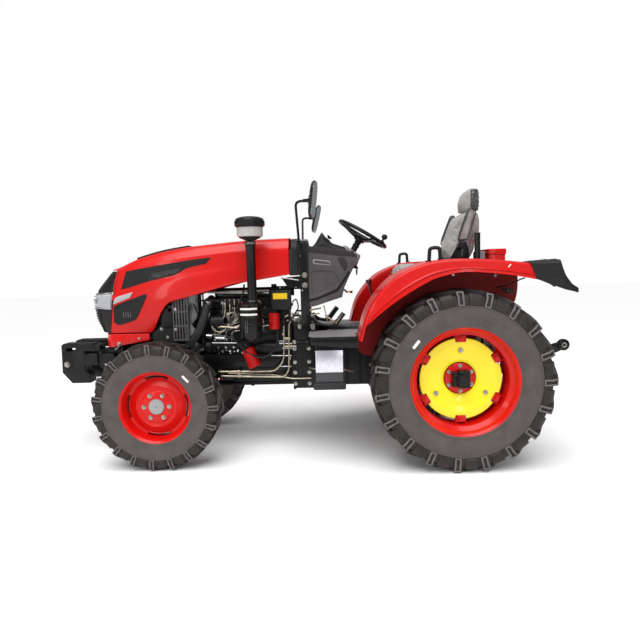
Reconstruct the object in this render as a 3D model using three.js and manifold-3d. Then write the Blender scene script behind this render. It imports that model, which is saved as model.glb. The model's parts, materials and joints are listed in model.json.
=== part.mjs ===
// A farm tractor with four-wheel drive, about 3.9 m long.
// Millimetres. X points forwards from the rear axle, Y to the driver's left, Z up from the ground.
// Every piece is drawn in that frame, and the whole is then moved so that X = 0 is mid-length.
import * as THREE from "three";
import { mergeVertices } from "three/addons/utils/BufferGeometryUtils.js";
import Module from "manifold-3d";

const wasm = await Module();
wasm.setup();

// ---- driving dimensions ----
const WHEELBASE = 2130;
const REAR_RADIUS = 620; // rear tyre, 12.4-28
const REAR_WIDTH = 315;
const REAR_CENTRE = 650; // half the rear track
const REAR_RIM = 356; // bead seat of a 28 inch rim
const FRONT_RADIUS = 455; // front tyre, 8.3-20
const FRONT_WIDTH = 211;
const FRONT_CENTRE = 550;
const FRONT_RIM = 254; // bead seat of a 20 inch rim
const GAP = 0.3; // between pieces that are bolted together
const PIN_GAP = 0.7; // round a pin that turns in its eye
const RUN_GAP = 6; // between pieces that move past each other

const WEIGHT_FRONT = 3005; // front face of the nose weights
const FRAME_HALF = 168; // half the width of the front frame
const RAIL = 18; // thickness of a frame rail
const FRAME_BOTTOM = 560;
const FRAME_TOP = 745;
const SHELF = 12; // radiator shelf

const CLUTCH_FRONT = 1180; // where the engine bolts to the clutch housing
const ENGINE_FRONT = 1870;
const GEARBOX_HALF = 150;
const GEARBOX_REAR = 200;
const HOUSING_HALF = 170; // half the width of the rear axle's centre housing
const COVER_RISE = 310; // top of the lift cover above the axle
const AXLE_SHAFT = 30; // radius of a rear axle shaft
const DECK_TOP = 1112; // sheet under the seat
const FLOOR_TOP = 925; // footplates

const HOOD_REAR = 1184;
const HOOD_HALF = 300;
const HOOD_SKIN = 6;
const NOSE_SPLIT = 946; // lower edge of the hood's nose
const HINGE_X = 1186; // hood hinge
const HINGE_Z = 1624;
const HINGE_PIN = 4.5;

const KINGPIN_Y = 430;
const EAR_GAP = 170; // height between the ears of the front axle
const FRONT_STUB = 28; // radius of a front wheel's stub shaft
const STEER_ARM = 150;

const TYRE_ROOM = 52.5; // between a rear tyre's side and the fender's inner panel
const FENDER_IN = REAR_CENTRE - REAR_WIDTH / 2 - TYRE_ROOM; // inner panel of a fender
const FENDER_OUT = REAR_CENTRE + REAR_WIDTH / 2 - 12.5; // the skirt covers the tyre but for this
const FENDER_SKIN = 7;
const FENDER_TIP = 699;

const LIFT_X = -100; // cross shaft of the three-point lift
const LIFT_Z = REAR_RADIUS + 260;
const LINK_X = -90; // front pins of the lower links
const LINK_Z = REAR_RADIUS - 150;
const BALL_X = -815; // ball ends of the lower links, raised
const BALL_Z = LINK_Z + 330;
const BALL_Y = 400;
const BALL_R = 28;
const ROD_SHARE = 0.45; // where along a lower link its lift rod is pinned

const WHEEL_TILT = THREE.MathUtils.degToRad(31);
const STEERING_X = 610;
const STEERING_Z = 1664;
const STEERING_R = 205;
const HUB_LOW = -65; // underside of the steering wheel's hub, below its rim

const REAR_END = BALL_X - BALL_R;
const MIDDLE_X = (WEIGHT_FRONT + REAR_END) / 2;

// ---- materials ----
const paint = (color, roughness, metalness) =>
  new THREE.MeshStandardMaterial({ color, roughness, metalness });
const red = () => paint(0xb80f14, 0.25, 0.0);
const black = () => paint(0x17181a, 0.45, 0.1);
const cast = () => paint(0x2a2c2e, 0.6, 0.4);
const steel = () => paint(0xb9bcc0, 0.3, 0.9);
const yellow = () => paint(0xf2dc1e, 0.35, 0.0);
const rubber = () => paint(0x1c1d1f, 0.85, 0.0);
const plastic = () => paint(0x3a3d41, 0.55, 0.0);
const vinyl = () => paint(0x55585c, 0.6, 0.0);

// ---- solids ----
function solid(shape) {
  if (!shape.isBufferGeometry) return shape;
  const bare = shape.index ? shape.toNonIndexed() : shape.clone();
  bare.deleteAttribute("normal");
  bare.deleteAttribute("uv");
  const merged = mergeVertices(bare, 1e-3);
  return new wasm.Manifold(
    new wasm.Mesh({
      numProp: 3,
      vertProperties: merged.attributes.position.array,
      triVerts: new Uint32Array(merged.index.array),
    }),
  );
}

const join = (...pieces) => pieces.map(solid).reduce((a, b) => a.add(b));
const cut = (base, ...tools) => tools.map(solid).reduce((a, b) => a.subtract(b), solid(base));

function geometryOf(shape) {
  if (shape.isBufferGeometry) return shape;
  const mesh = shape.getMesh();
  const places = new Float32Array(mesh.numVert * 3);
  for (let i = 0; i < mesh.numVert; i++) {
    const start = i * mesh.numProp;
    places.set(mesh.vertProperties.subarray(start, start + 3), i * 3);
  }
  const made = new THREE.BufferGeometry();
  made.setAttribute("position", new THREE.BufferAttribute(places, 3));
  made.setIndex(new THREE.BufferAttribute(mesh.triVerts, 1));
  made.computeVertexNormals();
  return made;
}

// ---- basic shapes ----
const box = (x0, x1, y0, y1, z0, z1) =>
  new THREE.BoxGeometry(x1 - x0, y1 - y0, z1 - z0)
    .translate((x0 + x1) / 2, (y0 + y1) / 2, (z0 + z1) / 2);

// a cylinder between two points, or a cone when the second radius differs
function rod(from, to, radius, sides = 16, endRadius = radius) {
  const a = new THREE.Vector3(...from);
  const b = new THREE.Vector3(...to);
  const along = b.clone().sub(a);
  const turn = new THREE.Quaternion().setFromUnitVectors(
    new THREE.Vector3(0, 1, 0),
    along.clone().normalize(),
  );
  const middle = a.add(b).multiplyScalar(0.5);
  return new THREE.CylinderGeometry(endRadius, radius, along.length(), sides)
    .applyQuaternion(turn)
    .translate(middle.x, middle.y, middle.z);
}

const outline = (points) => new THREE.Shape(points.map(([a, b]) => new THREE.Vector2(a, b)));

// a side view outline (x, z) given thickness from y0 to y1
const acrossY = (points, y0, y1) =>
  new THREE.ExtrudeGeometry(outline(points), { depth: y1 - y0, bevelEnabled: false })
    .rotateX(Math.PI / 2)
    .translate(0, y1, 0);

// a front view outline (y, z) given length from x0 to x1
function alongX(points, x0, x1) {
  const turn = new THREE.Matrix4().makeBasis(
    new THREE.Vector3(0, 1, 0),
    new THREE.Vector3(0, 0, 1),
    new THREE.Vector3(1, 0, 0),
  );
  return new THREE.ExtrudeGeometry(outline(points), { depth: x1 - x0, bevelEnabled: false })
    .applyMatrix4(turn)
    .translate(x0, 0, 0);
}

// a plan outline (x, y) given height from z0 to z1
const upZ = (points, z0, z1) =>
  new THREE.ExtrudeGeometry(outline(points), { depth: z1 - z0, bevelEnabled: false })
    .translate(0, 0, z0);

// a round tube bent at each of its inner points
function tube(points, radius, bend, steps = 16, sides = 8) {
  const corners = points.map((p) => new THREE.Vector3(...p));
  const path = new THREE.CurvePath();
  const towards = (a, b) => a.clone().add(b.clone().sub(a).setLength(bend));
  let start = corners[0];
  for (let i = 1; i + 1 < corners.length; i++) {
    const enter = towards(corners[i], corners[i - 1]);
    const leave = towards(corners[i], corners[i + 1]);
    path.add(new THREE.LineCurve3(start, enter));
    path.add(new THREE.QuadraticBezierCurve3(enter, corners[i], leave));
    start = leave;
  }
  path.add(new THREE.LineCurve3(start, corners[corners.length - 1]));
  const ring = Array.from({ length: sides }, (_, i) => {
    const angle = (i * 2 * Math.PI) / sides;
    return [radius * Math.cos(angle), radius * Math.sin(angle)];
  });
  return new THREE.ExtrudeGeometry(outline(ring), { steps, extrudePath: path, bevelEnabled: false });
}

// a ring or disc turned about a line along Y; the profile is (radius, y), outer side upwards,
// with a flat, not a corner, at the bottom
function turned(profile, sides, x, y, z) {
  const points = profile.map(([r, h]) => new THREE.Vector2(r / Math.cos(Math.PI / sides), h));
  return new THREE.LatheGeometry(points, sides, Math.PI / sides).translate(x, y, z);
}

// a solid through closed sections of equally many points, all lying across one axis
function loft(sections, axis) {
  const drop = { x: ["y", "z"], z: ["x", "y"] }[axis];
  const count = sections[0].length;
  const places = sections.flat().flatMap((p) => [p.x, p.y, p.z]);
  const faces = [];
  for (let s = 0; s + 1 < sections.length; s++) {
    for (let i = 0; i < count; i++) {
      const a = s * count + i;
      const b = s * count + ((i + 1) % count);
      faces.push(a, b, b + count, a, b + count, a + count);
    }
  }
  const flat = sections[0].map((p) => new THREE.Vector2(p[drop[0]], p[drop[1]]));
  const last = (sections.length - 1) * count;
  for (const [a, b, c] of THREE.ShapeUtils.triangulateShape(flat, [])) {
    faces.push(a, c, b, last + a, last + b, last + c);
  }
  const made = new THREE.BufferGeometry();
  made.setAttribute("position", new THREE.Float32BufferAttribute(places, 3));
  made.setIndex(faces);
  return made;
}

// both sides of a front view outline whose left half is given from the bottom to the top
const bothSides = (half) => [...half, ...half.slice().reverse().map(([y, z]) => [-y, z])];

// ---- the tree ----
const tractor = new THREE.Group();
tractor.position.x = -MIDDLE_X;
const left = new THREE.Group();
const right = new THREE.Group();
right.scale.y = -1;
tractor.add(left, right);

function add(name, shape, material, group = tractor) {
  const mesh = new THREE.Mesh(geometryOf(shape), material);
  mesh.name = name;
  group.add(mesh);
}

// the same piece on the left and, mirrored, on the right
function pair(name, shape, material) {
  add(`${name}_left`, shape, material(), left);
  add(`${name}_right`, shape, material(), right);
}

// ---- driveline ----
function engine() {
  const half = GEARBOX_HALF - GAP;
  const rear = CLUTCH_FRONT + GAP;
  const shaft = 1010;
  return join(
    box(rear, ENGINE_FRONT, -half, half, 548, 1010),
    box(rear + 30, ENGINE_FRONT - 40, -120, 120, 1000, 1190),
    box(rear + 60, ENGINE_FRONT - 70, -75, 75, 1180, 1262),
    rod([ENGINE_FRONT - 10, 0, shaft], [ENGINE_FRONT + 92, 0, shaft], 40),
    rod([ENGINE_FRONT + 70, 0, shaft], [ENGINE_FRONT + 90, 0, shaft], 205, 24),
  );
}

function transmission() {
  const half = GEARBOX_HALF;
  const shaftY = -150;
  return join(
    box(GEARBOX_REAR, CLUTCH_FRONT - 260, -half, half, 480, 940),
    box(CLUTCH_FRONT - 270, CLUTCH_FRONT, -205, 205, 470, 850),
    box(CLUTCH_FRONT - 170, CLUTCH_FRONT - 20, shaftY - 50, shaftY + 50, 415, 500),
    rod([CLUTCH_FRONT - 40, shaftY, FRONT_RADIUS], [WHEELBASE - 170 - GAP, shaftY, FRONT_RADIUS], 25),
  );
}

function rearAxleHousing() {
  const front = GEARBOX_REAR - GAP;
  const reach = REAR_CENTRE - 52; // the trumpets end inside the rims
  const coverTop = REAR_RADIUS + COVER_RISE;
  const body = join(
    box(-190, front, -HOUSING_HALF, HOUSING_HALF, LINK_Z, REAR_RADIUS + 180),
    box(-225, front, -140, 140, REAR_RADIUS + 170, coverTop),
    rod([0, -reach, REAR_RADIUS], [0, reach, REAR_RADIUS], 80),
    rod([0, -reach, REAR_RADIUS], [0, -reach + 24, REAR_RADIUS], 112),
    rod([0, reach - 24, REAR_RADIUS], [0, reach, REAR_RADIUS], 112),
    rod([-290, 0, REAR_RADIUS + 30], [-180, 0, REAR_RADIUS + 30], 17.5), // power take-off
    box(-300, -180, -80, 80, REAR_RADIUS + 122, REAR_RADIUS + 136), // its shield
    box(-285, -200, -30, 30, coverTop - 80, coverTop - 5), // top link bracket
    rod([LINK_X, -245, LINK_Z], [LINK_X, 245, LINK_Z], 14),
    box(LINK_X - 40, LINK_X + 40, -HOUSING_HALF, HOUSING_HALF, LINK_Z - 30, LINK_Z + 30),
  );
  return cut(
    body,
    rod([LIFT_X, -200, LIFT_Z], [LIFT_X, 200, LIFT_Z], 25 + PIN_GAP, 20),
    rod([0, reach - 70, REAR_RADIUS], [0, reach + 10, REAR_RADIUS], AXLE_SHAFT + PIN_GAP, 20),
    rod([0, -reach - 10, REAR_RADIUS], [0, -reach + 70, REAR_RADIUS], AXLE_SHAFT + PIN_GAP, 20),
  );
}

function drawbar() {
  const top = LINK_Z - 30 - GAP;
  return join(
    box(-560, 20, -38, 38, LINK_Z - 85, LINK_Z - 60),
    box(LINK_X - 40, LINK_X + 40, -60, 60, LINK_Z - 70, top),
  );
}

// ---- front end ----
const AXLE_BOX = 65; // half the length of the pivot block of the front axle

function frontFrame() {
  const inner = FRAME_HALF - RAIL;
  const rail = box(1250, 2600, inner, FRAME_HALF, FRAME_BOTTOM, FRAME_TOP);
  const otherRail = box(1250, 2600, -FRAME_HALF, -inner, FRAME_BOTTOM, FRAME_TOP);
  const plates = [-1, 1].map((side) => {
    const near = WHEELBASE + side * (AXLE_BOX + GAP);
    const far = near + side * 25;
    return box(Math.min(near, far), Math.max(near, far), -90, 90, 430, 620);
  });
  const arms = [-1, 1].map((side) =>
    box(2590, 2720 - GAP, side * 130 - 30, side * 130 + 30, 691, FRAME_TOP),
  );
  return join(
    rail,
    otherRail,
    box(WHEELBASE - 120, WHEELBASE + 120, -inner - 5, inner + 5, 610, FRAME_TOP),
    box(2560, 2600, -FRAME_HALF, FRAME_HALF, 640, FRAME_TOP),
    box(1930, 2590, -200, 200, FRAME_TOP - 1, FRAME_TOP + SHELF),
    box(2480, 2492, -noseHalf(2492) + GAP, noseHalf(2492) - GAP, FRAME_TOP, NOSE_SPLIT - 16),
    ...plates,
    ...arms,
  );
}

function frontWeights() {
  const rear = 2820;
  const block = (y0, y1) =>
    acrossY(
      [
        [rear, 546],
        [2933, 546],
        [WEIGHT_FRONT, 632],
        [WEIGHT_FRONT - 4, 846],
        [WEIGHT_FRONT - 20, 861],
        [2695, 861],
        [2695, 803],
        [rear, 803],
        [rear, 640],
        [2785, 610],
        [2785, 546],
      ].reverse(),
      y0,
      y1,
    );
  return join(block(63, 170), block(-170, -63), box(2720, rear + 5, -180, 180, 691, 785));
}

function frontAxleBeam() {
  const x = WHEELBASE;
  const z = FRONT_RADIUS;
  const end = KINGPIN_Y - 68;
  const ears = [-1, 1].flatMap((side) => {
    const inner = side * (end - 30);
    const pin = side * KINGPIN_Y;
    return [
      box(x - 42, x + 42, Math.min(inner, side * end), Math.max(inner, side * end), z - 100, z + 100),
      ...[z - EAR_GAP / 2 - 15, z + EAR_GAP / 2].flatMap((low) => [
        box(x - 42, x + 42, Math.min(inner, pin), Math.max(inner, pin), low, low + 15),
        rod([x, pin, low], [x, pin, low + 15], 45),
      ]),
    ];
  });
  return join(
    rod([x, -end, z], [x, end, z], 55, 14),
    box(x - AXLE_BOX, x + AXLE_BOX, -75, 75, z - 60, z + 75),
    rod([x, -215, z], [x, -95, z], 105, 16),
    rod([x, -150, z], [x - 170, -150, z], 50, 16),
    ...ears,
  );
}

function knuckle() {
  const x = WHEELBASE;
  const y = KINGPIN_Y;
  const z = FRONT_RADIUS;
  const pinX = x + STEER_ARM;
  const half = EAR_GAP / 2 - PIN_GAP;
  const body = join(
    rod([x, y, z - half], [x, y, z + half], 50, 20),
    box(x - 38, x + 38, y + 10, y + 64, z - 60, z + 60),
    rod([x, y + 52, z], [x, y + 130, z], 100, 20),
    box(x + 20, pinX - 4, y - 19, y + 19, z - 74, z - 52),
    rod([pinX, y, z - 75], [pinX, y, z - 51], 22),
    rod([pinX, y, z - 60], [pinX, y, z - 14], 12),
  );
  return cut(body, rod([x, y + 66, z], [x, y + 140, z], FRONT_STUB + PIN_GAP, 16));
}

function tieRod() {
  const x = WHEELBASE + STEER_ARM;
  const z = FRONT_RADIUS - 32;
  const eye = (y) => rod([x, y, z - 12], [x, y, z + 12], 26);
  const hole = (y) => rod([x, y, z - 20], [x, y, z + 30], 12 + PIN_GAP);
  return cut(
    join(rod([x, -KINGPIN_Y + 15, z], [x, KINGPIN_Y - 15, z], 12), eye(KINGPIN_Y), eye(-KINGPIN_Y)),
    hole(KINGPIN_Y),
    hole(-KINGPIN_Y),
  );
}

function radiator() {
  const bottom = FRAME_TOP + SHELF + GAP;
  const half = HOOD_HALF - 37;
  return join(
    box(1985, 2075, -half, half, bottom, 1320),
    box(1971, 2052, half - 1, half + 7, 884, 1212),
    box(1971, 2052, -half - 7, 1 - half, 884, 1212),
  );
}

// ---- wheels ----
const WHEEL_SIDES = 28; // the same round a tyre and its rim, so that they fit

function tyre(radius, width, rim, x, y) {
  const half = width / 2;
  const bead = half - 20;
  const shoulder = radius - (radius - rim) * 0.27;
  const side = [
    [rim + 1, bead],
    [rim + 28, bead],
    [rim + (radius - rim) * 0.42, half],
    [shoulder, half - 4],
    [radius - 12, half * 0.72],
    [radius, half * 0.4],
  ];
  const profile = [...side.map(([r, h]) => [r, -h]), ...side.slice().reverse()];
  return turned([...profile, profile[0]], WHEEL_SIDES, x, y, radius);
}

// a pressed rim: barrel with a flange on each side
function rimProfile(rim, half) {
  const flange = 25;
  return [
    [rim, -half],
    [rim, half],
    [rim + flange, half],
    [rim + flange, half + 8],
    [rim - 10, half + 8],
    [rim - 10, -half - 8],
    [rim + flange, -half - 8],
    [rim + flange, -half],
    [rim, -half],
  ];
}

function rearRim() {
  const half = REAR_WIDTH / 2 - 20 + GAP;
  const barrel = turned(rimProfile(REAR_RIM, half), WHEEL_SIDES, 0, REAR_CENTRE, REAR_RADIUS);
  const lugs = Array.from({ length: 6 }, (_, i) =>
    box(-28, 28, -24, 0, 275, REAR_RIM - 5)
      .rotateY((i * Math.PI) / 3)
      .translate(0, REAR_CENTRE - GAP, REAR_RADIUS),
  );
  return join(barrel, ...lugs);
}

function rearDisc() {
  const y = REAR_CENTRE;
  const z = REAR_RADIUS;
  return join(
    turned(
      [
        [0, -30],
        [150, -30],
        [175, 0],
        [293, 0],
        [293, 10],
        [170, 12],
        [145, -18],
        [0, -18],
      ],
      WHEEL_SIDES,
      0,
      y,
      z,
    ),
    rod([0, y - 46, z], [0, y + 6, z], 115, 20),
    rod([0, y - 112, z], [0, y - 40, z], AXLE_SHAFT, 20),
    box(-58, 58, y, y + 60, z - 62, z + 62),
    rod([0, y, z], [0, y + 88, z], 34),
  );
}

function frontRim() {
  const half = FRONT_WIDTH / 2 - 20 + GAP;
  const y = FRONT_CENTRE;
  const z = FRONT_RADIUS;
  const hub = KINGPIN_Y + 130 + RUN_GAP;
  return join(
    turned(rimProfile(FRONT_RIM, half), WHEEL_SIDES, WHEELBASE, y, z),
    turned(
      [
        [0, 32],
        [150, 32],
        [205, 12],
        [FRONT_RIM - 5, 20],
        [FRONT_RIM - 5, 30],
        [152, 42],
        [0, 42],
      ],
      WHEEL_SIDES,
      WHEELBASE,
      y,
      z,
    ),
    rod([WHEELBASE, hub, z], [WHEELBASE, y + 48, z], 82, 16),
    rod([WHEELBASE, hub - 64, z], [WHEELBASE, hub + 6, z], FRONT_STUB, 16),
    rod([WHEELBASE, hub + 2, z], [WHEELBASE, y + 66, z], 58, 16),
  );
}

// ---- hood ----
// half width and heights of the hood at a place along it
function hoodSection(x, inset) {
  const stations = [
    // x, half width, shoulder, top
    [HOOD_REAR, HOOD_HALF, 1568, 1640],
    [1522, HOOD_HALF, 1545, 1629],
    [1953, HOOD_HALF - 4, 1497, 1589],
    [2156, HOOD_HALF - 12, 1468, 1559],
    [2379, HOOD_HALF - 26, 1418, 1498],
    [2484, HOOD_HALF - 34, 1372, 1422],
    [2580, HOOD_HALF - 46, 1330, 1365],
  ];
  const next = Math.max(1, stations.findIndex((s) => s[0] >= x));
  const [a, b] = [stations[next - 1], stations[next]];
  const share = (x - a[0]) / (b[0] - a[0]);
  const [half, shoulder, top] = [1, 2, 3].map((i) => a[i] + (b[i] - a[i]) * share);
  return { half: half - inset, shoulder: shoulder - inset / 2, top: top - inset };
}

function hoodLoft(inset, bottom, from, to) {
  const places = [from, 1522, 1953, 2156, 2379, 2484, to];
  const sections = places.map((x) => {
    const { half, shoulder, top } = hoodSection(Math.min(Math.max(x, HOOD_REAR), 2580), inset);
    return bothSides([
      [half, bottom],
      [half, shoulder],
      [half - 48, top - 18],
      [150, top],
    ]).map(([y, z]) => new THREE.Vector3(x, y, z));
  });
  return loft(sections, "x");
}

// front edge of the red panel: x at a height
function hoodFront(z) {
  return 2555 - 0.000286 * (z - 950) ** 2 - 0.06 * (z - 950);
}

// heights on the grille and how far forward its middle reaches there
const NOSE_ROWS = [
  [NOSE_SPLIT + 1, 2614],
  [1052, 2668],
  [1160, 2662],
  [1276, 2634],
  [1404, 2554],
];

function hood() {
  const shell = cut(
    hoodLoft(0, 900, HOOD_REAR, 2580),
    hoodLoft(HOOD_SKIN, 880, HOOD_REAR - 10, 2590),
  );
  const below = acrossY(
    [
      [HOOD_REAR - 20, 850],
      [2600, 850],
      [2600, NOSE_SPLIT],
      [2251, NOSE_SPLIT],
      [2220, 985],
      [2170, 1093],
      [2116, 1163],
      [2049, 1188],
      [1903, 1223],
      [1758, 1262],
      [1613, 1297],
      [1396, 1329],
      [HOOD_REAR - 20, 1362],
    ],
    -400,
    400,
  );
  const heights = [880, ...NOSE_ROWS.map((row) => row[0]), 1440];
  const edge = heights.reverse().map((z) => [hoodFront(z), z]);
  const ahead = acrossY([[2700, 880], [2700, 1700], [hoodFront(1440), 1700], ...edge], -400, 400);
  const bored = (y0, y1) =>
    cut(
      rod([HINGE_X, y0, HINGE_Z], [HINGE_X, y1, HINGE_Z], 10.5, 12),
      rod([HINGE_X, y0 - 5, HINGE_Z], [HINGE_X, y1 + 5, HINGE_Z], HINGE_PIN + PIN_GAP, 12),
    );
  return join(cut(shell, below, ahead), bored(96, 126), bored(-126, -96));
}

// a bowed plate across the nose, seen from above
function bow(front, edge, half, thick, z) {
  const count = 8;
  const arc = (reach, ends, width) =>
    Array.from({ length: count + 1 }, (_, i) => {
      const share = (2 * i) / count - 1;
      return new THREE.Vector3(ends + (reach - ends) * (1 - share ** 4), share * width, z);
    });
  return [...arc(front, edge, half), ...arc(front - thick, edge, half - thick).reverse()];
}

function grille() {
  const sections = NOSE_ROWS.map(([z, front]) => {
    const edge = hoodFront(z) + GAP + 0.5;
    return bow(front, edge, hoodSection(edge, 0).half, 16, z);
  });
  return loft(sections, "z");
}

// half the width of the fixed nose panel
function noseHalf(x) {
  return HOOD_HALF - 12 - ((x - 2260) / 300) * 26 - HOOD_SKIN;
}

function nosePanel() {
  const top = NOSE_SPLIT - RUN_GAP;
  const front = 2608;
  const count = 8;
  const ends = 2548;
  const ring = (inset) => {
    const half = noseHalf(ends) + HOOD_SKIN - inset;
    const arc = Array.from({ length: count + 1 }, (_, i) => {
      const share = 1 - (2 * i) / count;
      return [ends + (front - inset - ends) * (1 - share ** 4), share * half];
    });
    return arc;
  };
  const rear = 2260;
  const rearHalf = noseHalf(rear) + HOOD_SKIN;
  const innerHalf = noseHalf(rear - 20);
  const outer = [[rear, -rearHalf], ...ring(0).reverse(), [rear, rearHalf]];
  const inner = [[rear - 20, -innerHalf], ...ring(HOOD_SKIN).reverse(), [rear - 20, innerHalf]];
  const wedge = acrossY([[2200, 780], [2700, 780], [2700, 828], [2600, 832], [2200, 900]], -400, 400);
  return cut(upZ(outer, 800, top), upZ(inner, 780, top + 20), wedge);
}

// ---- air and exhaust ----
const CLEANER_X = 1467;
const PRECLEANER_R = 110;
const CLEANER_Y = HOOD_HALF + PRECLEANER_R + RUN_GAP; // the hood opens past it
const CANISTER_R = 86;
const CANISTER_LOW = 901;
const STACK_X = 1449;
const STACK_TOP = 1613;

function airCleaner() {
  return join(
    rod([CLEANER_X, CLEANER_Y, CANISTER_LOW], [CLEANER_X, CLEANER_Y, 1164], CANISTER_R, 24),
    rod([STACK_X, CLEANER_Y, 1150], [STACK_X, CLEANER_Y, STACK_TOP], 35, 20),
    box(CLEANER_X - 30, CLEANER_X + 30, GEARBOX_HALF, CLEANER_Y - 70, 950, 985),
    box(CLEANER_X - 30, CLEANER_X + 30, GEARBOX_HALF, CLEANER_Y - 70, 885, 900),
    box(CLEANER_X - 60, CLEANER_X + 60, CLEANER_Y - CANISTER_R - 9, CLEANER_Y - 60, 885, 985),
  );
}

function precleaner() {
  const low = STACK_TOP + GAP;
  const bowl = PRECLEANER_R - 15;
  const top = STACK_TOP + 169;
  const ring = [
    [0, low],
    [44, low],
    [64, low + 25],
    [bowl, low + 35],
    [bowl, top - 64],
    [PRECLEANER_R, top - 62],
    [PRECLEANER_R, top - 34],
    [70, top],
    [0, top],
  ];
  const points = ring.map(([r, z]) => new THREE.Vector2(r, z));
  return new THREE.LatheGeometry(points, 24).rotateX(Math.PI / 2).translate(STACK_X, CLEANER_Y, 0);
}

function exhaust() {
  const y = -238;
  return join(
    box(1340, 1760, -195, -GEARBOX_HALF, 925, 985),
    box(1480, 1560, -230, -185, 930, 980),
    rod([1370, y, 955], [1700, y, 955], 55, 20),
    tube([[1400, y, 955], [1300, y, 955], [1300, y, 580], [1180, y, 580]], 22, 60),
  );
}

function steeringPipes() {
  const y = 222;
  const run = (low, back, top, end) => {
    const start = [1690, FRAME_HALF + GAP, low];
    const path = [start, [1690, y, low], [back, y, low], [back, y, top], [end, y, top]];
    return tube(path, 7, 40, 26, 6);
  };
  return join(
    run(640, 1238, 1058, 1120),
    run(598, 1200, 1020, 1080),
    box(1560, 1580, y - 6, y + 6, 592, 646),
    box(1196, 1242, y - 6, y + 6, 860, 880),
    box(CLUTCH_FRONT - 30, 1242, 205 + GAP, y + 4, 800, 815),
  );
}

// ---- cowl and controls ----
const COWL_REAR = 1045;
const COWL_FRONT = 1162;
const COWL_HALF = HOOD_HALF - 10;
const POST_Y = HOOD_HALF - 32;

function cowlFrame() {
  const hoop = (inset) => [
    [HOOD_HALF - 4 - inset, 1330],
    [HOOD_HALF - 4 - inset, 1566 - inset / 2],
    [HOOD_HALF - 50 - inset, 1616 - inset],
    [148, 1634 - inset],
  ];
  const arch = cut(
    alongX(bothSides(hoop(0)), COWL_REAR, COWL_FRONT),
    alongX(bothSides([[HOOD_HALF - 34, 1300], ...hoop(30).slice(1)]), COWL_REAR - 5, COWL_FRONT + 5),
  );
  const hinges = [-1, 1].flatMap((side) => {
    const [y0, y1] = side > 0 ? [134, 144] : [-144, -134];
    return [
      box(COWL_FRONT - 8, HINGE_X + 6, y0, y1, HINGE_Z - 7, HINGE_Z + 5),
      rod([HINGE_X, side * 92, HINGE_Z], [HINGE_X, side * 140, HINGE_Z], HINGE_PIN, 8),
    ];
  });
  const posts = [-1, 1].map((side) =>
    box(COWL_REAR, COWL_REAR + 46, side * POST_Y - 22, side * POST_Y + 22, 985, 1400),
  );
  return join(
    arch,
    ...hinges,
    ...posts,
    box(1000, 1150, -COWL_HALF, COWL_HALF, 985, 997),
    box(1040, 1110, -140, 140, 850 + GAP, 990),
  );
}

function dashConsole() {
  const front = COWL_REAR - GAP;
  const body = acrossY(
    [
      [front, 1130],
      [front, 1572],
      [852, 1545],
      [700, 1540],
      [664, 1508],
      [664, 1459],
      [775, 1245],
      [758, 1212],
      [782, 1189],
      [1002, 1113],
    ],
    15 - HOOD_HALF,
    HOOD_HALF - 15,
  );
  const hump = [[front, 1560], [1000, 1600], [940, 1687], [900, 1672], [766, 1577], [745, 1530]];
  const binnacle = acrossY(hump, -165, 165);
  const column = rod(onColumn(HUB_LOW - PIN_GAP, 0), onColumn(-330, 0), 28, 16);
  return join(body, binnacle, column);
}

// a point at a height over the steering wheel's plane and a distance forwards in it
function onColumn(height, ahead) {
  return [
    STEERING_X - height * Math.sin(WHEEL_TILT) + ahead * Math.cos(WHEEL_TILT),
    0,
    STEERING_Z + height * Math.cos(WHEEL_TILT) + ahead * Math.sin(WHEEL_TILT),
  ];
}

function steeringWheel() {
  const flat = join(
    new THREE.TorusGeometry(STEERING_R, 13, 6, 28),
    new THREE.CylinderGeometry(36, 44, 34, 16).rotateX(Math.PI / 2).translate(0, 0, HUB_LOW + 17),
    ...[0, 1, 2].map((i) => {
      const angle = (i * Math.PI * 2) / 3;
      const [c, s] = [Math.cos(angle), Math.sin(angle)];
      return rod([c * 25, s * 25, -48], [c * STEERING_R, s * STEERING_R, 0], 9, 8);
    }),
    rod([-155, 134, 0], [-155, 134, 40], 9, 6),
    rod([-155, 134, 32], [-155, 134, 72], 20, 10),
  );
  return geometryOf(flat)
    .rotateY(-WHEEL_TILT)
    .translate(STEERING_X, 0, STEERING_Z);
}

function pedals() {
  const z = 997 + 12 + GAP;
  const pedal = (y) => [
    rod([1022, y, z], [854, y, 1067], 9, 8),
    box(-6, 6, -38, 38, -40, 40)
      .rotateY(0.5)
      .translate(856, y, 1066),
  ];
  return join(rod([1022, -262, z], [1022, 262, z], 12), ...pedal(225), ...pedal(-150), ...pedal(-232));
}

function gearLever() {
  const base = FLOOR_TOP + GAP;
  const foot = [545, 290];
  return join(
    rod([foot[0], foot[1], base], [foot[0], foot[1], base + 40], 38, 16, 24),
    tube([[foot[0], foot[1], base + 30], [560, 298, 1150], [586, 300, 1262]], 8, 40, 8),
    rod([580, 300, 1240], [594, 300, 1307], 21, 12, 25),
  );
}

// ---- platform ----
function footplate() {
  const top = FLOOR_TOP;
  const inner = GEARBOX_HALF + GAP;
  const outer = 612;
  const plan = [
    [300, inner],
    [915, inner],
    [915, 210],
    [1055, 210],
    [1055, outer - 40],
    [1030, outer],
    [FENDER_TIP + GAP, outer],
    [FENDER_TIP + GAP, FENDER_IN - GAP],
    [300, FENDER_IN - GAP],
  ];
  const step = 560;
  return join(
    upZ(plan, top - 22, top),
    box(1043, 1055, 215, outer - 45, 840, top - 10),
    box(740, 860, inner, 420, 850, top - 20),
    box(807, 997, step - 14, step, 620, top - 10),
    box(789, 1014, step - 90, step + 60, 556, 568),
    box(789, 1014, step + 50, step + 60, 556, 640),
    box(789, 1014, step - 24, step - 4, 560, 640),
  );
}

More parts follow.
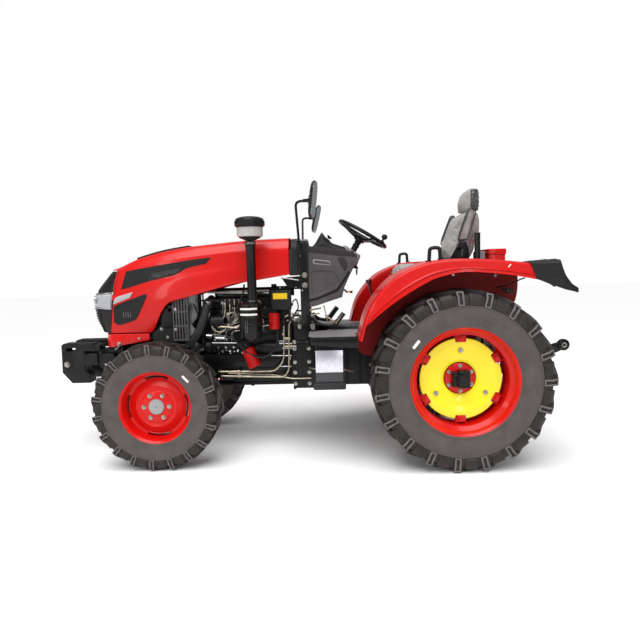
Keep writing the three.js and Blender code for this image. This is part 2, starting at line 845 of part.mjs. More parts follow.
function seatDeck() {
  const edge = FENDER_IN - GAP;
  return join(
    box(-340, 345, -edge, edge, DECK_TOP - 12, DECK_TOP),
    box(-352, -340, -edge, edge, DECK_TOP - 12, 1250),
    box(-512, -340, -240, 240, 1238, 1250),
    box(333, 345, -edge, edge, 940 + GAP, DECK_TOP),
    box(333, 345, GEARBOX_HALF + GAP, edge, FLOOR_TOP + GAP, DECK_TOP),
    box(333, 345, -edge, -GEARBOX_HALF - GAP, FLOOR_TOP + GAP, DECK_TOP),
    box(-60, 60, -110, 110, REAR_RADIUS + COVER_RISE + GAP, DECK_TOP - 6),
  );
}

// side view points given as heights above the rear axle
const overAxle = (points) => points.map(([x, rise]) => [x, REAR_RADIUS + rise]);

// the line of a fender's crest, from its front tip to its rear end
function crestLine(inset) {
  const line = new THREE.SplineCurve(
    overAxle([
      [FENDER_TIP, 296],
      [630, 511],
      [472, 701],
      [266, 798],
      [61, 821],
      [-180, 811],
      [-460, 778],
    ]).map(([x, z]) => new THREE.Vector2(x, z)),
  );
  const count = 16;
  return Array.from({ length: count + 1 }, (_, i) => {
    const p = line.getPoint(i / count);
    const t = line.getTangent(i / count);
    return [p.x - t.y * inset, p.y + t.x * inset];
  });
}

function fender() {
  const crest = crestLine(0);
  const sheet = acrossY([...crest, ...crestLine(FENDER_SKIN).reverse()], FENDER_IN, FENDER_OUT);
  const skirt = acrossY(
    [
      ...crest,
      ...overAxle([[-464, 673], [-268, 708], [-13, 737], [130, 714], [243, 676], [463, 546], [646, 395]]),
    ],
    FENDER_OUT - FENDER_SKIN,
    FENDER_OUT,
  );
  const panel = acrossY(
    [...crest, ...overAxle([[-430, 480], [-150, 240], [200, 170], [640, 140]])],
    FENDER_IN,
    FENDER_IN + FENDER_SKIN,
  );
  return join(sheet, skirt, panel);
}

function fenderFlap() {
  const top = overAxle([[-461, 777], [-615, 800], [-642, 705], [-728, 581]]);
  const under = overAxle([[-716, 582], [-630, 705], [-606, 788], [-461, 769]]);
  const side = [...top, ...overAxle([[-593, 623], [-465, 673]])];
  return join(
    acrossY([...top, ...under], FENDER_IN + 10, FENDER_OUT),
    acrossY(side, FENDER_OUT - 14, FENDER_OUT),
  );
}

function grabHandle() {
  const y = FENDER_OUT - 95;
  const foot = (x) => crestHeight(x) + GAP;
  const top = REAR_RADIUS + 907;
  return join(
    tube([[228, y, foot(214) + 3], [216, y, top], [150, y, top], [137, y, foot(122) + 3]], 11, 22, 14),
    box(214, 244, y - 24, y + 24, foot(214), foot(214) + 14),
    box(122, 152, y - 24, y + 24, foot(122), foot(122) + 10),
  );
}

// height of the crest at a place along it
function crestHeight(x) {
  const line = crestLine(0);
  const next = line.findIndex((p) => p[0] <= x);
  const [a, b] = [line[next - 1], line[next]];
  return a[1] + ((b[1] - a[1]) * (x - a[0])) / (b[0] - a[0]);
}

// ---- seat ----
const SEAT_HALF = 232;
const CUSHION_LOW = 1300;
const BACK_LOW = -209; // where the backrest meets its bracket
const BACK_HIGH = -262;
const ARM_PIVOT = [-104, 1545]; // x and z of the armrests' pins
const ARM_PIN = 12;

// a point of a side view, at a place across the tractor
const at = ([x, z], y) => [x, y, z];

function seatBase() {
  const bracket = [
    [-250, 1262],
    [-215, 1262],
    [BACK_LOW - GAP, 1440],
    [BACK_HIGH - GAP, 1560],
    [-306, 1560],
    [-250, 1440],
  ];
  return join(
    box(-70, 320, -190, 190, DECK_TOP + GAP, DECK_TOP + 20),
    box(-40, 290, -150, 150, DECK_TOP + 10, 1262),
    box(-90, 340, -200, 200, 1255, CUSHION_LOW - GAP),
    box(-250, -80, -170, 170, 1262, 1290),
    acrossY(bracket, -170, 170),
  );
}

function seatCushion() {
  return acrossY(
    [[-60, CUSHION_LOW], [370, CUSHION_LOW], [402, 1352], [368, 1420], [84, 1408], [-60, 1420]],
    -SEAT_HALF,
    SEAT_HALF,
  );
}

function seatBackrest() {
  const side = [
    [-60, 1424],
    [24, 1470],
    [-126, 1806],
    [-292, 1817],
    [-300, 1640],
    [BACK_HIGH, 1560],
    [BACK_LOW, 1440],
    [-204, 1424],
  ];
  const top = [[-125, 1800], [-138, 1916], [-180, 1980], [-253, 1999], [-288, 1966], [-290, 1800]];
  const pad = acrossY(side, -SEAT_HALF + 10, SEAT_HALF - 10);
  const rest = acrossY(top, -135, 135);
  const reach = SEAT_HALF + 30;
  return join(pad, rest, rod(at(ARM_PIVOT, -reach), at(ARM_PIVOT, reach), ARM_PIN, 16));
}

function armrest() {
  const y0 = SEAT_HALF + 8;
  const y1 = y0 + 55;
  const pad = acrossY(
    [[-142, 1560], [-60, 1560], [-62, 1600], [-140, 1818], [-200, 1832], [-218, 1790]],
    y0,
    y1,
  );
  return cut(
    join(pad, rod(at(ARM_PIVOT, y0), at(ARM_PIVOT, y1), 30, 16)),
    rod(at(ARM_PIVOT, y0 - 10), at(ARM_PIVOT, y0 + 30), ARM_PIN + PIN_GAP, 16),
  );
}

function toolbox() {
  return box(-500, -365, -190, 190, 1250 + GAP, 1516);
}

// ---- mirrors ----
function mirror() {
  const side = HOOD_HALF - 4 + GAP;
  const arm = [[1102, side + 12, 1530], [1102, side + 24, 1580], [1108, 575, 1858], [1000, 650, 1858]];
  const head = box(-14, 14, -80, 80, -126, 126).rotateY(-0.12).translate(990, 660, 1855);
  return join(
    box(1085, 1120, side + GAP, side + 12, 1500, 1560),
    tube(arm, 9, 40, 18),
    head,
  );
}

// ---- three-point lift ----
const BALL = [BALL_X, BALL_Z];
const ROD_FOOT = [LINK_X + (BALL[0] - LINK_X) * ROD_SHARE, LINK_Z + (BALL[1] - LINK_Z) * ROD_SHARE];
const ROD_HEAD = [LIFT_X + ROD_FOOT[0] - LINK_X, LIFT_Z + ROD_FOOT[1] - LINK_Z];
const ARM_IN = 152;
const ARM_OUT = 176;
const LINK_IN = 202; // front eye of a lower link
const ROD_FOOT_Y = 254;

function liftArms() {
  const [x, z] = ROD_HEAD;
  const length = Math.hypot(x - LIFT_X, z - LIFT_Z);
  const angle = Math.atan2(z - LIFT_Z, x - LIFT_X);
  const sides = [-1, 1].flatMap((side) => {
    const y0 = Math.min(side * ARM_IN, side * ARM_OUT);
    const y1 = Math.max(side * ARM_IN, side * ARM_OUT);
    return [
      box(0, length, y0, y1, -24, 24).rotateY(-angle).translate(LIFT_X, 0, LIFT_Z),
      rod([LIFT_X, y0, LIFT_Z], [LIFT_X, y1, LIFT_Z], 44, 20),
      rod([x, y0, z], [x, y1, z], 28, 16),
      rod([x, side * (ARM_OUT - 2), z], [x, side * (ARM_OUT + 38), z], 12, 12),
    ];
  });
  return join(rod([LIFT_X, -ARM_OUT, LIFT_Z], [LIFT_X, ARM_OUT, LIFT_Z], 25, 20), ...sides);
}

function lowerLink() {
  const [bx, bz] = ROD_FOOT;
  const footY = LINK_IN + 14 + (BALL_Y - LINK_IN - 14) * ROD_SHARE;
  const front = [LINK_X, LINK_IN + 14, LINK_Z];
  const rear = [BALL_X, BALL_Y, BALL_Z];
  const bar = rod(front, rear, 22, 8);
  const body = join(
    bar,
    rod([LINK_X, LINK_IN, LINK_Z], [LINK_X, LINK_IN + 28, LINK_Z], 32, 20),
    rod([BALL_X, BALL_Y - 18, BALL_Z], [BALL_X, BALL_Y + 18, BALL_Z], BALL_R, 20),
    rod([bx, ROD_FOOT_Y - 14, bz], [bx, footY, bz], 11, 12),
  );
  return cut(
    body,
    rod([LINK_X, LINK_IN - 10, LINK_Z], [LINK_X, LINK_IN + 60, LINK_Z], 14 + PIN_GAP, 20),
    rod([BALL_X, BALL_Y - 30, BALL_Z], [BALL_X, BALL_Y + 30, BALL_Z], 11, 16),
  );
}

function liftRod() {
  const [ax, az] = ROD_HEAD;
  const [bx, bz] = ROD_FOOT;
  const topY = ARM_OUT + 20;
  const lowY = ROD_FOOT_Y;
  const body = join(
    rod([ax, topY, az], [bx, lowY, bz], 13, 12),
    rod([ax, topY - 12, az], [ax, topY + 12, az], 26, 18),
    rod([bx, lowY - 10, bz], [bx, lowY + 10, bz], 24, 18),
  );
  return cut(
    body,
    rod([ax, topY - 30, az], [ax, topY + 30, az], 12 + PIN_GAP, 16),
    rod([bx, lowY - 30, bz], [bx, lowY + 30, bz], 11 + PIN_GAP, 16),
  );
}

// ---- the assembly ----
add("engine", engine(), cast());
add("transmission", transmission(), cast());
add("rear_axle_housing", rearAxleHousing(), cast());
add("drawbar", drawbar(), black());
add("front_frame", frontFrame(), black());
add("front_weights", frontWeights(), black());
add("front_axle_beam", frontAxleBeam(), cast());
add("radiator", radiator(), black());
add("nose_panel", nosePanel(), red());
add("hood", hood(), red());
add("grille", grille(), plastic());
add("air_cleaner", airCleaner(), black());
add("precleaner", precleaner(), plastic());
add("exhaust", exhaust(), black());
add("steering_pipes", steeringPipes(), steel());
add("cowl_frame", cowlFrame(), black());
add("dash_console", dashConsole(), plastic());
add("steering_wheel", steeringWheel(), rubber());
add("pedals", pedals(), black());
add("gear_lever", gearLever(), black());
add("seat_deck", seatDeck(), black());
add("seat_base", seatBase(), black());
add("seat_cushion", seatCushion(), vinyl());
add("seat_backrest", seatBackrest(), vinyl());
add("toolbox", toolbox(), red());
add("tie_rod", tieRod(), steel());
add("lift_arms", liftArms(), black());
pair("footplate", footplate(), black);
pair("fender", fender(), red);
pair("fender_flap", fenderFlap(), rubber);
pair("grab_handle", grabHandle(), black);
pair("armrest", armrest(), vinyl);
pair("mirror", mirror(), black);
pair("knuckle", knuckle(), cast);
pair("front_tyre", tyre(FRONT_RADIUS, FRONT_WIDTH, FRONT_RIM, WHEELBASE, FRONT_CENTRE), rubber);
pair("front_rim", frontRim(), red);
pair("rear_tyre", tyre(REAR_RADIUS, REAR_WIDTH, REAR_RIM, 0, REAR_CENTRE), rubber);
pair("rear_rim", rearRim(), red);
pair("rear_disc", rearDisc(), yellow);
pair("lower_link", lowerLink(), black);
pair("lift_rod", liftRod(), black);

export default tractor;
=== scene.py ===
# %% [markdown]
# # A farm tractor with four-wheel drive
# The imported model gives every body, joint and size in one frame: X forwards, Y to the driver's left and
# Z up. This notebook clothes that frame, piece by piece, in the shapes and finishes of the real machine.
# Each piece rides on the body that carries it, so the tractor can steer, open its hood and drop its lift.

# %% Load the frame
import json
import math

import bmesh
import bpy
from mathutils import Matrix, Vector

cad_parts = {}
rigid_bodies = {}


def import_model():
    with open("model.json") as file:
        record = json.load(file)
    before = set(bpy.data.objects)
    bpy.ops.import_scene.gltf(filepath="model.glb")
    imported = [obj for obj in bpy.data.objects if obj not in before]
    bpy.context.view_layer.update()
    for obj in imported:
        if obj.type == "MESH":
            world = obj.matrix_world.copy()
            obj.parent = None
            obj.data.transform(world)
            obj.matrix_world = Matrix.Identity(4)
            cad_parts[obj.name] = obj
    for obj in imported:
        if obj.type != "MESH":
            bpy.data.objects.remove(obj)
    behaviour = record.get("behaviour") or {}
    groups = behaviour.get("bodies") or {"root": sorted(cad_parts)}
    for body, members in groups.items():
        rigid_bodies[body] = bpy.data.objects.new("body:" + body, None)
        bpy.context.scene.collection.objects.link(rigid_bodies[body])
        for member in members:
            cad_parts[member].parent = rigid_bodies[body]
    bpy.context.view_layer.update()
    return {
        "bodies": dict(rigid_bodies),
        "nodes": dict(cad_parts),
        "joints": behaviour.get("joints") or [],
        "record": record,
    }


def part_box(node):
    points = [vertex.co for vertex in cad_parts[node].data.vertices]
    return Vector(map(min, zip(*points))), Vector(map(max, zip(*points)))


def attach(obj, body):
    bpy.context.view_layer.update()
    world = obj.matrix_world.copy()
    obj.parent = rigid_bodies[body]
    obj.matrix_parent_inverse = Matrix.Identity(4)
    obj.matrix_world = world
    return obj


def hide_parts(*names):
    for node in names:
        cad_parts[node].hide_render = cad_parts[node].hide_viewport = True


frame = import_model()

# %% [markdown]
# ## One set of datums
# A tractor is measured from its rear axle: the wheelbase, the seat and the hood are all drawn from it.
# The pieces below are worked in millimetres from the ground under that axle, and `settle` turns them
# into metres of the frame once, at the end.

# %% Datums from the frame
MM = 0.001


def middle(node):
    low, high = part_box(node)
    return (low + high) / 2


AXLE = middle("rear_tyre_left").x  # the rear axle, in the frame
REAR_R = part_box("rear_tyre_left")[1].z / 2 / MM  # hub height and radius over the lugs
FRONT_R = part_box("front_tyre_left")[1].z / 2 / MM
REAR_Y = middle("rear_tyre_left").y / MM
FRONT_Y = middle("front_tyre_left").y / MM
WHEELBASE = (middle("front_tyre_left").x - AXLE) / MM
TO_FRAME = Matrix.Translation((AXLE, 0, 0)) @ Matrix.Scale(MM, 4)
print("wheelbase", round(WHEELBASE), "rear radius", round(REAR_R), "front radius", round(FRONT_R))

# %% [markdown]
# ## The camera
# A side view from about four metres, at chest height and turned down a little, with a moderately wide
# lens. It comes first because every proportion is judged through it.

# %% Camera
CAMERA_PLACE = (915.3, 4195.6, 1395.9)
CAMERA_YAW = 0.0121
CAMERA_DOWN = 0.0977
CAMERA_ROLL = -0.0253
CAMERA_LENS = 29.28


def make_camera():
    """A camera at the place, turn and tilt named above."""
    ahead = Vector((
        math.sin(CAMERA_YAW) * math.cos(CAMERA_DOWN),
        -math.cos(CAMERA_YAW) * math.cos(CAMERA_DOWN),
        -math.sin(CAMERA_DOWN),
    ))
    side = ahead.cross(Vector((0, 0, 1))).normalized()
    over = side.cross(ahead)
    c, s = math.cos(CAMERA_ROLL), math.sin(CAMERA_ROLL)
    right = side * c + over * s
    up = over * c - side * s
    data = bpy.data.cameras.new("side_camera")
    data.lens = CAMERA_LENS
    data.clip_start = 0.05
    data.clip_end = 100
    camera = bpy.data.objects.new("side_camera", data)
    turn = Matrix((right, up, -ahead)).transposed().to_4x4()
    camera.matrix_world = Matrix.Translation(TO_FRAME @ Vector(CAMERA_PLACE)) @ turn
    bpy.context.scene.collection.objects.link(camera)
    bpy.context.scene.camera = camera


make_camera()

# %% [markdown]
# ## Floor and light
# A pale floor and large soft lamps, as in a studio: glossy enamel shows its shape by the broad
# reflections of big lights, so a few large areas do more than many small lamps.

# %% Floor, sky and lamps
def make_stage():
    """The pale floor that the tractor stands on."""
    floor = bmesh.new()
    bmesh.ops.create_grid(floor, x_segments=1, y_segments=1, size=30)
    # It ends behind the camera, so the enamel's sides mirror the dimmer room and keep their colour.
    bmesh.ops.translate(floor, verts=[v for v in floor.verts if v.co.y > 0], vec=(0, -23, 0))
    mesh = bpy.data.meshes.new("floor")
    floor.to_mesh(mesh)
    floor.free()
    plane = bpy.data.objects.new("floor", mesh)
    bpy.context.scene.collection.objects.link(plane)
    pale = bpy.data.materials.new("pale_floor_paint")
    pale.use_nodes = True
    pale.node_tree.nodes["Principled BSDF"].inputs["Base Color"].default_value = (0.93, 0.93, 0.93, 1)
    pale.node_tree.nodes["Principled BSDF"].inputs["Roughness"].default_value = 0.9
    mesh.materials.append(pale)
    return plane


def make_lamp(name, place, size, power, aim):
    data = bpy.data.lights.new(name, "AREA")
    data.shape = "RECTANGLE"
    data.size, data.size_y = size
    data.energy = power
    lamp = bpy.data.objects.new(name, data)
    place = Vector(place)
    lamp.location = place
    lamp.rotation_mode = "QUATERNION"
    lamp.rotation_quaternion = (Vector(aim) - place).to_track_quat("-Z", "Y")
    bpy.context.scene.collection.objects.link(lamp)


def make_sky(seen, light):
    """A white room that looks brighter than the light it gives, so that gloss stays deep."""
    world = bpy.data.worlds.new("white_room")
    bpy.context.scene.world = world
    world.use_nodes = True
    world.node_tree.nodes["Background"].inputs["Color"].default_value = (1, 1, 1, 1)
    rays = world.node_tree.nodes.new("ShaderNodeLightPath")
    choice = world.node_tree.nodes.new("ShaderNodeMapRange")
    choice.inputs["To Min"].default_value = light
    choice.inputs["To Max"].default_value = seen
    world.node_tree.links.new(rays.outputs["Is Camera Ray"], choice.inputs["Value"])
    world.node_tree.links.new(
        choice.outputs["Result"], world.node_tree.nodes["Background"].inputs["Strength"],
    )


def make_sun(place, aim, strength, spread):
    """One very soft lamp far above, which lights the whole floor evenly."""
    data = bpy.data.lights.new("high_soft_lamp", "SUN")
    data.energy = strength
    data.angle = math.radians(spread)
    lamp = bpy.data.objects.new("high_soft_lamp", data)
    lamp.rotation_mode = "QUATERNION"
    lamp.rotation_quaternion = (Vector(aim) - Vector(place)).to_track_quat("-Z", "Y")
    bpy.context.scene.collection.objects.link(lamp)


bpy.context.scene.view_settings.view_transform = "Standard"
floor = make_stage()
make_sky(1.0, 0.3)
make_sun((0.4, 2.2, 5.0), (0, 0, 0), 2.7, 50)
make_lamp("left_bank", (0.6, 5.4, 4.4), (6.0, 2.2), 34, (0, 0, 0.8))
make_lamp("front_bank", (5.5, 2.4, 3.2), (2.6, 2.6), 30, (0.6, 0, 0.8))
make_lamp("rear_bank", (-5.5, 2.0, 3.6), (2.6, 2.6), 30, (-0.6, 0, 0.8))
make_lamp("far_bank", (0.0, -5.0, 4.0), (5.0, 2.4), 30, (0, 0, 0.8))
make_lamp("front_strip", (2.9, 4.6, 1.9), (0.35, 2.6), 26, (1.2, 0, 0.9))
make_lamp("rear_strip", (-2.2, 4.8, 2.2), (0.35, 2.6), 22, (-0.6, 0, 0.9))
make_lamp("top_bank", (0, 0.4, 6.0), (5.0, 3.0), 50, (0, 0, 0))

# %% [markdown]
# ## Building with bmesh
# Every shape starts as a face or a primitive and is then extruded, spun or bevelled, the way a shop
# would saw, turn and round it. Three helpers cover most pieces: `sweep` carries a closed section along,
# `skin` carries an open line along, and `spun` turns a profile about an axle.

# %% Shape helpers
def mm_box(bm, x, y, z):
    """A block between pairs of values along X, Y and Z."""
    size = [abs(b - a) for a, b in (x, y, z)]
    centre = [(a + b) / 2 for a, b in (x, y, z)]
    matrix = Matrix.Translation(centre) @ Matrix.Diagonal((*size, 1))
    return bmesh.ops.create_cube(bm, size=1, matrix=matrix)["verts"]


def drum(bm, a, b, radius, end_radius=None, segments=24):
    """A capped cylinder, or a cone, between two points."""
    a, b = Vector(a), Vector(b)
    turn = Vector((0, 0, 1)).rotation_difference(b - a).to_matrix().to_4x4()
    return bmesh.ops.create_cone(
        bm, cap_ends=True, cap_tris=False, segments=segments, radius1=radius,
        radius2=radius if end_radius is None else end_radius, depth=(b - a).length,
        matrix=Matrix.Translation((a + b) / 2) @ turn,
    )["verts"]


def sweep(bm, sections, closed=False):
    """A solid through closed sections of equally many points, capped unless the run is closed."""
    rings = [[bm.verts.new(p) for p in section] for section in sections]
    for one, two in zip(rings, rings[1:] + rings[:1] if closed else rings[1:]):
        edges = []
        for ring in (one, two):
            for a, b in zip(ring, ring[1:] + ring[:1]):
                edges.append(bm.edges.get((a, b)) or bm.edges.new((a, b)))
        bmesh.ops.bridge_loops(bm, edges=edges)
    if not closed:
        bm.faces.new(rings[0])
        bm.faces.new(rings[-1])
    return [v for ring in rings for v in ring]


def skin(bm, lines):
    """A sheet through open lines of equally many points."""
    first = [bm.verts.new(p) for p in lines[0]]
    edges = [bm.edges.new(pair) for pair in zip(first, first[1:])]
    made = list(first)
    row = first
    for line in lines[1:]:
        grown = bmesh.ops.extrude_edge_only(bm, edges=edges)["geom"]
        new = [g for g in grown if isinstance(g, bmesh.types.BMVert)]
        edges = [g for g in grown if isinstance(g, bmesh.types.BMEdge) and all(v in new for v in g.verts)]
        ordered = [next(v for v in new if any(e.other_vert(v) is r for e in v.link_edges)) for r in row]
        for vert, place in zip(ordered, line):
            vert.co = place
        made += ordered
        row = ordered
    return made


def spun(bm, profile, centre, steps=72, axis=(0, 1, 0), arc=math.tau):
    """A profile of (radius, along) turned about an axle through centre."""
    axis = Vector(axis)
    out = Vector((0, 0, 1)) if abs(axis.z) < 0.9 else Vector((1, 0, 0))
    centre = Vector(centre)
    verts = [bm.verts.new(centre + out * r + axis * h) for r, h in profile]
    edges = [bm.edges.new(pair) for pair in zip(verts, verts[1:])]
    made = bmesh.ops.spin(
        bm, geom=verts + edges, cent=centre, axis=axis, angle=arc, steps=steps,
        use_merge=arc == math.tau,
    )
    return made


def plate(bm, outline, low, high, across="y"):
    """An outline given thickness: across y it is a side view (x, z), across x a front view (y, z),
    across z a plan (x, y)."""
    lift = {
        "y": lambda p, d: (p[0], d, p[1]),
        "x": lambda p, d: (d, p[0], p[1]),
        "z": lambda p, d: (p[0], p[1], d),
    }[across]
    face = bm.faces.new([bm.verts.new(lift(p, low)) for p in outline])
    grown = bmesh.ops.extrude_face_region(bm, geom=[face])["geom"]
    verts = [g for g in grown if isinstance(g, bmesh.types.BMVert)]
    bmesh.ops.translate(bm, verts=verts, vec=lift((0, 0), high - low))
    return list(face.verts) + verts


def bent_line(points, bend, pieces=6):
    """Points joined by straight runs with rounded corners."""
    points = [Vector(p) for p in points]
    line = [points[0]]
    for before, corner, after in zip(points, points[1:], points[2:]):
        reach = min(bend, (corner - before).length * 0.48, (after - corner).length * 0.48)
        a = corner + (before - corner).normalized() * reach
        b = corner + (after - corner).normalized() * reach
        for i in range(pieces + 1):
            t = i / pieces
            line.append(a * (1 - t) ** 2 + corner * 2 * t * (1 - t) + b * t * t)
    line.append(points[-1])
    return line


def pipe(bm, points, radius, bend=40, segments=12, pieces=6):
    """A round bar, tube or hose of one radius along rounded corners."""
    line = bent_line(points, bend, pieces)
    sections = []
    before = None
    for i, point in enumerate(line):
        ahead = (line[min(i + 1, len(line) - 1)] - line[max(i - 1, 0)]).normalized()
        if before is None:
            side = ahead.orthogonal().normalized()
        else:
            side = (before.rotation_difference(ahead) @ side).normalized()
        before = ahead
        over = ahead.cross(side)
        ring = []
        for k in range(segments):
            angle = math.tau * k / segments
            ring.append(point + (side * math.cos(angle) + over * math.sin(angle)) * radius)
        sections.append(ring)
    return sweep(bm, sections)


def corners(bm, angle=30, verts=None):
    """Edges whose faces meet more sharply than an angle."""
    chosen = set(verts) if verts is not None else None
    found = []
    for edge in bm.edges:
        if chosen is not None and not (edge.verts[0] in chosen and edge.verts[1] in chosen):
            continue
        if len(edge.link_faces) == 2 and edge.calc_face_angle(0) > math.radians(angle):
            found.append(edge)
    return found


def soften(bm, width, segments=2, angle=30, verts=None):
    """Rounds the sharp edges, as a mould, a press or a file does."""
    bmesh.ops.bevel(
        bm, geom=corners(bm, angle, verts), offset=width, offset_type="OFFSET", affect="EDGES",
        segments=segments, profile=0.5, material=-1, clamp_overlap=True,
    )


def turn_about(bm, verts, centre, axis, degrees):
    bmesh.ops.rotate(
        bm, verts=verts, cent=centre, matrix=Matrix.Rotation(math.radians(degrees), 3, axis),
    )


def mirrored(bm):
    """The same shape on the other side of the tractor, faces outwards again."""
    bmesh.ops.scale(bm, verts=bm.verts[:], vec=(1, -1, 1))
    bmesh.ops.reverse_faces(bm, faces=bm.faces[:])


def twin(build):
    """A builder of one piece that has both a left half and its mirror image."""
    def whole(bm):
        build(bm)
        copied = bmesh.ops.duplicate(bm, geom=bm.verts[:] + bm.edges[:] + bm.faces[:])["geom"]
        verts = [g for g in copied if isinstance(g, bmesh.types.BMVert)]
        faces = [g for g in copied if isinstance(g, bmesh.types.BMFace)]
        bmesh.ops.scale(bm, verts=verts, vec=(1, -1, 1))
        bmesh.ops.reverse_faces(bm, faces=faces)
    return whole


def bolt(bm, place, axis, across=17, height=8, washer=1.4):
    """A hexagon head on its washer, seated at a place and pointing along an axis."""
    place, axis = Vector(place), Vector(axis).normalized()
    verts = drum(bm, place, place + axis * height * 0.25, across * 0.5 * washer, segments=20)
    verts += drum(bm, place + axis * height * 0.2, place + axis * height, across * 0.577, segments=6)
    return verts


def clean(bm):
    bmesh.ops.remove_doubles(bm, verts=bm.verts[:], dist=0.01)
    bmesh.ops.recalc_face_normals(bm, faces=bm.faces[:])


made_pieces = {}


def settle(bm, name, material, body, replaces=(), sharp=32, tidy=True):
    """Turns a bmesh in millimetres into a piece of the tractor, at its place in its mesh."""
    if tidy:
        bmesh.ops.recalc_face_normals(bm, faces=bm.faces[:])
    bmesh.ops.transform(bm, matrix=TO_FRAME, verts=bm.verts[:])
    for face in bm.faces:
        face.smooth = True
    for edge in bm.edges:
        if len(edge.link_faces) == 2:
            edge.smooth = edge.calc_face_angle(0) < math.radians(sharp)
    mesh = bpy.data.meshes.new(name)
    bm.to_mesh(mesh)
    bm.free()
    piece = bpy.data.objects.new(name, mesh)
    bpy.context.scene.collection.objects.link(piece)
    for layer in material if isinstance(material, (list, tuple)) else [material]:
        piece.data.materials.append(layer)
    if replaces:
        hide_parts(*replaces)
    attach(piece, body)
    made_pieces[name] = len(mesh.polygons)
    return piece


def both_sides(build, name, material, body, replaces=(), sharp=32):
    """A piece on the left and its mirror image on the right; {} in a name takes the side."""
    for side in ("left", "right"):
        bm = bmesh.new()
        build(bm)
        if side == "right":
            mirrored(bm)
        settle(
            bm, name.format(side), material, body.format(side),
            [n.format(side) for n in replaces], sharp,
        )


def single(build, name, material, body="chassis", replaces=(), sharp=32):
    """One piece from its builder."""
    bm = bmesh.new()
    build(bm)
    return settle(bm, name, material, body, replaces, sharp)

# %% [markdown]
# ## How the finishes are made
# Each finish is a Principled shader with a few nodes for what the surface really has: the slight
# unevenness of sprayed enamel, the grain of cast iron, the pebble of moulded plastic. Patterns use
# object coordinates, which are metres, so a scale is one over the size of the real feature.

# %% Colour and node helpers
def colour(code, alpha=1.0):
    """A printed hex colour as the linear values a shader takes."""
    parts = [int(code[i:i + 2], 16) / 255 for i in (1, 3, 5)]
    return (*[v / 12.92 if v <= 0.04045 else ((v + 0.055) / 1.055) ** 2.4 for v in parts], alpha)


def add(material, kind, settings=None, links=None):
    """Adds one node, sets its properties and inputs, and links inputs from other sockets."""
    node = material.node_tree.nodes.new("ShaderNode" + kind)
    for key, value in (settings or {}).items():
        if key in node.inputs:
            node.inputs[key].default_value = value
        else:
            setattr(node, key, value)
    for key, source in (links or {}).items():
        material.node_tree.links.new(source, node.inputs[key])
    return node


def per_mm(size):
    """The pattern scale that gives features of a size in millimetres."""
    return 1000 / size


def per_band(period):
    """The wave scale that gives bands of a period in millimetres."""
    return math.pi / 10 * per_mm(period)


def finish(name, base, rough, metal=0.0, **sockets):
    """A material with its shader's own sockets set; returns it, its shader and object coordinates."""
    material = bpy.data.materials.new(name)
    material.use_nodes = True
    shader = material.node_tree.nodes["Principled BSDF"]
    shader.inputs["Base Color"].default_value = colour(base)
    shader.inputs["Roughness"].default_value = rough
    shader.inputs["Metallic"].default_value = metal
    for key, value in sockets.items():
        shader.inputs[key.replace("_", " ")].default_value = value
    place = add(material, "TexCoord").outputs["Object"]
    return material, shader, place


def mottle(material, shader, place, size, base, other, spread=(0.35, 0.65), detail=3):
    """Clouds of a second tone over the base, at a size in millimetres."""
    cloud = add(material, "TexNoise", {"Scale": per_mm(size), "Detail": detail}, {"Vector": place})
    ramp = add(material, "ValToRGB", links={"Fac": cloud.outputs["Fac"]})
    ramp.color_ramp.elements[0].position, ramp.color_ramp.elements[1].position = spread
    ramp.color_ramp.elements[0].color = colour(base)
    ramp.color_ramp.elements[1].color = colour(other)
    material.node_tree.links.new(ramp.outputs["Color"], shader.inputs["Base Color"])
    return cloud


def vary_gloss(material, shader, source, low, high):
    """Roughness that drifts between two values with a pattern."""
    span = add(material, "MapRange", {"To Min": low, "To Max": high}, {"Value": source})
    material.node_tree.links.new(span.outputs["Result"], shader.inputs["Roughness"])


def grain(material, shader, place, size, depth, strength=0.5, kind="TexNoise", **settings):
    """Bumps of a real size and depth in millimetres."""
    pattern = add(material, kind, {"Scale": per_mm(size), **settings}, {"Vector": place})
    height = pattern.outputs.get("Fac") or pattern.outputs["Distance"]
    bump = add(material, "Bump", {"Strength": strength, "Distance": depth * MM}, {"Height": height})
    before = shader.inputs["Normal"].links
    if before:
        material.node_tree.links.new(before[0].from_socket, bump.inputs["Normal"])
    material.node_tree.links.new(bump.outputs["Normal"], shader.inputs["Normal"])
    return pattern

# %% [markdown]
# ## Enamels
# Tractor sheet metal is dipped, primed and sprayed with a hard gloss enamel. The coat gives the mirror
# layer over the pigment, and a faint long ripple, the orange peel of spraying, keeps reflections soft.
# A duller tone is mixed through in random clouds. The dark red enamel is painted shade for the faces of the
# fenders that turn towards the wheels.

# %% Enamels
def enamel(name, base, other, rough=0.28, coat=0.8):
    material, shader, place = finish(
        name, base, rough, Coat_Weight=coat, Coat_Roughness=0.06, Specular_IOR_Level=0.25,
    )
    cloud = mottle(material, shader, place, 260, base, other, (0.3, 0.75))
    vary_gloss(material, shader, cloud.outputs["Fac"], rough - 0.05, rough + 0.08)
    grain(material, shader, place, 9, 0.05, 0.25, Detail=2)
    return material


RED = enamel("red_enamel", "#d20f0a", "#c60b07", 0.3, 0.16)
# Painted shade: a darker, uncoated red for the fenders' faces that turn towards the wheels, where shade
# falls.
RED_PAINTED_SHADE = enamel("red_enamel_painted_shade", "#8c0b08", "#740907", 0.55, 0.0)
YELLOW = enamel("yellow_enamel", "#fff32a", "#fbea1c", 0.3, 0.5)
GLOSS_BLACK = enamel("black_enamel", "#070708", "#0b0b0c", 0.3, 0.12)
SILVER_PAINT = enamel("silver_enamel", "#9d9ea0", "#8d8e90", 0.38, 0.4)

# %% [markdown]
# ## Cast and bare metals
# Castings are painted black over a sandy skin, so they look duller and rougher than sheet. Bolts and
# pins are zinc plated: grey, faintly blotchy and half bright. Bright plate is smoother and mirrors more.

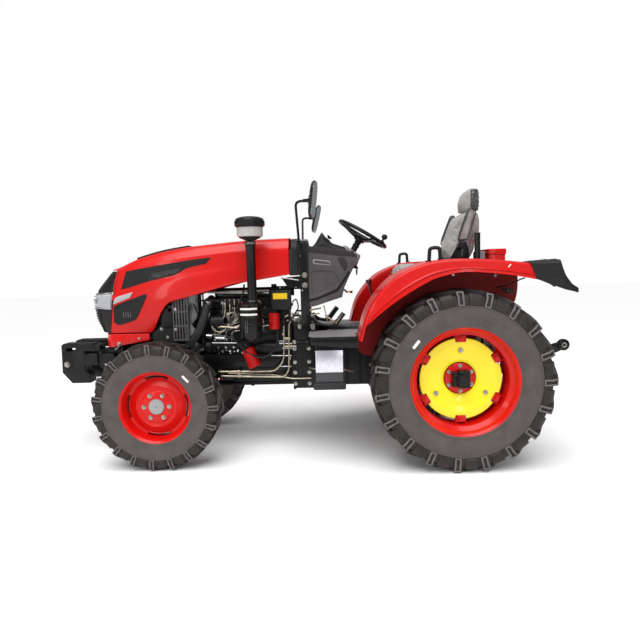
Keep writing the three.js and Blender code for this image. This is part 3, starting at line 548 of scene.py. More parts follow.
# %% Cast iron and steels
def cast_paint(name, base, other):
    material, shader, place = finish(name, base, 0.42, Specular_IOR_Level=0.28)
    cloud = mottle(material, shader, place, 55, base, other)
    vary_gloss(material, shader, cloud.outputs["Fac"], 0.32, 0.5)
    grain(material, shader, place, 2.6, 0.5, 0.45, Detail=4)
    return material


CAST = cast_paint("painted_cast_iron", "#0d0d0e", "#141415")


def steel(name, base, other, rough):
    material, shader, place = finish(name, base, rough, 1.0)
    cloud = mottle(material, shader, place, 18, base, other, (0.4, 0.62))
    vary_gloss(material, shader, cloud.outputs["Fac"], rough - 0.08, rough + 0.12)
    grain(material, shader, place, 1.6, 0.05, 0.3)
    return material


ZINC = steel("zinc_plate", "#b9b6ae", "#8f8c84", 0.36)
STEEL = steel("bare_steel", "#8b8b8c", "#6d6c6c", 0.32)
CHROME = steel("bright_plate", "#c9c9cb", "#b4b4b6", 0.14)
BRIGHT_SHEET = steel("bright_sheet", "#e6e6f0", "#dadae6", 0.3)
BRASS_PIPE = steel("zinc_pipe", "#cabfa9", "#a99f8b", 0.34)
SOOT = cast_paint("heat_dulled_steel", "#3a3533", "#514640")

# %% [markdown]
# ## Rubbers
# Tyre rubber is a brown-grey black that has bloomed dull, darker over the tread and its bars. Moulded
# seals and hose are blacker and a little glossier. None of them has a sharp reflection.

# %% Rubbers
def rubber(name, base, other, rough, size, depth):
    material, shader, place = finish(name, base, rough, Specular_IOR_Level=0.32)
    cloud = mottle(material, shader, place, size, base, other, (0.32, 0.7), 5)
    vary_gloss(material, shader, cloud.outputs["Fac"], rough - 0.06, rough + 0.1)
    grain(material, shader, place, 1.4, depth, 0.4)
    return material


TYRE = rubber("tyre_rubber", "#4a4442", "#57504d", 0.6, 90, 0.15)
LUG = rubber("lug_rubber", "#231e1c", "#302a28", 0.5, 60, 0.2)
SCUFF = rubber("scuffed_rubber", "#6f6a6b", "#5f5a5b", 0.55, 45, 0.1)
SEAL = rubber("moulded_rubber", "#232326", "#2c2c2f", 0.48, 40, 0.08)
HOSE = rubber("hose_rubber", "#1d1d1f", "#29292a", 0.42, 30, 0.05)

# %% [markdown]
# ## Plastics
# The console, trims and grille are injection moulded with a fine leather grain that scatters the light,
# so they stay matt. Bowls, caps and lamp lenses are polished moulds and stay clear and glossy.

# %% Plastics
def plastic(name, base, other, rough, pebble=1.1, depth=0.12):
    material, shader, place = finish(name, base, rough, Specular_IOR_Level=0.3)
    cloud = mottle(material, shader, place, 120, base, other)
    vary_gloss(material, shader, cloud.outputs["Fac"], rough - 0.05, rough + 0.08)
    grain(material, shader, place, pebble, depth, 0.35, "TexVoronoi")
    return material


CONSOLE = plastic("console_plastic", "#535052", "#4a4749", 0.42)
SHOULDER = plastic("console_shoulder_plastic", "#302e2f", "#2a2829", 0.4)
DARK_PLASTIC = plastic("dark_plastic", "#19191b", "#151517", 0.45)
BLACK_PLASTIC = plastic("black_plastic", "#0f0f11", "#151517", 0.38, 0.7, 0.05)
PALE_PLASTIC = plastic("pale_grey_plastic", "#8f8b92", "#858188", 0.42)
SMOOTH_YELLOW = plastic("yellow_plastic", "#e9c41e", "#dfb817", 0.4)
SMOOTH_RED = plastic("red_plastic", "#c5130f", "#b30f0c", 0.34, 0.6, 0.04)
KNOB = plastic("brown_knob_plastic", "#54201a", "#431812", 0.2, 0.6, 0.02)
WHITE_PLASTIC = plastic("white_plastic", "#e8e6e2", "#dedbd7", 0.4)


def clear(name, base, rough, through, thick=1.45):
    material, shader, place = finish(name, base, rough, Transmission_Weight=through, IOR=thick)
    haze = add(material, "TexNoise", {"Scale": per_mm(30), "Detail": 2}, {"Vector": place})
    vary_gloss(material, shader, haze.outputs["Fac"], rough, rough + 0.08)
    grain(material, shader, place, 14, 0.08, 0.2)
    return material


BOWL = clear("frosted_bowl", "#d9d6d2", 0.12, 0.35)
LENS = clear("lamp_lens", "#e4e7ea", 0.08, 0.55)
LENS_FLUTED = clear("fluted_lens", "#cfd3d6", 0.1, 0.4)
MIRROR = steel("mirror_glass", "#c4c9cc", "#bdc3c6", 0.06)

# %% [markdown]
# ## Seat covers and floor
# The seat's middle panels are a pale grey knitted fabric laid over foam, and its sides are a glossy
# vinyl with a fine hide grain. The floor is a rubber mat with a chequered face.

# %% Seat cloth, vinyl and floor mat
def knit(name, base, other, stitch=3.4):
    material, shader, place = finish(
        name, base, 0.85, Sheen_Weight=0.25, Sheen_Roughness=0.5, Specular_IOR_Level=0.25,
    )
    weave = add(
        material, "TexWave", {"Scale": per_band(stitch), "Distortion": 1.2, "Detail": 1,
                              "bands_direction": "Y"}, {"Vector": place},
    )
    cross = add(
        material, "TexWave", {"Scale": per_band(stitch) * 2, "Distortion": 1.2, "Detail": 1,
                              "bands_direction": "DIAGONAL"}, {"Vector": place},
    )
    both = add(
        material, "Math", {"operation": "MULTIPLY"}, {0: weave.outputs["Fac"], 1: cross.outputs["Fac"]}
    )
    ramp = add(material, "ValToRGB", links={"Fac": both.outputs["Value"]})
    ramp.color_ramp.elements[0].color = colour(other)
    ramp.color_ramp.elements[1].color = colour(base)
    ramp.color_ramp.elements[1].position = 0.6
    material.node_tree.links.new(ramp.outputs["Color"], shader.inputs["Base Color"])
    bump = add(material, "Bump", {"Strength": 0.5, "Distance": 0.4 * MM}, {"Height": both.outputs["Value"]})
    material.node_tree.links.new(bump.outputs["Normal"], shader.inputs["Normal"])
    return material


def hide(name, base, other, rough=0.3):
    material, shader, place = finish(name, base, rough, Coat_Weight=0.35, Coat_Roughness=0.18)
    cloud = mottle(material, shader, place, 70, base, other)
    vary_gloss(material, shader, cloud.outputs["Fac"], rough - 0.04, rough + 0.1)
    grain(material, shader, place, 2.2, 0.25, 0.4, "TexVoronoi")
    return material


SEAT_CLOTH = knit("seat_fabric", "#b3b1af", "#8e8c8b")
SEAT_VINYL = hide("seat_vinyl", "#8b8584", "#7d7877")
SEAT_PIPING = hide("piping_vinyl", "#1d1c1e", "#252426")
PIPED_VINYL = hide("black_gloss_vinyl", "#2b292b", "#3a3738", 0.2)
SEAT_SHELL = plastic("seat_shell_plastic", "#3a3a3d", "#333336", 0.45)


def chequer(name, base, other, pitch=26):
    """Short bars set alternately across and along, as on a moulded mat or rolled plate."""
    material, shader, place = finish(name, base, 0.42, Specular_IOR_Level=0.45)
    turned = add(material, "Mapping", {"Rotation": (0, 0, math.radians(45))}, {"Vector": place})
    tiles = add(material, "TexChecker", {"Scale": per_mm(pitch), "Color1": (1, 1, 1, 1), "Color2": (0, 0,
    0, 1)},
                {"Vector": turned.outputs["Vector"]})
    ribs = []
    for direction in ("X", "Y"):
        ribs.append(add(
            material, "TexWave", {"Scale": per_band(pitch / 3), "bands_direction": direction},
            {"Vector": turned.outputs["Vector"]},
        ))
    mixed = add(
        material, "Mix", {"data_type": "FLOAT"},
        {"Factor": tiles.outputs["Fac"], "A": ribs[0].outputs["Fac"], "B": ribs[1].outputs["Fac"]},
    )
    ramp = add(material, "ValToRGB", links={"Fac": mixed.outputs["Result"]})
    ramp.color_ramp.elements[0].color = colour(base)
    ramp.color_ramp.elements[1].color = colour(other)
    material.node_tree.links.new(ramp.outputs["Color"], shader.inputs["Base Color"])
    bump = add(material, "Bump", {"Strength": 0.7, "Distance": 1.2 * MM}, {"Height": mixed.outputs["Result"]})
    material.node_tree.links.new(bump.outputs["Normal"], shader.inputs["Normal"])
    return material


FLOOR_MAT = chequer("chequered_floor_mat", "#5d5a5b", "#918d8e")
print("finishes", len(bpy.data.materials))

# %% [markdown]
# ## Tyres
# A traction tyre is a round casing with a chevron of bars moulded over it. The casing is a profile spun
# about the axle. One bar is carried along its path from the middle of the tread over the shoulder and
# down the sidewall, bevelled, given the sunk panel in its end, and then copied round by a spin.

# %% Tyre casing, bars and pads
LUG_COUNT = 19
REAR_TYRE = {"radius": REAR_R, "rim": 356, "lip": 372, "half": 157.5, "y": REAR_Y, "x": 0}
FRONT_TYRE = {"radius": FRONT_R, "rim": 254, "lip": 262, "half": 105.5, "y": FRONT_Y, "x": WHEELBASE}


def on_tyre(tyre, r, y):
    """A radius and offset of the rear tyre carried to this tyre's own proportions."""
    share = (r - 356) / (620 - 356)
    return tyre["rim"] + share * (tyre["radius"] - tyre["rim"]), y * tyre["half"] / 157.5


def tyre_casing(bm, tyre):
    lip, half = tyre["lip"], tyre["half"]
    side = [(lip - 14, half * 0.84), (lip - 3, half * 0.93), (lip + 4, half * 0.955)]
    side += [on_tyre(tyre, r, y) for r, y in (
        (388, 147), (391, 149.5), (396, 149.5), (399, 149), (412, 152.5), (440, 157), (470, 158.5), (
            496, 156.5
        ),
        (503, 155.5), (505, 158), (511, 158), (
            513, 155.5
        ), (530, 156), (560, 152), (580, 142), (590, 120), (593, 80),
        (595, 0),
    )]
    profile = side + [(r, -y) for r, y in reversed(side[:-1])]
    inner = [(lip - 16, -half * 0.8), (lip - 16, half * 0.8)]
    loop = profile + inner + profile[:1]
    spun(bm, loop, (tyre["x"], tyre["y"], tyre["radius"]), steps=96)
    clean(bm)
    shoulder = on_tyre(tyre, 513, 0)[0]
    for face in bm.faces:
        place = face.calc_center_median()
        if math.hypot(place.x - tyre["x"], place.z - tyre["radius"]) > shoulder:
            face.material_index = 1


LUG_PATH = [
    # along the tread, across, top radius, root radius, root across, half width
    (150, -9, 620, 586, -9, 20),
    (112, 36, 620, 586, 36, 21),
    (64, 79, 619, 586, 79, 22),
    (26, 110, 617, 584, 104, 23),
    (9, 131, 615, 580, 120, 24),
    (2, 151, 610, 566, 138, 24),
    (-2, 162, 576, 545, 149, 24),
    (-4, 163, 513, 512, 152, 25),
]


def tyre_lug(bm, tyre, side):
    """One bar on one side, at the top of the tyre."""
    across = [p[1] for p in LUG_PATH]
    along = [p[0] for p in LUG_PATH]
    sections = []
    for i, (c, y, top, root, root_y, half) in enumerate(LUG_PATH):
        a, b = max(i - 1, 0), min(i + 1, len(LUG_PATH) - 1)
        on_tread = i < 4
        path = Vector((along[b] - along[a], across[b] - across[a])) if on_tread else Vector((0, 1))
        wide = Vector((path.y, -path.x)).normalized()
        section = []
        for radius, offset, width in (
            (root, root_y, -half - 7), (top, y, -half), (top, y, half), (root, root_y, half + 7),
        ):
            turn = (c + wide.x * width) / 600
            r, y_here = on_tyre(tyre, radius, offset + wide.y * width)
            section.append((
                tyre["x"] + math.sin(turn) * r, tyre["y"] + side * y_here, tyre[
                    "radius"
                ] + math.cos(turn) * r,
            ))
        sections.append(section)
    verts = sweep(bm, sections)
    bm.faces.ensure_lookup_table()
    end_panel = []
    for i in (5, 6):
        ring = {verts[4 * i + 1], verts[4 * i + 2], verts[4 * i + 5], verts[4 * i + 6]}
        end_panel += [f for f in bm.faces if set(f.verts) == ring]
    bmesh.ops.recalc_face_normals(bm, faces=bm.faces[:])
    for face in end_panel:
        face.material_index = 1
    bmesh.ops.inset_region(bm, faces=end_panel, thickness=15 * tyre["half"] / 157.5, depth=0)
    for face in end_panel:
        face.material_index = 0
    bmesh.ops.inset_region(bm, faces=end_panel, thickness=1.5, depth=-9 * tyre["half"] / 157.5)
    soften(bm, 3.2 * tyre["half"] / 157.5, 2, 34)


def tyre_pad(bm, tyre, side):
    """The raised shoulder pad between two bars, with an oval moulded on it."""
    outline = [
        (515, 148), (518, 160), (532, 164), (556, 162), (578, 155), (596, 140), (598, 112), (572, 126),
        (536, 144)
    ]
    start, end = 0.085, math.tau / LUG_COUNT - 0.098
    sections = []
    for i in range(5):
        turn = start + (end - start) * i / 4
        section = []
        for r, y in outline:
            r, y = on_tyre(tyre, r, y)
            section.append((
                tyre["x"] + math.sin(turn) * r, tyre["y"] + side * y, tyre["radius"] + math.cos(turn) * r,
            ))
        sections.append(section)
    sweep(bm, sections)
    soften(bm, 3, 1, 40)
    rings = []
    for k in range(16):
        a = math.tau * k / 16
        ring = []
        for j in range(4):
            b = math.tau * j / 4 + 0.8
            reach = 1 + 0.16 * math.cos(b)
            turn = (start + end) / 2 + math.sin(a) * 0.045 * reach
            r, y = on_tyre(
                tyre, 547 + math.cos(a) * 11 * reach, 160.5 - math.cos(a) * 2.6 + 2.2 * math.sin(b)
            )
            ring.append((
                tyre["x"] + math.sin(turn) * r, tyre["y"] + side * y, tyre["radius"] + math.cos(turn) * r,
            ))
        rings.append(ring)
    sweep(bm, rings, closed=True)


def all_round(bm, count, centre, start=0.0):
    """Repeats everything in the bmesh count times about an axle along Y."""
    turn_about(bm, bm.verts[:], centre, "Y", start)
    bmesh.ops.spin(
        bm, geom=bm.verts[:] + bm.edges[:] + bm.faces[:], cent=centre, axis=(0, 1, 0),
        angle=math.tau * (count - 1) / count, steps=count - 1, use_duplicate=True,
    )


def tyre_tread(bm, tyre):
    centre = (tyre["x"], tyre["y"], tyre["radius"])
    pitch = 360 / LUG_COUNT
    for side, start in ((1, 4.0), (-1, 4.0 + pitch / 2)):
        for build in (tyre_lug, tyre_pad):
            one = bmesh.new()
            build(one, tyre, side)
            bmesh.ops.recalc_face_normals(one, faces=one.faces[:])
            all_round(one, LUG_COUNT, centre, start)
            holder = bpy.data.meshes.new("tread_part")
            one.to_mesh(holder)
            one.free()
            bm.from_mesh(holder)
            bpy.data.meshes.remove(holder)


for tyre, name in ((REAR_TYRE, "rear"), (FRONT_TYRE, "front")):
    both_sides(
        lambda bm: tyre_casing(bm, tyre), name + "_tyre_casing_{}", [TYRE, LUG], name + "_wheel_{}",
        [name + "_tyre_{}"],
    )
    both_sides(
        lambda bm: tyre_tread(bm, tyre), name + "_tyre_bars_{}", [
            LUG, SCUFF
        ], name + "_wheel_{}", [],
    )


def tyre_label(bm, tyre, radius, degrees, length, width):
    """A plain paper label stuck on the sidewall, running along it."""
    r, y = on_tyre(tyre, radius, 156)
    mm_box(bm, (-length / 2, length / 2), (y - 1, y + 1.6), (r - width / 2, r + width / 2))
    soften(bm, 0.6, 1)
    turn_about(bm, bm.verts[:], (0, 0, 0), "Y", degrees)
    bmesh.ops.translate(bm, verts=bm.verts[:], vec=(tyre["x"], tyre["y"], tyre["radius"]))


for tyre, name, place in (
    (REAR_TYRE, "rear", (422, 51, 65, 20)), (FRONT_TYRE, "front", (424, -48, 60, 16)),
):
    single(
        lambda bm: tyre_label(bm, tyre, *place), name + "_tyre_label", WHITE_PLASTIC, name + "_wheel_left",
        [],
    )
print("tyres", {n: c for n, c in made_pieces.items() if "tyre" in n})

# %% [markdown]
# ## Rims
# A rim is rolled from strip: a rounded lip, the seat for the bead and a well in the middle. The rear one
# is held to its disc by six clamps, so the disc can be set in or out to change the track. Both are a
# closed profile spun about the axle; the clamps are pressed lugs with a bolt each.

# %% Rims and clamps
def rim_profile(lip, half, deep):
    side = [
        (lip - 2, half + 5), (lip + 3, half + 2), (lip + 3, half - 3), (lip - 6, half - 6), (
            lip - 18, half - 12
        ),
        (lip - 22, half - 40), (lip - deep, half - 62),
    ]
    outer = side + [(r, -y) for r, y in reversed(side)]
    wall = [(r - 7, y * 0.985) for r, y in side[3:]]
    front = [(lip - 8, half + 6), (lip - 13, half + 1), (lip - 20, half - 6)]
    inner = [(r, -y) for r, y in front] + [(r, -y) for r, y in wall[1:]]
    inner += list(reversed(wall[1:])) + list(reversed(front))
    return outer + inner + outer[:1]


def rear_rim(bm):
    """A rear wheel's red rim, spun about its axle, and the lugs that carry its disc."""
    centre = (0, REAR_Y, REAR_R)
    spun(bm, rim_profile(372, 141, 50), centre, steps=96)
    clean(bm)
    lugs = bmesh.new()
    plate(lugs, [(-46, 316), (-38, 276), (-30, 262), (30, 262), (38, 276), (46, 316)], -16, -2)
    mm_box(lugs, (-34, -26), (-2, 22), (268, 312))
    mm_box(lugs, (26, 34), (-2, 22), (268, 312))
    soften(lugs, 2.5, 2)
    mm_box(lugs, (-24, 24), (12, 24), (256, 300))
    bolt(lugs, (0, 24, 280), (0, 1, 0), 24, 16, 1.5)
    bmesh.ops.translate(lugs, verts=lugs.verts[:], vec=centre)
    bmesh.ops.recalc_face_normals(lugs, faces=lugs.faces[:])
    all_round(lugs, 6, centre)
    holder = bpy.data.meshes.new("clamps")
    lugs.to_mesh(holder)
    lugs.free()
    bm.from_mesh(holder)
    bpy.data.meshes.remove(holder)


def front_rim(bm):
    centre = (WHEELBASE, FRONT_Y, FRONT_R)
    spun(bm, rim_profile(262, 90, 34), centre, steps=80)
    clean(bm)


both_sides(rear_rim, "rear_rim_band_{}", RED, "rear_wheel_{}", ["rear_rim_{}"])
both_sides(front_rim, "front_rim_band_{}", RED, "front_wheel_{}", ["front_rim_{}"])

# %% [markdown]
# ## Wheel discs
# The discs are pressed from thick plate. The yellow rear one is a shallow dish with six notches for the
# clamps; the front one has rings pressed in it and open slots at its edge where it is not welded. An
# outline that changes round the axle is carried round as sections, so the notches are real steps.

# %% Discs
def disc_round(bm, centre, profile, outer_at, angles):
    """Carries a profile round; outer_at limits its radius at each angle in degrees."""
    sections = []
    for degrees in angles:
        turn = math.radians(degrees)
        reach = outer_at(degrees)
        sections.append([
            (
                centre[0] + math.sin(turn) * min(r, reach), centre[1] + y,
                centre[2] + math.cos(turn) * min(r, reach) ,
            )
            for r, y in profile
        ])
    sweep(bm, sections, closed=True)


def step_angles(parts, half_gap, between):
    """Angles that double up at the two edges of each gap."""
    pitch = 360 / parts
    angles = []
    for k in range(parts):
        middle_angle = k * pitch
        angles += [middle_angle - half_gap - 0.15, middle_angle - half_gap + 0.15]
        angles += [middle_angle + half_gap * i / 4 for i in range(-3, 4)]
        angles += [middle_angle + half_gap - 0.15, middle_angle + half_gap + 0.15]
        span = pitch - 2 * half_gap
        angles += [middle_angle + half_gap + span * i / between for i in range(1, between)]
    return angles


def rear_disc(bm):
    front = [
        (112, -18), (118, -12), (136, -7), (190, 0), (220, 5), (228, 9), (236, 10.5), (279, 10.5),
        (283, 8)
    ]
    back = [(283, 1), (236, 1), (226, -1), (190, -9), (136, -17), (118, -21), (112, -22)]

    def reach(degrees):
        return 258 if abs((degrees + 30) % 60 - 30) < 8 else 300

    disc_round(bm, (0, REAR_Y, REAR_R), front + back, reach, step_angles(6, 8, 8))
    for k in range(3):
        pad = drum(bm, (0, REAR_Y - 2, REAR_R + 198), (0, REAR_Y + 9, REAR_R + 198), 26, 20, 28)
        turn_about(bm, pad, (0, REAR_Y, REAR_R), "Y", k * 120)


def front_disc(bm):
    front = [
        (50, 52), (108, 52), (114, 49), (118, 43), (137, 42), (141, 46), (147, 46), (151, 41), (182, 30),
        (192, 20), (200, 17), (226, 21), (236, 27),
    ]
    back = [(r, y - 8) for r, y in reversed(front)]

    def reach(degrees):
        return 205 if abs((degrees + 45) % 90 - 45) < 22 else 300

    disc_round(bm, (WHEELBASE, FRONT_Y, FRONT_R), front + back, reach, step_angles(4, 22, 8))


def rear_hub(bm):
    centre = Vector((0, REAR_Y, REAR_R))
    spun(bm, [(0, -46), (60, -46), (106, -40), (106, -12), (100, -8), (60, -6), (0, -6)], centre, 56)
    clean(bm)


def rear_hub_black(bm):
    y, z = REAR_Y, REAR_R
    drum(bm, (0, y - 112, z), (0, y - 40, z), 30)
    mm_box(bm, (-56, 22), (y - 6, y + 54), (z - 60, z + 60))
    mm_box(bm, (28, 56), (y - 6, y + 46), (z - 52, z + 44))
    mm_box(bm, (-14, 62), (y + 10, y + 50), (z - 30, z + 34))
    soften(bm, 6, 3)
    for dz in (-42, 42):
        drum(bm, (-30, y + 24, z + dz), (54, y + 24, z + dz), 9, segments=16)
        bolt(bm, (56, y + 24, z + dz), (1, 0, 0), 20, 12)
    drum(bm, (0, y, z), (0, y + 74, z), 34, segments=32)
    drum(bm, (0, y + 74, z), (0, y + 82, z), 32, 26, segments=32)
    drum(bm, (0, y + 60, z), (0, y + 70, z), 40, segments=32)


def front_hub(bm):
    centre = (WHEELBASE, FRONT_Y, FRONT_R)
    spun(bm, [(0, -2), (60, -2), (82, 10), (82, 44), (0, 44)], centre, 40)
    clean(bm)
    drum(bm, (WHEELBASE, FRONT_Y - 50, FRONT_R), (WHEELBASE, FRONT_Y + 4, FRONT_R), 28)


def front_cap(bm):
    centre = (WHEELBASE, FRONT_Y, FRONT_R)
    spun(bm, [(0, 40), (55, 40), (55, 58), (52, 62), (30, 64), (6, 64), (4, 60), (0, 60)], centre, 48)
    clean(bm)


def ring_bolts(bm, centre, count, circle, size, height):
    for k in range(count):
        turn = math.tau * k / count
        at_bolt = (centre[0] + math.sin(turn) * circle, centre[1], centre[2] + math.cos(turn) * circle)
        bolt(bm, at_bolt, (0, 1, 0), size, height, 1.45)
        drum(bm, at_bolt, (at_bolt[0], at_bolt[1] + height + 5, at_bolt[2]), size * 0.3, segments=12)


def rear_bolts(bm):
    ring_bolts(bm, (0, REAR_Y - 7, REAR_R), 6, 89, 19, 10)
    ring_bolts(bm, (0, REAR_Y + 8, REAR_R), 3, 198, 24, 10)


def front_bolts(bm):
    ring_bolts(bm, (WHEELBASE, FRONT_Y + 51, FRONT_R), 6, 90, 22, 10)
    turn_about(bm, bm.verts[:], (WHEELBASE, FRONT_Y, FRONT_R), "Y", 30)


both_sides(rear_disc, "rear_wheel_disc_{}", YELLOW, "rear_wheel_{}", ["rear_disc_{}"])
both_sides(rear_hub, "rear_hub_flange_{}", RED, "rear_wheel_{}", [])
both_sides(rear_hub_black, "rear_axle_clamp_{}", CAST, "rear_wheel_{}", [])
both_sides(rear_bolts, "rear_wheel_bolts_{}", ZINC, "rear_wheel_{}", [])
both_sides(front_disc, "front_wheel_disc_{}", RED, "front_wheel_{}", [])
both_sides(front_hub, "front_hub_{}", RED, "front_wheel_{}", [])
both_sides(front_cap, "front_hub_cap_{}", SILVER_PAINT, "front_wheel_{}", [])
both_sides(front_bolts, "front_wheel_bolts_{}", ZINC, "front_wheel_{}", [])
print("wheels done", sum(made_pieces.values()), "faces")

# %% [markdown]
# ## Hood shell
# The hood is one sheet pressed over a nose that narrows and drops, with a sharp shoulder line and a
# shallow character line along the side. It is drawn as a grid of stations along it and heights up its
# side, so that the lower edge can sweep down round the radiator, and then given its sheet thickness.

# %% Hood surface
HOOD_STATIONS = [
    # along, half width, shoulder, top
    (1184, 300, 1565, 1640), (1522, 300, 1549, 1631), (1953, 296, 1507, 1594), (2156, 288, 1479, 1563),
    (2379, 274, 1440, 1506), (2484, 266, 1427, 1464), (2580, 254, 1418, 1420),
]
HOOD_EDGE = [
    (1184, 1360), (1396, 1329), (1613, 1297), (1758, 1262), (1903, 1223), (2049, 1188), (2100, 1172),
    (2130, 1145), (2170, 1083), (2206, 1008), (2226, 966), (2251, 946), (2600, 946),
]
HOOD_LINE = [(1184, 1466), (1627, 1424), (1950, 1376), (2096, 1343), (2308, 1288), (2600, 1188)]


def between(points, x, column=1):
    """A value read off a run of points at a place along it."""
    for a, b in zip(points, points[1:]):
        if x <= b[0]:
            share = max(0.0, (x - a[0]) / (b[0] - a[0]))
            return a[column] + (b[column] - a[column]) * share
    return points[-1][column]


def smooth(points, x, column=1, reach=60):
    """The same, rounded over a reach so that presses show no corners."""
    return sum(between(points, x + reach * k / 3, column) for k in range(-3, 4)) / 7


def hood_front(z):
    return 2555 - 0.000286 * (z - 950) ** 2 - 0.06 * (z - 950)


def hood_half(x):
    return smooth(HOOD_STATIONS, x, 1, 90)


NOSE_ROWS = [(930, 2650), (947, 2660), (1000, 2698), (1052, 2724), (1110, 2732), (1160, 2736), (1220, 2732),
             (1276, 2700), (1340, 2642), (1404, 2580), (1430, 2562)]


def nose_x(y, z):
    """How far forward the nose reaches at a place across it and a height."""
    edge = hood_front(z) + 0.8
    half = hood_half(min(edge, 2580))
    return edge + (smooth(NOSE_ROWS, z, 1, 30) - edge) * (1 - min(1.0, abs(y) / half) ** 4)


def hood_y(x, z):
    """Half width of the hood's side at a place, with its character line."""
    line = smooth(HOOD_LINE, x)
    fade = min(1.0, max(0.0, (x - 1350) / 400))
    ease = 1 / (1 + math.exp(-(line - z) / 9))
    swell = 7 * ease * fade - 3 * (1 - ease) * fade
    below = max(0.0, (line - z)) / 250
    return hood_half(x) + swell - 10 * below * below * fade


HOOD_COLUMNS = [
    1184, 1200, 1300, 1396, 1505, 1613, 1685, 1758, 1830, 1903, 1975, 2030, 2060, 2085, 2105, 2125, 2145,
    2165, 2185, 2205, 2220, 2235, 2251, 2290, 2330, 2379, 2420, 2450, 2484, 2515, 2545, 2565, 2580,
]


def hood_half_section(x):
    """Points from the lower edge up the side, over the shoulder to the middle of the top."""
    low = between(HOOD_EDGE, x)
    line = smooth(HOOD_LINE, x)
    shoulder = smooth(HOOD_STATIONS, x, 2, 80)
    top = smooth(HOOD_STATIONS, x, 3, 80)
    half = hood_half(x)
    line = max(line, low + 40)
    heights = [
        low, low + 3, low + 10, low + (line - low) * 0.35, low + (line - low) * 0.7, line - 22, line - 8
    ]
    heights += [line + 4, line + 18, line + (shoulder - line) * 0.55, shoulder - 12, shoulder - 3]
    points = [(hood_y(x, z) - (5 if i == 0 else 1.5 if i == 1 else 0), z) for i, z in enumerate(heights)]
    points[-1] = (half - 4, shoulder - 1)
    rise = top - shoulder
    points += [
        (half - 8, shoulder + 4), (half - 24, shoulder + rise * 0.42), (half - 44, shoulder + rise * 0.72),
        (
            half - 62, shoulder + rise * 0.86
        ), (half - 95, top - 6), (150, top - 1), (80, top + 1), (0, top + 2),
    ]
    return points


def hood_point(x, y, z):
    """Draws the columns at the nose back to the curved front edge."""
    if x > 2330:
        moved = 2330 + (x - 2330) * (nose_x(y, z) - 2330) / 250
        y *= hood_half(moved) / hood_half(x)
        x = moved
    return (x, y, z)


def hood_shell(bm):
    lines = []
    for x in HOOD_COLUMNS:
        half_section = hood_half_section(x)
        full = half_section + [(-y, z) for y, z in reversed(half_section[:-1])]
        lines.append([hood_point(x, y, z) for y, z in full])
    skin(bm, lines)
    bmesh.ops.recalc_face_normals(bm, faces=bm.faces[:])
    lower = min(bm.faces, key=lambda f: -f.calc_center_median().z)
    if lower.normal.z < 0:
        bmesh.ops.reverse_faces(bm, faces=bm.faces[:])
    bmesh.ops.solidify(bm, geom=bm.faces[:], thickness=4)
    bmesh.ops.recalc_face_normals(bm, faces=bm.faces[:])


hood_bm = bmesh.new()
hood_shell(hood_bm)
for k in (-1, 1):
    drum(hood_bm, (1186, k * 96, 1624), (1186, k * 126, 1624), 10.5)
settle(hood_bm, "hood_shell", RED, "hood", ["hood"], 24, tidy=False)
print("hood shell", made_pieces["hood_shell"])

# %% [markdown]
# ## Trims let into the hood
# Black moulded trims sit flush in pressed openings on each side, and a slatted vent lies in the top. An
# inlay follows the hood's own surface: pairs of points along its lower and upper edge are laid on the
# side and carried along as closed sections, a little proud, with their edges rounded.

# %% Inlays on the hood's side
def resample(points, count):
    """Equally many places along a run of (x, z) points, by length."""
    lengths = [0.0]
    for a, b in zip(points, points[1:]):
        lengths.append(lengths[-1] + math.dist(a, b))
    places = []
    for i in range(count):
        goal = lengths[-1] * i / (count - 1)
        k = next(j for j in range(1, len(lengths)) if lengths[j] >= goal - 1e-9)
        share = (goal - lengths[k - 1]) / max(1e-9, lengths[k] - lengths[k - 1])
        a, b = points[k - 1], points[k]
        places.append((a[0] + (b[0] - a[0]) * share, a[1] + (b[1] - a[1]) * share))
    return places


def inlay(bm, lower, upper, out=1.5, depth=6, count=18, rows=4):
    """A panel between a lower and an upper line, lying on the hood's side."""
    sections = []
    for (xa, za), (xb, zb) in zip(resample(lower, count), resample(upper, count)):
        outer = []
        for j in range(rows + 1):
            x, z = xa + (xb - xa) * j / rows, za + (zb - za) * j / rows
            outer.append((x, z))
        ring = [(x, hood_y(x, z) + out, z) for x, z in outer]
        ring += [(x, hood_y(x, z) - depth, z) for x, z in reversed(outer)]
        sections.append(ring)
    return sweep(bm, sections)


UPPER_LOW = [(2459, 1280), (2234, 1342), (2060, 1377), (2016, 1388), (1988, 1418), (1930, 1436), (1805, 1460)]
UPPER_HIGH = [(2414, 1411), (2250, 1437), (2060, 1464), (1900, 1486), (1766, 1500)]
LOWER_LOW = [(2531, 1033), (2498, 1008), (2420, 1030), (2359, 1050), (2310, 1140), (2267, 1221)]
LOWER_HIGH = [(2524, 1147), (2502, 1160), (2420, 1188), (2340, 1216), (2270, 1239)]
STRIP_LOW = [(2532, 1166), (2470, 1187), (2395, 1215)]
STRIP_HIGH = [(2511, 1216), (2487, 1228), (2369, 1258)]
MESH_LOW = [(2238, 1350), (2125, 1372), (2040, 1388), (2012, 1400)]
MESH_HIGH = [(2214, 1394), (2110, 1412), (2003, 1428)]


def trim_panel(bm, low, high, out, depth=6, ease=2.2):
    inlay(bm, low, high, out, depth)
    soften(bm, ease, 2, 50)


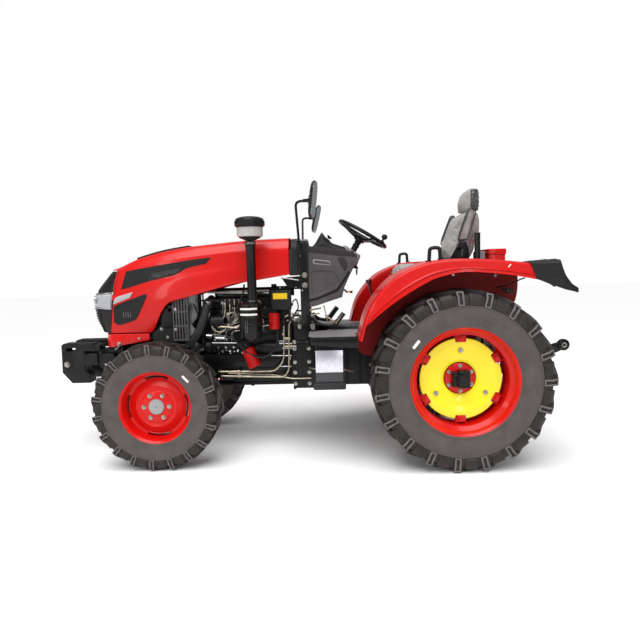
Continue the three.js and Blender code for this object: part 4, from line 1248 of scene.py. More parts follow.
def trim_rim(bm, low, high):
    """The narrow moulded lip round a trim."""
    ring = resample(low, 14) + list(reversed(resample(high, 14)))
    points = [(x, hood_y(x, z) + 1.2, z) for x, z in ring]
    sections = []
    for i, point in enumerate(points):
        before, after = Vector(points[i - 1]), Vector(points[(i + 1) % len(points)])
        ahead = (after - before).normalized()
        side = ahead.cross(Vector((0, 1, 0))).normalized()
        out = Vector((0, 1, 0))
        sections.append([
            Vector(point) + side * 3.2 * a + out * 2.4 * b for a, b in (
                (1, -1), (1, 0.6), (0.4, 1), (-0.4, 1), (-1, 0.6), (-1, -1)
            )
        ])
    sweep(bm, sections, closed=True)


def trim_set(bm):
    trim_panel(bm, UPPER_LOW, UPPER_HIGH, 1.8)
    trim_rim(bm, UPPER_LOW, UPPER_HIGH)
    trim_rim(bm, LOWER_LOW, LOWER_HIGH)


def lower_trim(bm):
    trim_panel(bm, LOWER_LOW, LOWER_HIGH, 1.8)


def trim_mesh(bm):
    """Fine even ribs in the middle of the upper trim, all one way."""
    for low, high in zip(resample(MESH_LOW, 29), resample(MESH_HIGH, 29)):
        ring = []
        for x, z in (low, high):
            y = hood_y(x, z) + 1.5
            ring.append([(x - 2.6, y, z), (x, y + 2.5, z), (x + 2.6, y, z)])
        sweep(bm, ring)


def trim_slots(bm):
    """Four even upright air slots in the lower trim."""
    for x in (2399, 2417, 2435, 2453):
        ring = []
        for z in (1066, 1108):
            y = hood_y(x, z) + 1.4
            ring.append([(x - 3, y, z), (x, y + 2, z), (x + 3, y, z)])
        sweep(bm, ring)


def strip_lamp(bm):
    trim_panel(bm, STRIP_LOW, STRIP_HIGH, 4, 5, 3)


both_sides(trim_set, "hood_trim_{}", DARK_PLASTIC, "hood", [])
both_sides(lower_trim, "hood_side_grille_{}", BLACK_PLASTIC, "hood", [])
both_sides(trim_mesh, "hood_trim_mesh_{}", STEEL, "hood", [])
both_sides(trim_slots, "hood_trim_slots_{}", STEEL, "hood", [])
both_sides(strip_lamp, "hood_side_lamp_{}", LENS_FLUTED, "hood", [])

# %% [markdown]
# ## Vent in the hood's top
# Warm air from the radiator leaves through a slatted panel in the top. The slats lean back so that rain
# runs off them. Each is one bar carried across the hood's crown.

# %% Top vent
def hood_top(x, y):
    top = smooth(HOOD_STATIONS, x, 3, 80)
    return top + 2 - 3.5 * (y / 150) ** 2


def top_vent(bm):
    for i in range(22):
        x = 1975 + i * 18
        wide = 118 + 26 * (1 - abs(i - 12) / 12)
        sections = []
        for j in range(9):
            y = wide * (j / 4 - 1)
            z = hood_top(x, y)
            sections.append([(x - 7, y, z - 2), (x - 5, y, z + 9), (x + 1, y, z + 12), (x + 7, y, z - 2)])
        sweep(bm, sections)
    frame_line = [(1966 + 408 * k / 12) for k in range(13)]
    for side in (-1, 1):
        sections = []
        for x in frame_line:
            wide = 124 + 26 * (1 - abs((x - 1975) / 18 - 12) / 12)
            z = hood_top(x, wide)
            y = side * wide
            sections.append([(x, y - 8, z - 2), (x, y - 6, z + 14), (x, y + 6, z + 13), (x, y + 8, z - 2)])
        sweep(bm, sections)


vent = bmesh.new()
top_vent(vent)
settle(vent, "hood_top_vent", DARK_PLASTIC, "hood", [])
tray = bmesh.new()
sweep(tray, [
    [(x, -120, hood_top(x, 120) - 3), (x, 120, hood_top(x, 120) - 3), (x, 120, hood_top(x, 120) + 2.5),
     (x, 0, hood_top(x, 0) + 1.5), (x, -120, hood_top(x, 120) + 2.5)]
    for x in [1970 + 40 * k for k in range(11)]
])
settle(tray, "hood_vent_tray", BLACK_PLASTIC, "hood", [])

# %% [markdown]
# ## Nose
# The nose is a moulded plastic face that closes the hood: a plain upper shield, a band with two lamps
# that wraps back round the corners, and a barred opening for the radiator. All of it lies on one bowed
# surface, so each part is a patch of that surface lifted by its own thickness.

# %% Nose surface and its patches
def nose_half(z):
    return hood_half(min(hood_front(z), 2580))


def nose_patch(bm, y0, y1, z0, z1, out, depth, across=12, up=6):
    """A patch; y0 and y1 are shares of the nose's half width, z0 and z1 heights, or runs of heights."""
    sections = []
    for i in range(across + 1):
        share = y0 + (y1 - y0) * i / across
        low = between(z0, share) if isinstance(z0, list) else z0
        high = between(z1, share) if isinstance(z1, list) else z1
        outer, inner = [], []
        for j in range(up + 1):
            z = low + (high - low) * j / up
            y = share * (nose_half(z) - 1.5)
            x = nose_x(y, z)
            outer.append((x + out, y * (1 + out / 700), z))
            inner.append((x - depth, y * 0.985, z))
        sections.append(outer + inner[::-1])
    return sweep(bm, sections)


nose = bmesh.new()
nose_patch(nose, -0.995, 0.995, 947, 1416, 0, 10, 28, 24)
settle(nose, "nose_shell", DARK_PLASTIC, "hood", ["grille"])

shield = bmesh.new()
nose_patch(shield, -0.93, 0.93, 1266, [(-0.93, 1392), (-0.6, 1404), (0.6, 1404), (0.93, 1392)], 5, 4, 24, 8)
soften(shield, 3, 2, 50)
settle(shield, "nose_shield", GLOSS_BLACK, "hood", [])


def lamp_tray(bm):
    nose_patch(bm, 0.3, 0.985, [(0.3, 1168), (0.985, 1140)], [(0.3, 1232), (0.985, 1244)], 3, 2, 12, 4)


def lamp_bezel(bm):
    nose_patch(bm, 0.26, 0.99, [(0.26, 1232), (0.99, 1242)], [(0.26, 1244), (0.99, 1258)], 9, 4, 12, 2)
    nose_patch(bm, 0.26, 0.99, [(0.26, 1150), (0.99, 1128)], [(0.26, 1162), (0.99, 1140)], 8, 4, 12, 2)
    soften(bm, 2, 2, 50)


def lamp_lens(bm):
    nose_patch(bm, 0.3, 0.985, [(0.3, 1164), (0.985, 1139)], [(0.3, 1232), (0.985, 1244)], 10, -6, 14, 5)
    soften(bm, 2, 2, 50)


def lamp_bowls(bm):
    for y in (118, 180):
        x = nose_x(y, 1200)
        spun(
            bm, [(0, 0), (14, 1), (24, 5), (27, 10), (28, 10), (26, 4), (16, -3), (0, -4)],
            (x - 2, y, 1200), 28, (1, 0.15, 0)
        )
    clean(bm)


both_sides(lamp_tray, "headlamp_tray_{}", SILVER_PAINT, "hood", [])
both_sides(lamp_bowls, "headlamp_reflector_{}", CHROME, "hood", [])
both_sides(lamp_bezel, "headlamp_bezel_{}", CHROME, "hood", [])
both_sides(lamp_lens, "headlamp_lens_{}", LENS, "hood", [])


def nose_bars(bm):
    for k in range(8):
        z = 972 + k * 20
        nose_patch(bm, -0.74, 0.74, z - 4, z + 4, 7, 3, 20, 1)
    nose_patch(bm, -0.8, 0.8, 952, 962, 9, 4, 20, 2)
    nose_patch(bm, -0.8, 0.8, 1124, 1134, 9, 4, 20, 2)
    for s in (-1, 1):
        nose_patch(bm, s * 0.76, s * 0.8, 955, 1130, 9, 4, 2, 8)
    nose_patch(bm, -0.24, 0.24, 1160, 1246, 6, 3, 10, 4)
    soften(bm, 1.5, 1, 50)


bars = bmesh.new()
nose_bars(bars)
settle(bars, "nose_bars", BLACK_PLASTIC, "hood", [])

# %% [markdown]
# ## Lower nose panel
# Below the hood a fixed sheet closes the front of the frame. It is one strip bent round the front, with
# its top edge rolled in so that the hood closes over it, and two latch bolts at its foot.

# %% Fixed nose panel
def panel_path(count=30):
    """The panel in plan, from its rear left end round the front to its rear right end."""
    side = [(2262 + (2540 - 2262) * i / 6, 288 - 26 * i / 6) for i in range(7)]
    ends, front, half = 2552, 2645, 261
    arc = []
    for i in range(count + 1):
        share = 1 - 2 * i / count
        arc.append((ends + (front - ends) * (1 - abs(share) ** 4), share * half))
    return side + arc + [(x, -y) for x, y in reversed(side)]


def nose_panel(bm):
    path = panel_path()
    sections = []
    for i, (x, y) in enumerate(path):
        a, b = Vector(path[max(i - 1, 0)]), Vector(path[min(i + 1, len(path) - 1)])
        along = (b - a).normalized()
        inwards = Vector((along.y, -along.x))
        if inwards.dot(Vector((2300, 0)) - Vector((x, y))) < 0:
            inwards = -inwards
        low = 832 + max(0.0, 2600 - x) * 0.17
        ring = []
        for inset, z in ((0, low + 5), (0, 908), (2, 914), (2, 934), (7, 939), (14, 939), (14, 936), (6, 935),
                         (6, 914), (5, 908), (5, low + 6), (12, low + 2), (12, low), (3, low)):
            ring.append((x + inwards.x * inset, y + inwards.y * inset, z))
        sections.append(ring)
    sweep(bm, sections)


panel = bmesh.new()
nose_panel(panel)
settle(panel, "nose_lower_panel", RED, "chassis", ["nose_panel"])


def latch_bolts(bm):
    bolt(bm, (2501, 266, 862), (0, 1, 0), 22, 10, 1.5)
    bolt(bm, (2340, 283, 905), (0, 1, 0), 13, 6, 1.5)
    pipe(bm, [(2501, 284, 866), (2496, 288, 846), (2515, 288, 832), (2530, 286, 826)], 4, 10, 8)


both_sides(latch_bolts, "nose_latch_{}", ZINC, "chassis", [])
print("hood and nose", len(made_pieces))

# %% [markdown]
# ## Nose weights
# Cast slabs hang in front of the nose to keep the front wheels down under a heavy implement. Each has
# a carrying handle cast in its top, and a long bolt clamps the slabs of a side together.

# %% Weights
WEIGHT_SIDE = [
    (2820, 546), (2933, 546), (3005, 632), (3001, 800), (2820, 800), (2820, 640), (2785, 610), (2785, 546)
]


def weights(bm):
    for y0, y1 in ((63, 97), (99, 133), (135, 170)):
        plate(bm, WEIGHT_SIDE, y0, y1)
        plate(bm, [(2964, 798), (3001, 798), (3001, 846), (2985, 861), (2964, 861)], y0, y1)
        plate(bm, [(2745, 826), (2970, 826), (2970, 861), (2745, 861)], y0, y1)
        plate(bm, [(2695, 803), (2890, 798), (2890, 830), (2745, 830), (2745, 852), (2695, 852)], y0, y1)
    soften(bm, 4, 2)
    drum(bm, (2862, 150, 695), (2862, 171, 695), 16, segments=20)


def weight_bar(bm):
    mm_box(bm, (2718, 2822), (0, 174), (687, 781))
    mm_box(bm, (2590, 2722), (100, 160), (691, 776))
    mm_box(bm, (2545, 2690), (-1, 118), (745, 806))
    plate(bm, [(2560, 800), (2660, 800), (2640, 836), (2575, 836)], 20, 96)
    soften(bm, 5, 2)


def weight_bolts(bm):
    drum(bm, (2961, 170, 697), (2961, 175, 697), 23, segments=28)
    bolt(bm, (2961, 175, 697), (0, 1, 0), 26, 14)
    bolt(bm, (2712, 130, 776), (0, 0, 1), 19, 10)
    bolt(bm, (2625, 70, 836), (0, 0, 1), 17, 10)


single(twin(weights), "nose_weights", CAST, "chassis", ["front_weights"])
single(twin(weight_bar), "nose_weight_bar", CAST, "chassis", [])
single(twin(weight_bolts), "nose_weight_bolts", ZINC, "chassis", [])

# %% [markdown]
# ## Front frame
# Two rails of thick plate carry the radiator, the nose and the front axle's pivot. They are bolted to the
# engine's sides, so the bolt heads run along them. A shelf of thinner plate closes the top.

# %% Rails, cross pieces and shelf
def front_rails(bm):
    plate(bm, [(1250, 570), (1262, 560), (2540, 560), (2600, 640), (2600, 745), (1250, 745)], 150, 168)
    mm_box(bm, (2560, 2600), (0, 160), (640, 744))
    mm_box(bm, (2010, 2250), (0, 155), (612, 744))
    mm_box(bm, (1932, 2588), (0, 198), (744, 757))
    mm_box(bm, (2480, 2492), (0, 258), (757, 930))
    plate(bm, [(2300, 757), (2520, 757), (2520, 828), (2300, 868)], 190, 198)
    for low in (2040, 2195):
        mm_box(bm, (low, low + 25), (0, 90), (432, 620))
    soften(bm, 3, 2)
    plate(bm, [(1290, 580), (1900, 580), (1900, 612), (1290, 612)], 167, 172)


def rail_bolts(bm):
    for x, z in (
        (1290, 700), (1430, 706), (1600, 706), (1760, 706), (1960, 700), (1960, 600), (2300, 700),
        (2450, 650)
    ):
        bolt(bm, (x, 168, z), (0, 1, 0), 18, 9)


single(twin(front_rails), "front_frame_rails", GLOSS_BLACK, "chassis", ["front_frame"])
single(twin(rail_bolts), "front_frame_bolts", CAST, "chassis", [])

# %% [markdown]
# ## Front axle
# The driven front axle is a casting that rocks on a pin under the frame. Its differential sits to one
# side, out of the sump's way, and each end has a forked head. The knuckle turns in the fork on its
# kingpin and holds the wheel's bevel box, and a tie rod makes the two knuckles turn together.

# %% Axle, knuckles and tie rod
def front_axle(bm):
    centre = (WHEELBASE, 0, FRONT_R)
    spun(bm, [
        (0, -362), (66, -362), (66, -346), (50, -330), (46, -250), (70, -226), (100, -212), (105, -196),
        (105, -120), (98, -100), (72, -84), (56, -70), (50, 40), (46, 250), (50, 330), (66, 346), (66,
        362), (0, 362),
    ], centre, 40)
    clean(bm)
    x, z = WHEELBASE, FRONT_R
    box_verts = mm_box(bm, (x - 64, x + 64), (-74, 74), (z - 58, z + 74))
    soften(bm, 8, 3, 30, box_verts)
    drum(bm, (x - 60, -150, z), (x - 168, -150, z), 66, 40, 28)
    for side in (-1, 1):
        fork = mm_box(bm, (x - 42, x + 42), (side * 332, side * 362), (z - 99, z + 99))
        for low in (z - 99, z + 86):
            fork += mm_box(bm, (x - 40, x + 40), (side * 340, side * 428), (low, low + 14))
        soften(bm, 5, 2, 30, fork)
        for low in (z - 100, z + 85):
            drum(bm, (x, side * 430, low), (x, side * 430, low + 15), 45, segments=32)
        drum(bm, (x, side * 430, z + 99), (x, side * 430, z + 104), 30, segments=28)
    for k in range(8):
        turn = math.tau * k / 8
        bolt(bm, (x + math.cos(turn) * 88, -212, z + math.sin(turn) * 88), (0, -1, 0), 13, 7)


def front_knuckle(bm):
    x, y, z = WHEELBASE, 430, FRONT_R
    drum(bm, (x, y, z - 84), (x, y, z + 84), 48, segments=32)
    for low in (-84, 70):
        drum(bm, (x, y, z + low), (x, y, z + low + 14), 50, segments=32)
    neck = mm_box(bm, (x - 38, x + 38), (y + 10, y + 60), (z - 58, z + 58))
    arm = mm_box(bm, (x + 18, x + 148), (y - 19, y + 19), (z - 74, z - 52))
    soften(bm, 6, 3, 30, neck + arm)
    spun(bm, [
        (0, 52), (74, 52), (96, 66), (100, 76), (100, 100), (92, 106), (92, 124), (86, 129), (0, 129),
    ], (x, y, z), 48)
    clean(bm)
    drum(bm, (x + 150, y, z - 75), (x + 150, y, z - 51), 22, segments=24)
    for k in range(6):
        turn = math.tau * (k + 0.5) / 6
        bolt(bm, (x + math.cos(turn) * 84, y + 100, z + math.sin(turn) * 84), (0, 1, 0), 14, 6)


def knuckle_pin(bm):
    x, y, z = WHEELBASE + 150, 430, FRONT_R
    drum(bm, (x, y, z - 51), (x, y, z - 16), 11.6, segments=20)
    drum(bm, (x, y, z - 20), (x, y, z - 12), 17, segments=6)


def tie_rod(bm):
    x, z = WHEELBASE + 150, FRONT_R - 32
    drum(bm, (x, -410, z), (x, 410, z), 11, segments=20)
    for side in (-1, 1):
        drum(bm, (x, side * 300, z), (x, side * 340, z), 15, segments=6)
        eye = [(x, side * 430, z)]
        spun(
            bm, [(12.8, -11), (24, -11), (26, -8), (26, 8), (24, 11), (12.8, 11), (12.8, -11)], eye[0],
            32, (0, 0, 1)
        )
        drum(bm, (x, side * 404, z), (x, side * 372, z), 19, 14, 20)
    clean(bm)


single(front_axle, "front_axle_casting", CAST, "chassis", ["front_axle_beam"])
both_sides(front_knuckle, "knuckle_casting_{}", CAST, "knuckle_{}", ["knuckle_{}"])
both_sides(knuckle_pin, "knuckle_pin_{}", ZINC, "knuckle_{}", [])
single(tie_rod, "tie_rod_bar", ZINC, "tie_rod", ["tie_rod"])

# %% [markdown]
# ## Radiator
# The radiator is a pack of thin fins between a top and a bottom tank. A pressed guard with slots covers
# the fan's side, and the battery stands in a box in front of it.

# %% Radiator, guard and battery box
def radiator(bm):
    mm_box(bm, (1986, 2074), (0, 262), (758, 850))
    mm_box(bm, (1986, 2074), (0, 262), (1236, 1318))
    mm_box(bm, (1990, 2070), (244, 262), (850, 1236))
    soften(bm, 7, 3)


def radiator_fins(bm):
    mm_box(bm, (2000, 2060), (-246, 246), (848, 1238))
    for k in range(48):
        z = 856 + k * 8
        mm_box(bm, (1996, 2064), (-245, 245), (z, z + 2))


def fan_guard(bm):
    for k in range(6):
        x = 1963 + k * 21.5
        mm_box(bm, (x, x + 11), (264, 271), (878, 1212))
    for z in (876, 984, 1092, 1200):
        mm_box(bm, (1963, 2082), (263, 270), (z, z + 13))
    mm_box(bm, (1963, 1969), (225, 270), (876, 1213))
    soften(bm, 1.5, 1)


def battery_box(bm):
    mm_box(bm, (2087, 2176), (150, 262), (975, 1130))
    soften(bm, 5, 2)
    plate(bm, [(2078, 757), (2245, 757), (2245, 940), (2200, 975), (2078, 975)], 252, 258)
    mm_box(bm, (2076, 2120), (240, 262), (1100, 1150))
    mm_box(bm, (2085, 2230), (0, 200), (757, 960))
    soften(bm, 2, 1)


def guard_bolts(bm):
    for x, z, y in ((2058, 1120, 270), (2173, 971, 258), (2061, 965, 270), (2130, 905, 258)):
        bolt(bm, (x, y, z), (0, 1, 0), 16, 8, 1.5)


single(twin(radiator), "radiator_tanks", GLOSS_BLACK, "chassis", ["radiator"])
single(radiator_fins, "radiator_fins", STEEL, "chassis", [])
single(twin(fan_guard), "fan_guard", CONSOLE, "chassis", [])
single(twin(battery_box), "battery_box", DARK_PLASTIC, "chassis", [])
single(twin(guard_bolts), "radiator_bolts", ZINC, "chassis", [])

# %% [markdown]
# ## Engine
# A small three or four cylinder diesel: a cast block with a deep sump, the head with its rocker cover,
# the injection pump low on the left with a steel pipe to each injector, and the belt drive in front.

# %% Block, head and front drive
def engine_block(bm):
    mm_box(bm, (1182, 1868), (-148, 148), (735, 1008))
    plate(bm, [(1220, 735), (1250, 560), (1500, 548), (1830, 560), (1850, 735)], -146, 146)
    mm_box(bm, (1205, 1835), (-118, 118), (1008, 1100))
    mm_box(bm, (1220, 1825), (-112, 112), (1112, 1188))
    mm_box(bm, (1212, 1832), (-119, 119), (1100, 1112))
    for k in range(4):
        x = 1290 + k * 145
        mm_box(bm, (x - 52, x + 52), (-149.5, 149.5), (900, 1000))
        mm_box(bm, (x - 46, x + 46), (-119.5, 119.5), (1020, 1092))
        drum(bm, (x, -60, 1150), (x, 128, 1150), 26, segments=20)
    soften(bm, 6, 2)
    for k in range(9):
        mm_box(bm, (1215 + k * 75, 1223 + k * 75), (-149.5, 149.5), (750, 995))
    for k in range(12):
        for z in (724, 748):
            bolt(bm, (1215 + k * 56, 147, z), (0, 1, 0), 15, 7)


def rocker_cover(bm):
    plate(
        bm,
        [
            (-72, 1188), (72, 1188), (72, 1232), (60, 1254), (40, 1262), (-40, 1262), (-60, 1254),
            (-72, 1232)
        ],
        1245, 1796, "x"
    )
    soften(bm, 5, 3)
    drum(bm, (1330, 0, 1255), (1330, 0, 1285), 22, segments=20)


def engine_rail(bm):
    mm_box(bm, (1351, 1845), (118, 130), (1232, 1246))
    soften(bm, 3, 2)
    pipe(bm, [(1640, 150, 872), (1790, 150, 872)], 5, segments=10)
    for k in range(4):
        x = 1650 + k * 44
        top = 1300 + k * 140
        pipe(
            bm, [(x, 196, 872), (x, 196, 930 + 12 * k), (top, 168, 980 + 12 * k), (top, 140, 1150)], 3.6,
            25, 8
        )
        drum(bm, (x, 196, 862), (x, 196, 884), 9, segments=12)
        bolt(bm, (top, 128, 1150), (0, 1, 0), 22, 16)


def injection_pump(bm):
    mm_box(bm, (1628, 1812), (148, 208), (776, 862))
    mm_box(bm, (1600, 1640), (150, 196), (788, 850))
    drum(bm, (1812, 180, 820), (1852, 180, 820), 46, 46, 28)
    soften(bm, 5, 2)
    for k in range(5):
        for z in (792, 818):
            bolt(bm, (1646 + k * 36, 208, z), (0, 1, 0), 12, 6)
    mm_box(bm, (1500, 1600), (148, 176), (800, 850))
    drum(bm, (1700, 190, 1010), (1800, 190, 1010), 52, segments=28)
    drum(bm, (1800, 190, 1010), (1816, 190, 1010), 60, 50, 28)
    drum(bm, (1260, 185, 800), (1420, 185, 800), 42, segments=28)
    drum(bm, (1420, 185, 800), (1470, 185, 800), 30, segments=24)
    soften(bm, 3, 1, 50)


def belt_drive(bm):
    spun(
        bm, [(0, 0), (30, 0), (34, 6), (60, 6), (66, 14), (66, 26), (60, 34), (0, 34)], (1866, 0, 1010),
        40, (1, 0, 0)
    )
    spun(bm, [(0, 0), (84, 0), (90, 8), (84, 16), (90, 24), (84, 34), (0, 34)], (1866, 0, 780), 44, (1, 0, 0))
    spun(bm, [(0, 0), (36, 0), (40, 8), (34, 16), (40, 24), (0, 28)], (1868, 150, 1080), 32, (1, 0, 0))
    clean(bm)
    drum(bm, (1880, 0, 1010), (1950, 0, 1010), 30, segments=20)


def fan_blades(bm):
    for k in range(7):
        blade = mm_box(bm, (1936, 1941), (-34, 34), (45, 200))
        turn_about(bm, blade, (1938, 0, 100), "Z", 28)
        turn_about(bm, blade, (1938, 0, 0), "X", 360 * k / 7)
        bmesh.ops.translate(bm, verts=blade, vec=(0, 0, 1010))
    drum(bm, (1930, 0, 1010), (1952, 0, 1010), 52, segments=28)
    soften(bm, 2, 1)


def fan_belt(bm):
    sections = []
    ring = []
    for k in range(13):
        a = math.radians(200 - 220 * k / 12)
        ring.append((math.cos(a) * 62, 1010 + math.sin(a) * 62))
    for k in range(13):
        a = math.radians(-10 - 160 * k / 12)
        ring.append((math.cos(a) * 86, 780 + math.sin(a) * 86))
    for y, z in ring:
        sections.append([(1880, y * 0.94, z), (1894, y * 0.94, z), (1896, y * 1.05, z), (1878, y * 1.05, z)])
    sweep(bm, sections, closed=True)


single(engine_block, "engine_block", CAST, "chassis", ["engine"])
single(rocker_cover, "rocker_cover", GLOSS_BLACK, "chassis", [])
single(engine_rail, "fuel_rail_and_pipes", ZINC, "chassis", [])
single(injection_pump, "injection_pump_and_starter", CAST, "chassis", [])
single(belt_drive, "pulleys", STEEL, "chassis", [])
single(fan_blades, "fan", DARK_PLASTIC, "chassis", [])
single(fan_belt, "fan_belt", HOSE, "chassis", [])

# %% [markdown]
# ## Filters, hoses and wiring on the engine's side
# The parts that need service are all reached from the left: the red fuel filter, the red oil filter
# leaning out under it, and the fuse box. Hoses are extruded rubber on clamps; the wide one carries the
# radiator's return, the thin ones oil and fuel. Cables run in split conduit.

# %% Filters and fuse box
def filter_can(bm, foot, head, radius):
    """A spun can: domed end and a rolled seam near its head."""
    foot, head = Vector(foot), Vector(head)
    axis = (head - foot).normalized()
    long = (head - foot).length
    turn = Vector((0, 0, 1)).rotation_difference(axis).to_matrix().to_4x4()
    before = set(bm.verts)
    spun(bm, [
        (0, 0), (radius * 0.82, 0), (radius * 0.96, 6), (radius, 14), (radius, long - 16), (
            radius + 2, long - 13
        ),
        (radius + 2, long - 5), (radius * 0.9, long), (0, long),
    ], (0, 0, 0), 40, (0, 0, 1))
    fresh = [v for v in bm.verts if v not in before]
    bmesh.ops.transform(bm, matrix=Matrix.Translation(foot) @ turn, verts=fresh)


def red_filters(bm):
    filter_can(bm, (1314, 215, 944), (1314, 215, 1071), 43)
    filter_can(bm, (1471, 232, 655), (1530, 205, 792), 50)
    clean(bm)


def filter_heads(bm):
    drum(bm, (1314, 215, 1071), (1314, 215, 1092), 38, segments=28)
    mm_box(bm, (1290, 1338), (148, 220), (1086, 1100))
    drum(bm, (1532, 203, 796), (1544, 196, 824), 40, segments=28)
    mm_box(bm, (1516, 1580), (146, 190), (800, 850))
    soften(bm, 4, 2)


def fuse_box(bm):
    mm_box(bm, (1177, 1331), (222, 268), (1096, 1232))
    mm_box(bm, (1174, 1334), (218, 262), (1228, 1244))
    soften(bm, 6, 3)
    mm_box(bm, (1170, 1180), (150, 240), (1120, 1140))
    mm_box(bm, (1190, 1320), (150, 224), (1110, 1122))


def fuse_label(bm):
    mm_box(bm, (1206, 1314), (267, 269), (1177, 1221))
    soften(bm, 0.8, 1)


single(red_filters, "oil_and_fuel_filters", SMOOTH_RED, "chassis", [])
single(filter_heads, "filter_heads", CAST, "chassis", [])
single(fuse_box, "fuse_box", DARK_PLASTIC, "chassis", [])
single(fuse_label, "fuse_box_label", SMOOTH_YELLOW, "chassis", [])

# %% Hoses, pipes and cables
def wide_hose(bm):
    pipe(
        bm,
        [
            (1812, 110, 1185), (1828, 215, 1150), (1845, 232, 1060), (1905, 238, 915), (1990, 225, 842),
            (2040, 170, 828)
        ],
        31, 90, 24
    )


def thin_hoses(bm):
    pipe(
        bm,
        [
            (1540, 190, 1290), (1545, 225, 1220), (1600, 235, 1100), (1640, 232, 1010), (1745, 228, 968),
            (1772, 190, 1030)
        ],
        7.5, 60, 12
    )
    pipe(
        bm,
        [
            (1690, 215, 893), (1640, 238, 893), (1520, 256, 760), (1400, 256, 720), (1300, 240, 800),
            (1290, 215, 940)
        ],
        8, 70, 12
    )
    pipe(bm, [(1820, 205, 1045), (1770, 236, 985), (1690, 236, 955), (1610, 200, 985)], 6, 40, 10)
    pipe(bm, [(1170, 235, 1150), (1140, 250, 1180), (1120, 255, 1110), (1155, 235, 1060)], 5, 30, 10)


def cables(bm):
    pipe(
        bm,
        [(1330, 235, 1105), (1420, 210, 1060), (1560, 215, 1080), (1660, 225, 1170), (1900, 240, 1180)],
        6, 60, 10
    )
    pipe(bm, [(1200, 235, 1096), (1195, 240, 1020), (1150, 235, 985), (1090, 230, 1010)], 8, 40, 10)
    pipe(
        bm, [(1240, 240, 1096), (1235, 235, 990), (1275, 190, 900), (1420, 160, 890), (1640, 165, 895)],
        6, 40, 10
    )


def hose_clamps(bm):
    for x, y, z, r in ((1826, 208, 1156, 33), (2000, 220, 842, 33)):
        drum(bm, (x - 9, y - 6, z + 12), (x + 9, y + 6, z - 4), r, segments=28)
    for k in range(5):
        x = 1664 - k * 6
        pipe(
            bm,
            [
                (x, 222 + k, 1008 - 3 * k), (x + 22, 240, 1070), (x - 28, 240, 1090), (x - 60, 238, 1040),
                (x - 20, 225, 1000)
            ],
            3, 25, 8
        )
    pipe(
        bm, [(1830, 200, 915), (1760, 214, 905), (1700, 205, 960), (1610, 215, 970), (1560, 200, 1000)],
        4.5, 30, 10
    )
    mm_box(bm, (1690, 1790), (150, 200), (890, 900))


def steering_pipes(bm):
    pipe(
        bm,
        [
            (1762, 168, 624), (1762, 222, 622), (1318, 222, 616), (1250, 222, 700), (1240, 222, 1040),
            (1170, 226, 1062), (1122, 222, 1062)
        ],
        7, 45, 12
    )
    pipe(
        bm,
        [
            (1744, 168, 590), (1744, 222, 587), (1250, 222, 570), (1214, 222, 620), (1200, 222, 1010),
            (1100, 226, 1024), (1080, 222, 1024)
        ],
        7, 45, 12
    )
    pipe(bm, [(1690, 185, 602), (1330, 200, 584), (1195, 226, 556), (1045, 226, 556)], 5, 40, 10)
    pipe(bm, [(1060, 228, 640), (1000, 300, 640), (800, 300, 636), (720, 260, 610)], 6, 40, 10)


def pipe_clips(bm):
    mm_box(bm, (1588, 1612), (214, 232), (572, 630))
    mm_box(bm, (1196, 1242), (216, 228), (860, 878))
    mm_box(bm, (1150, 1242), (205, 226), (800, 813))
    soften(bm, 2, 1)
    bolt(bm, (1600, 232, 601), (0, 1, 0), 13, 7)


single(wide_hose, "radiator_hose", SEAL, "chassis", [])
single(thin_hoses, "oil_and_fuel_hoses", HOSE, "chassis", [])
single(cables, "engine_cables", DARK_PLASTIC, "chassis", [])
single(hose_clamps, "clamps_and_vent_loop", ZINC, "chassis", [])
single(steering_pipes, "steering_oil_pipes", BRASS_PIPE, "chassis", ["steering_pipes"])
single(pipe_clips, "steering_pipe_clips", BRASS_PIPE, "chassis", [])
print("front end and engine", sum(made_pieces.values()), "faces")

# %% [markdown]
# ## Bright fittings on the engine
# What makes an engine read as an engine is its fasteners and plated pipes: small, round and bright on
# black castings. They are short rods and bolt heads along the lines where the castings meet.

# %% Plated rods, bolt rows and the sump
def plated_rods(bm):
    for (x0, z0), (x1, z1), y, radius in (
        (
            (1822, 1237), (1352, 1223), 208, 7
        ), ((1796, 850), (1594, 845), 238, 5), ((1281, 832), (1186, 827), 214, 5),
        ((1348, 738), (1190, 734), 214, 4), ((1290, 652), (1196, 649), 214, 4), (
            (1840, 905), (1800, 900), 225, 16
        ),
        (
            (1770, 884), (1700, 880), 228, 12
        ), ((1300, 850), (1200, 846), 206, 3), ((1262, 792), (1186, 790), 210, 4),
    ):
        drum(bm, (x0, y, z0), (x1, y, z1), radius, segments=16)
    for k in range(7):
        bolt(bm, (1752 - k * 30, 234, 814 - (k % 2) * 30), (0, 1, 0), 11, 9)
        bolt(bm, (1748 - k * 30, 234, 768 + (k % 3) * 12), (0, 1, 0), 7, 8)
    for k in range(6):
        bolt(bm, (1700 - k * 62, 176, 1150 - (k % 2) * 40), (0, 1, 0), 13, 12)
        bolt(bm, (1690 - k * 66, 156, 590), (0, 1, 0), 13, 9)
    for x, z in ((1262, 1262), (1140, 1262), (1190, 1212), (1250, 905), (1212, 1010), (1330, 1060)):
        bolt(bm, (x, 226, z), (0, 1, 0), 11, 9)
    pipe(bm, [(1126, 298, 1318), (1180, 290, 1328), (1250, 276, 1336)], 4, 20, 12)


def warm_pipes(bm):
    pipe(bm, [(1748, 232, 968), (1720, 236, 974), (1602, 236, 962), (1584, 220, 980)], 8, 24, 12)
    pipe(
        bm, [(1800, 226, 1010), (1790, 234, 960), (1748, 238, 930), (1700, 232, 940), (1660, 228, 1000)],
        6, 40, 10
    )
    for k in range(4):
        pipe(
            bm,
            [(1690 - k * 36, 214, 1180), (1686 - k * 36, 226, 1100 - k * 8), (1700 - k * 30, 230, 1040)],
            4, 30, 8
        )


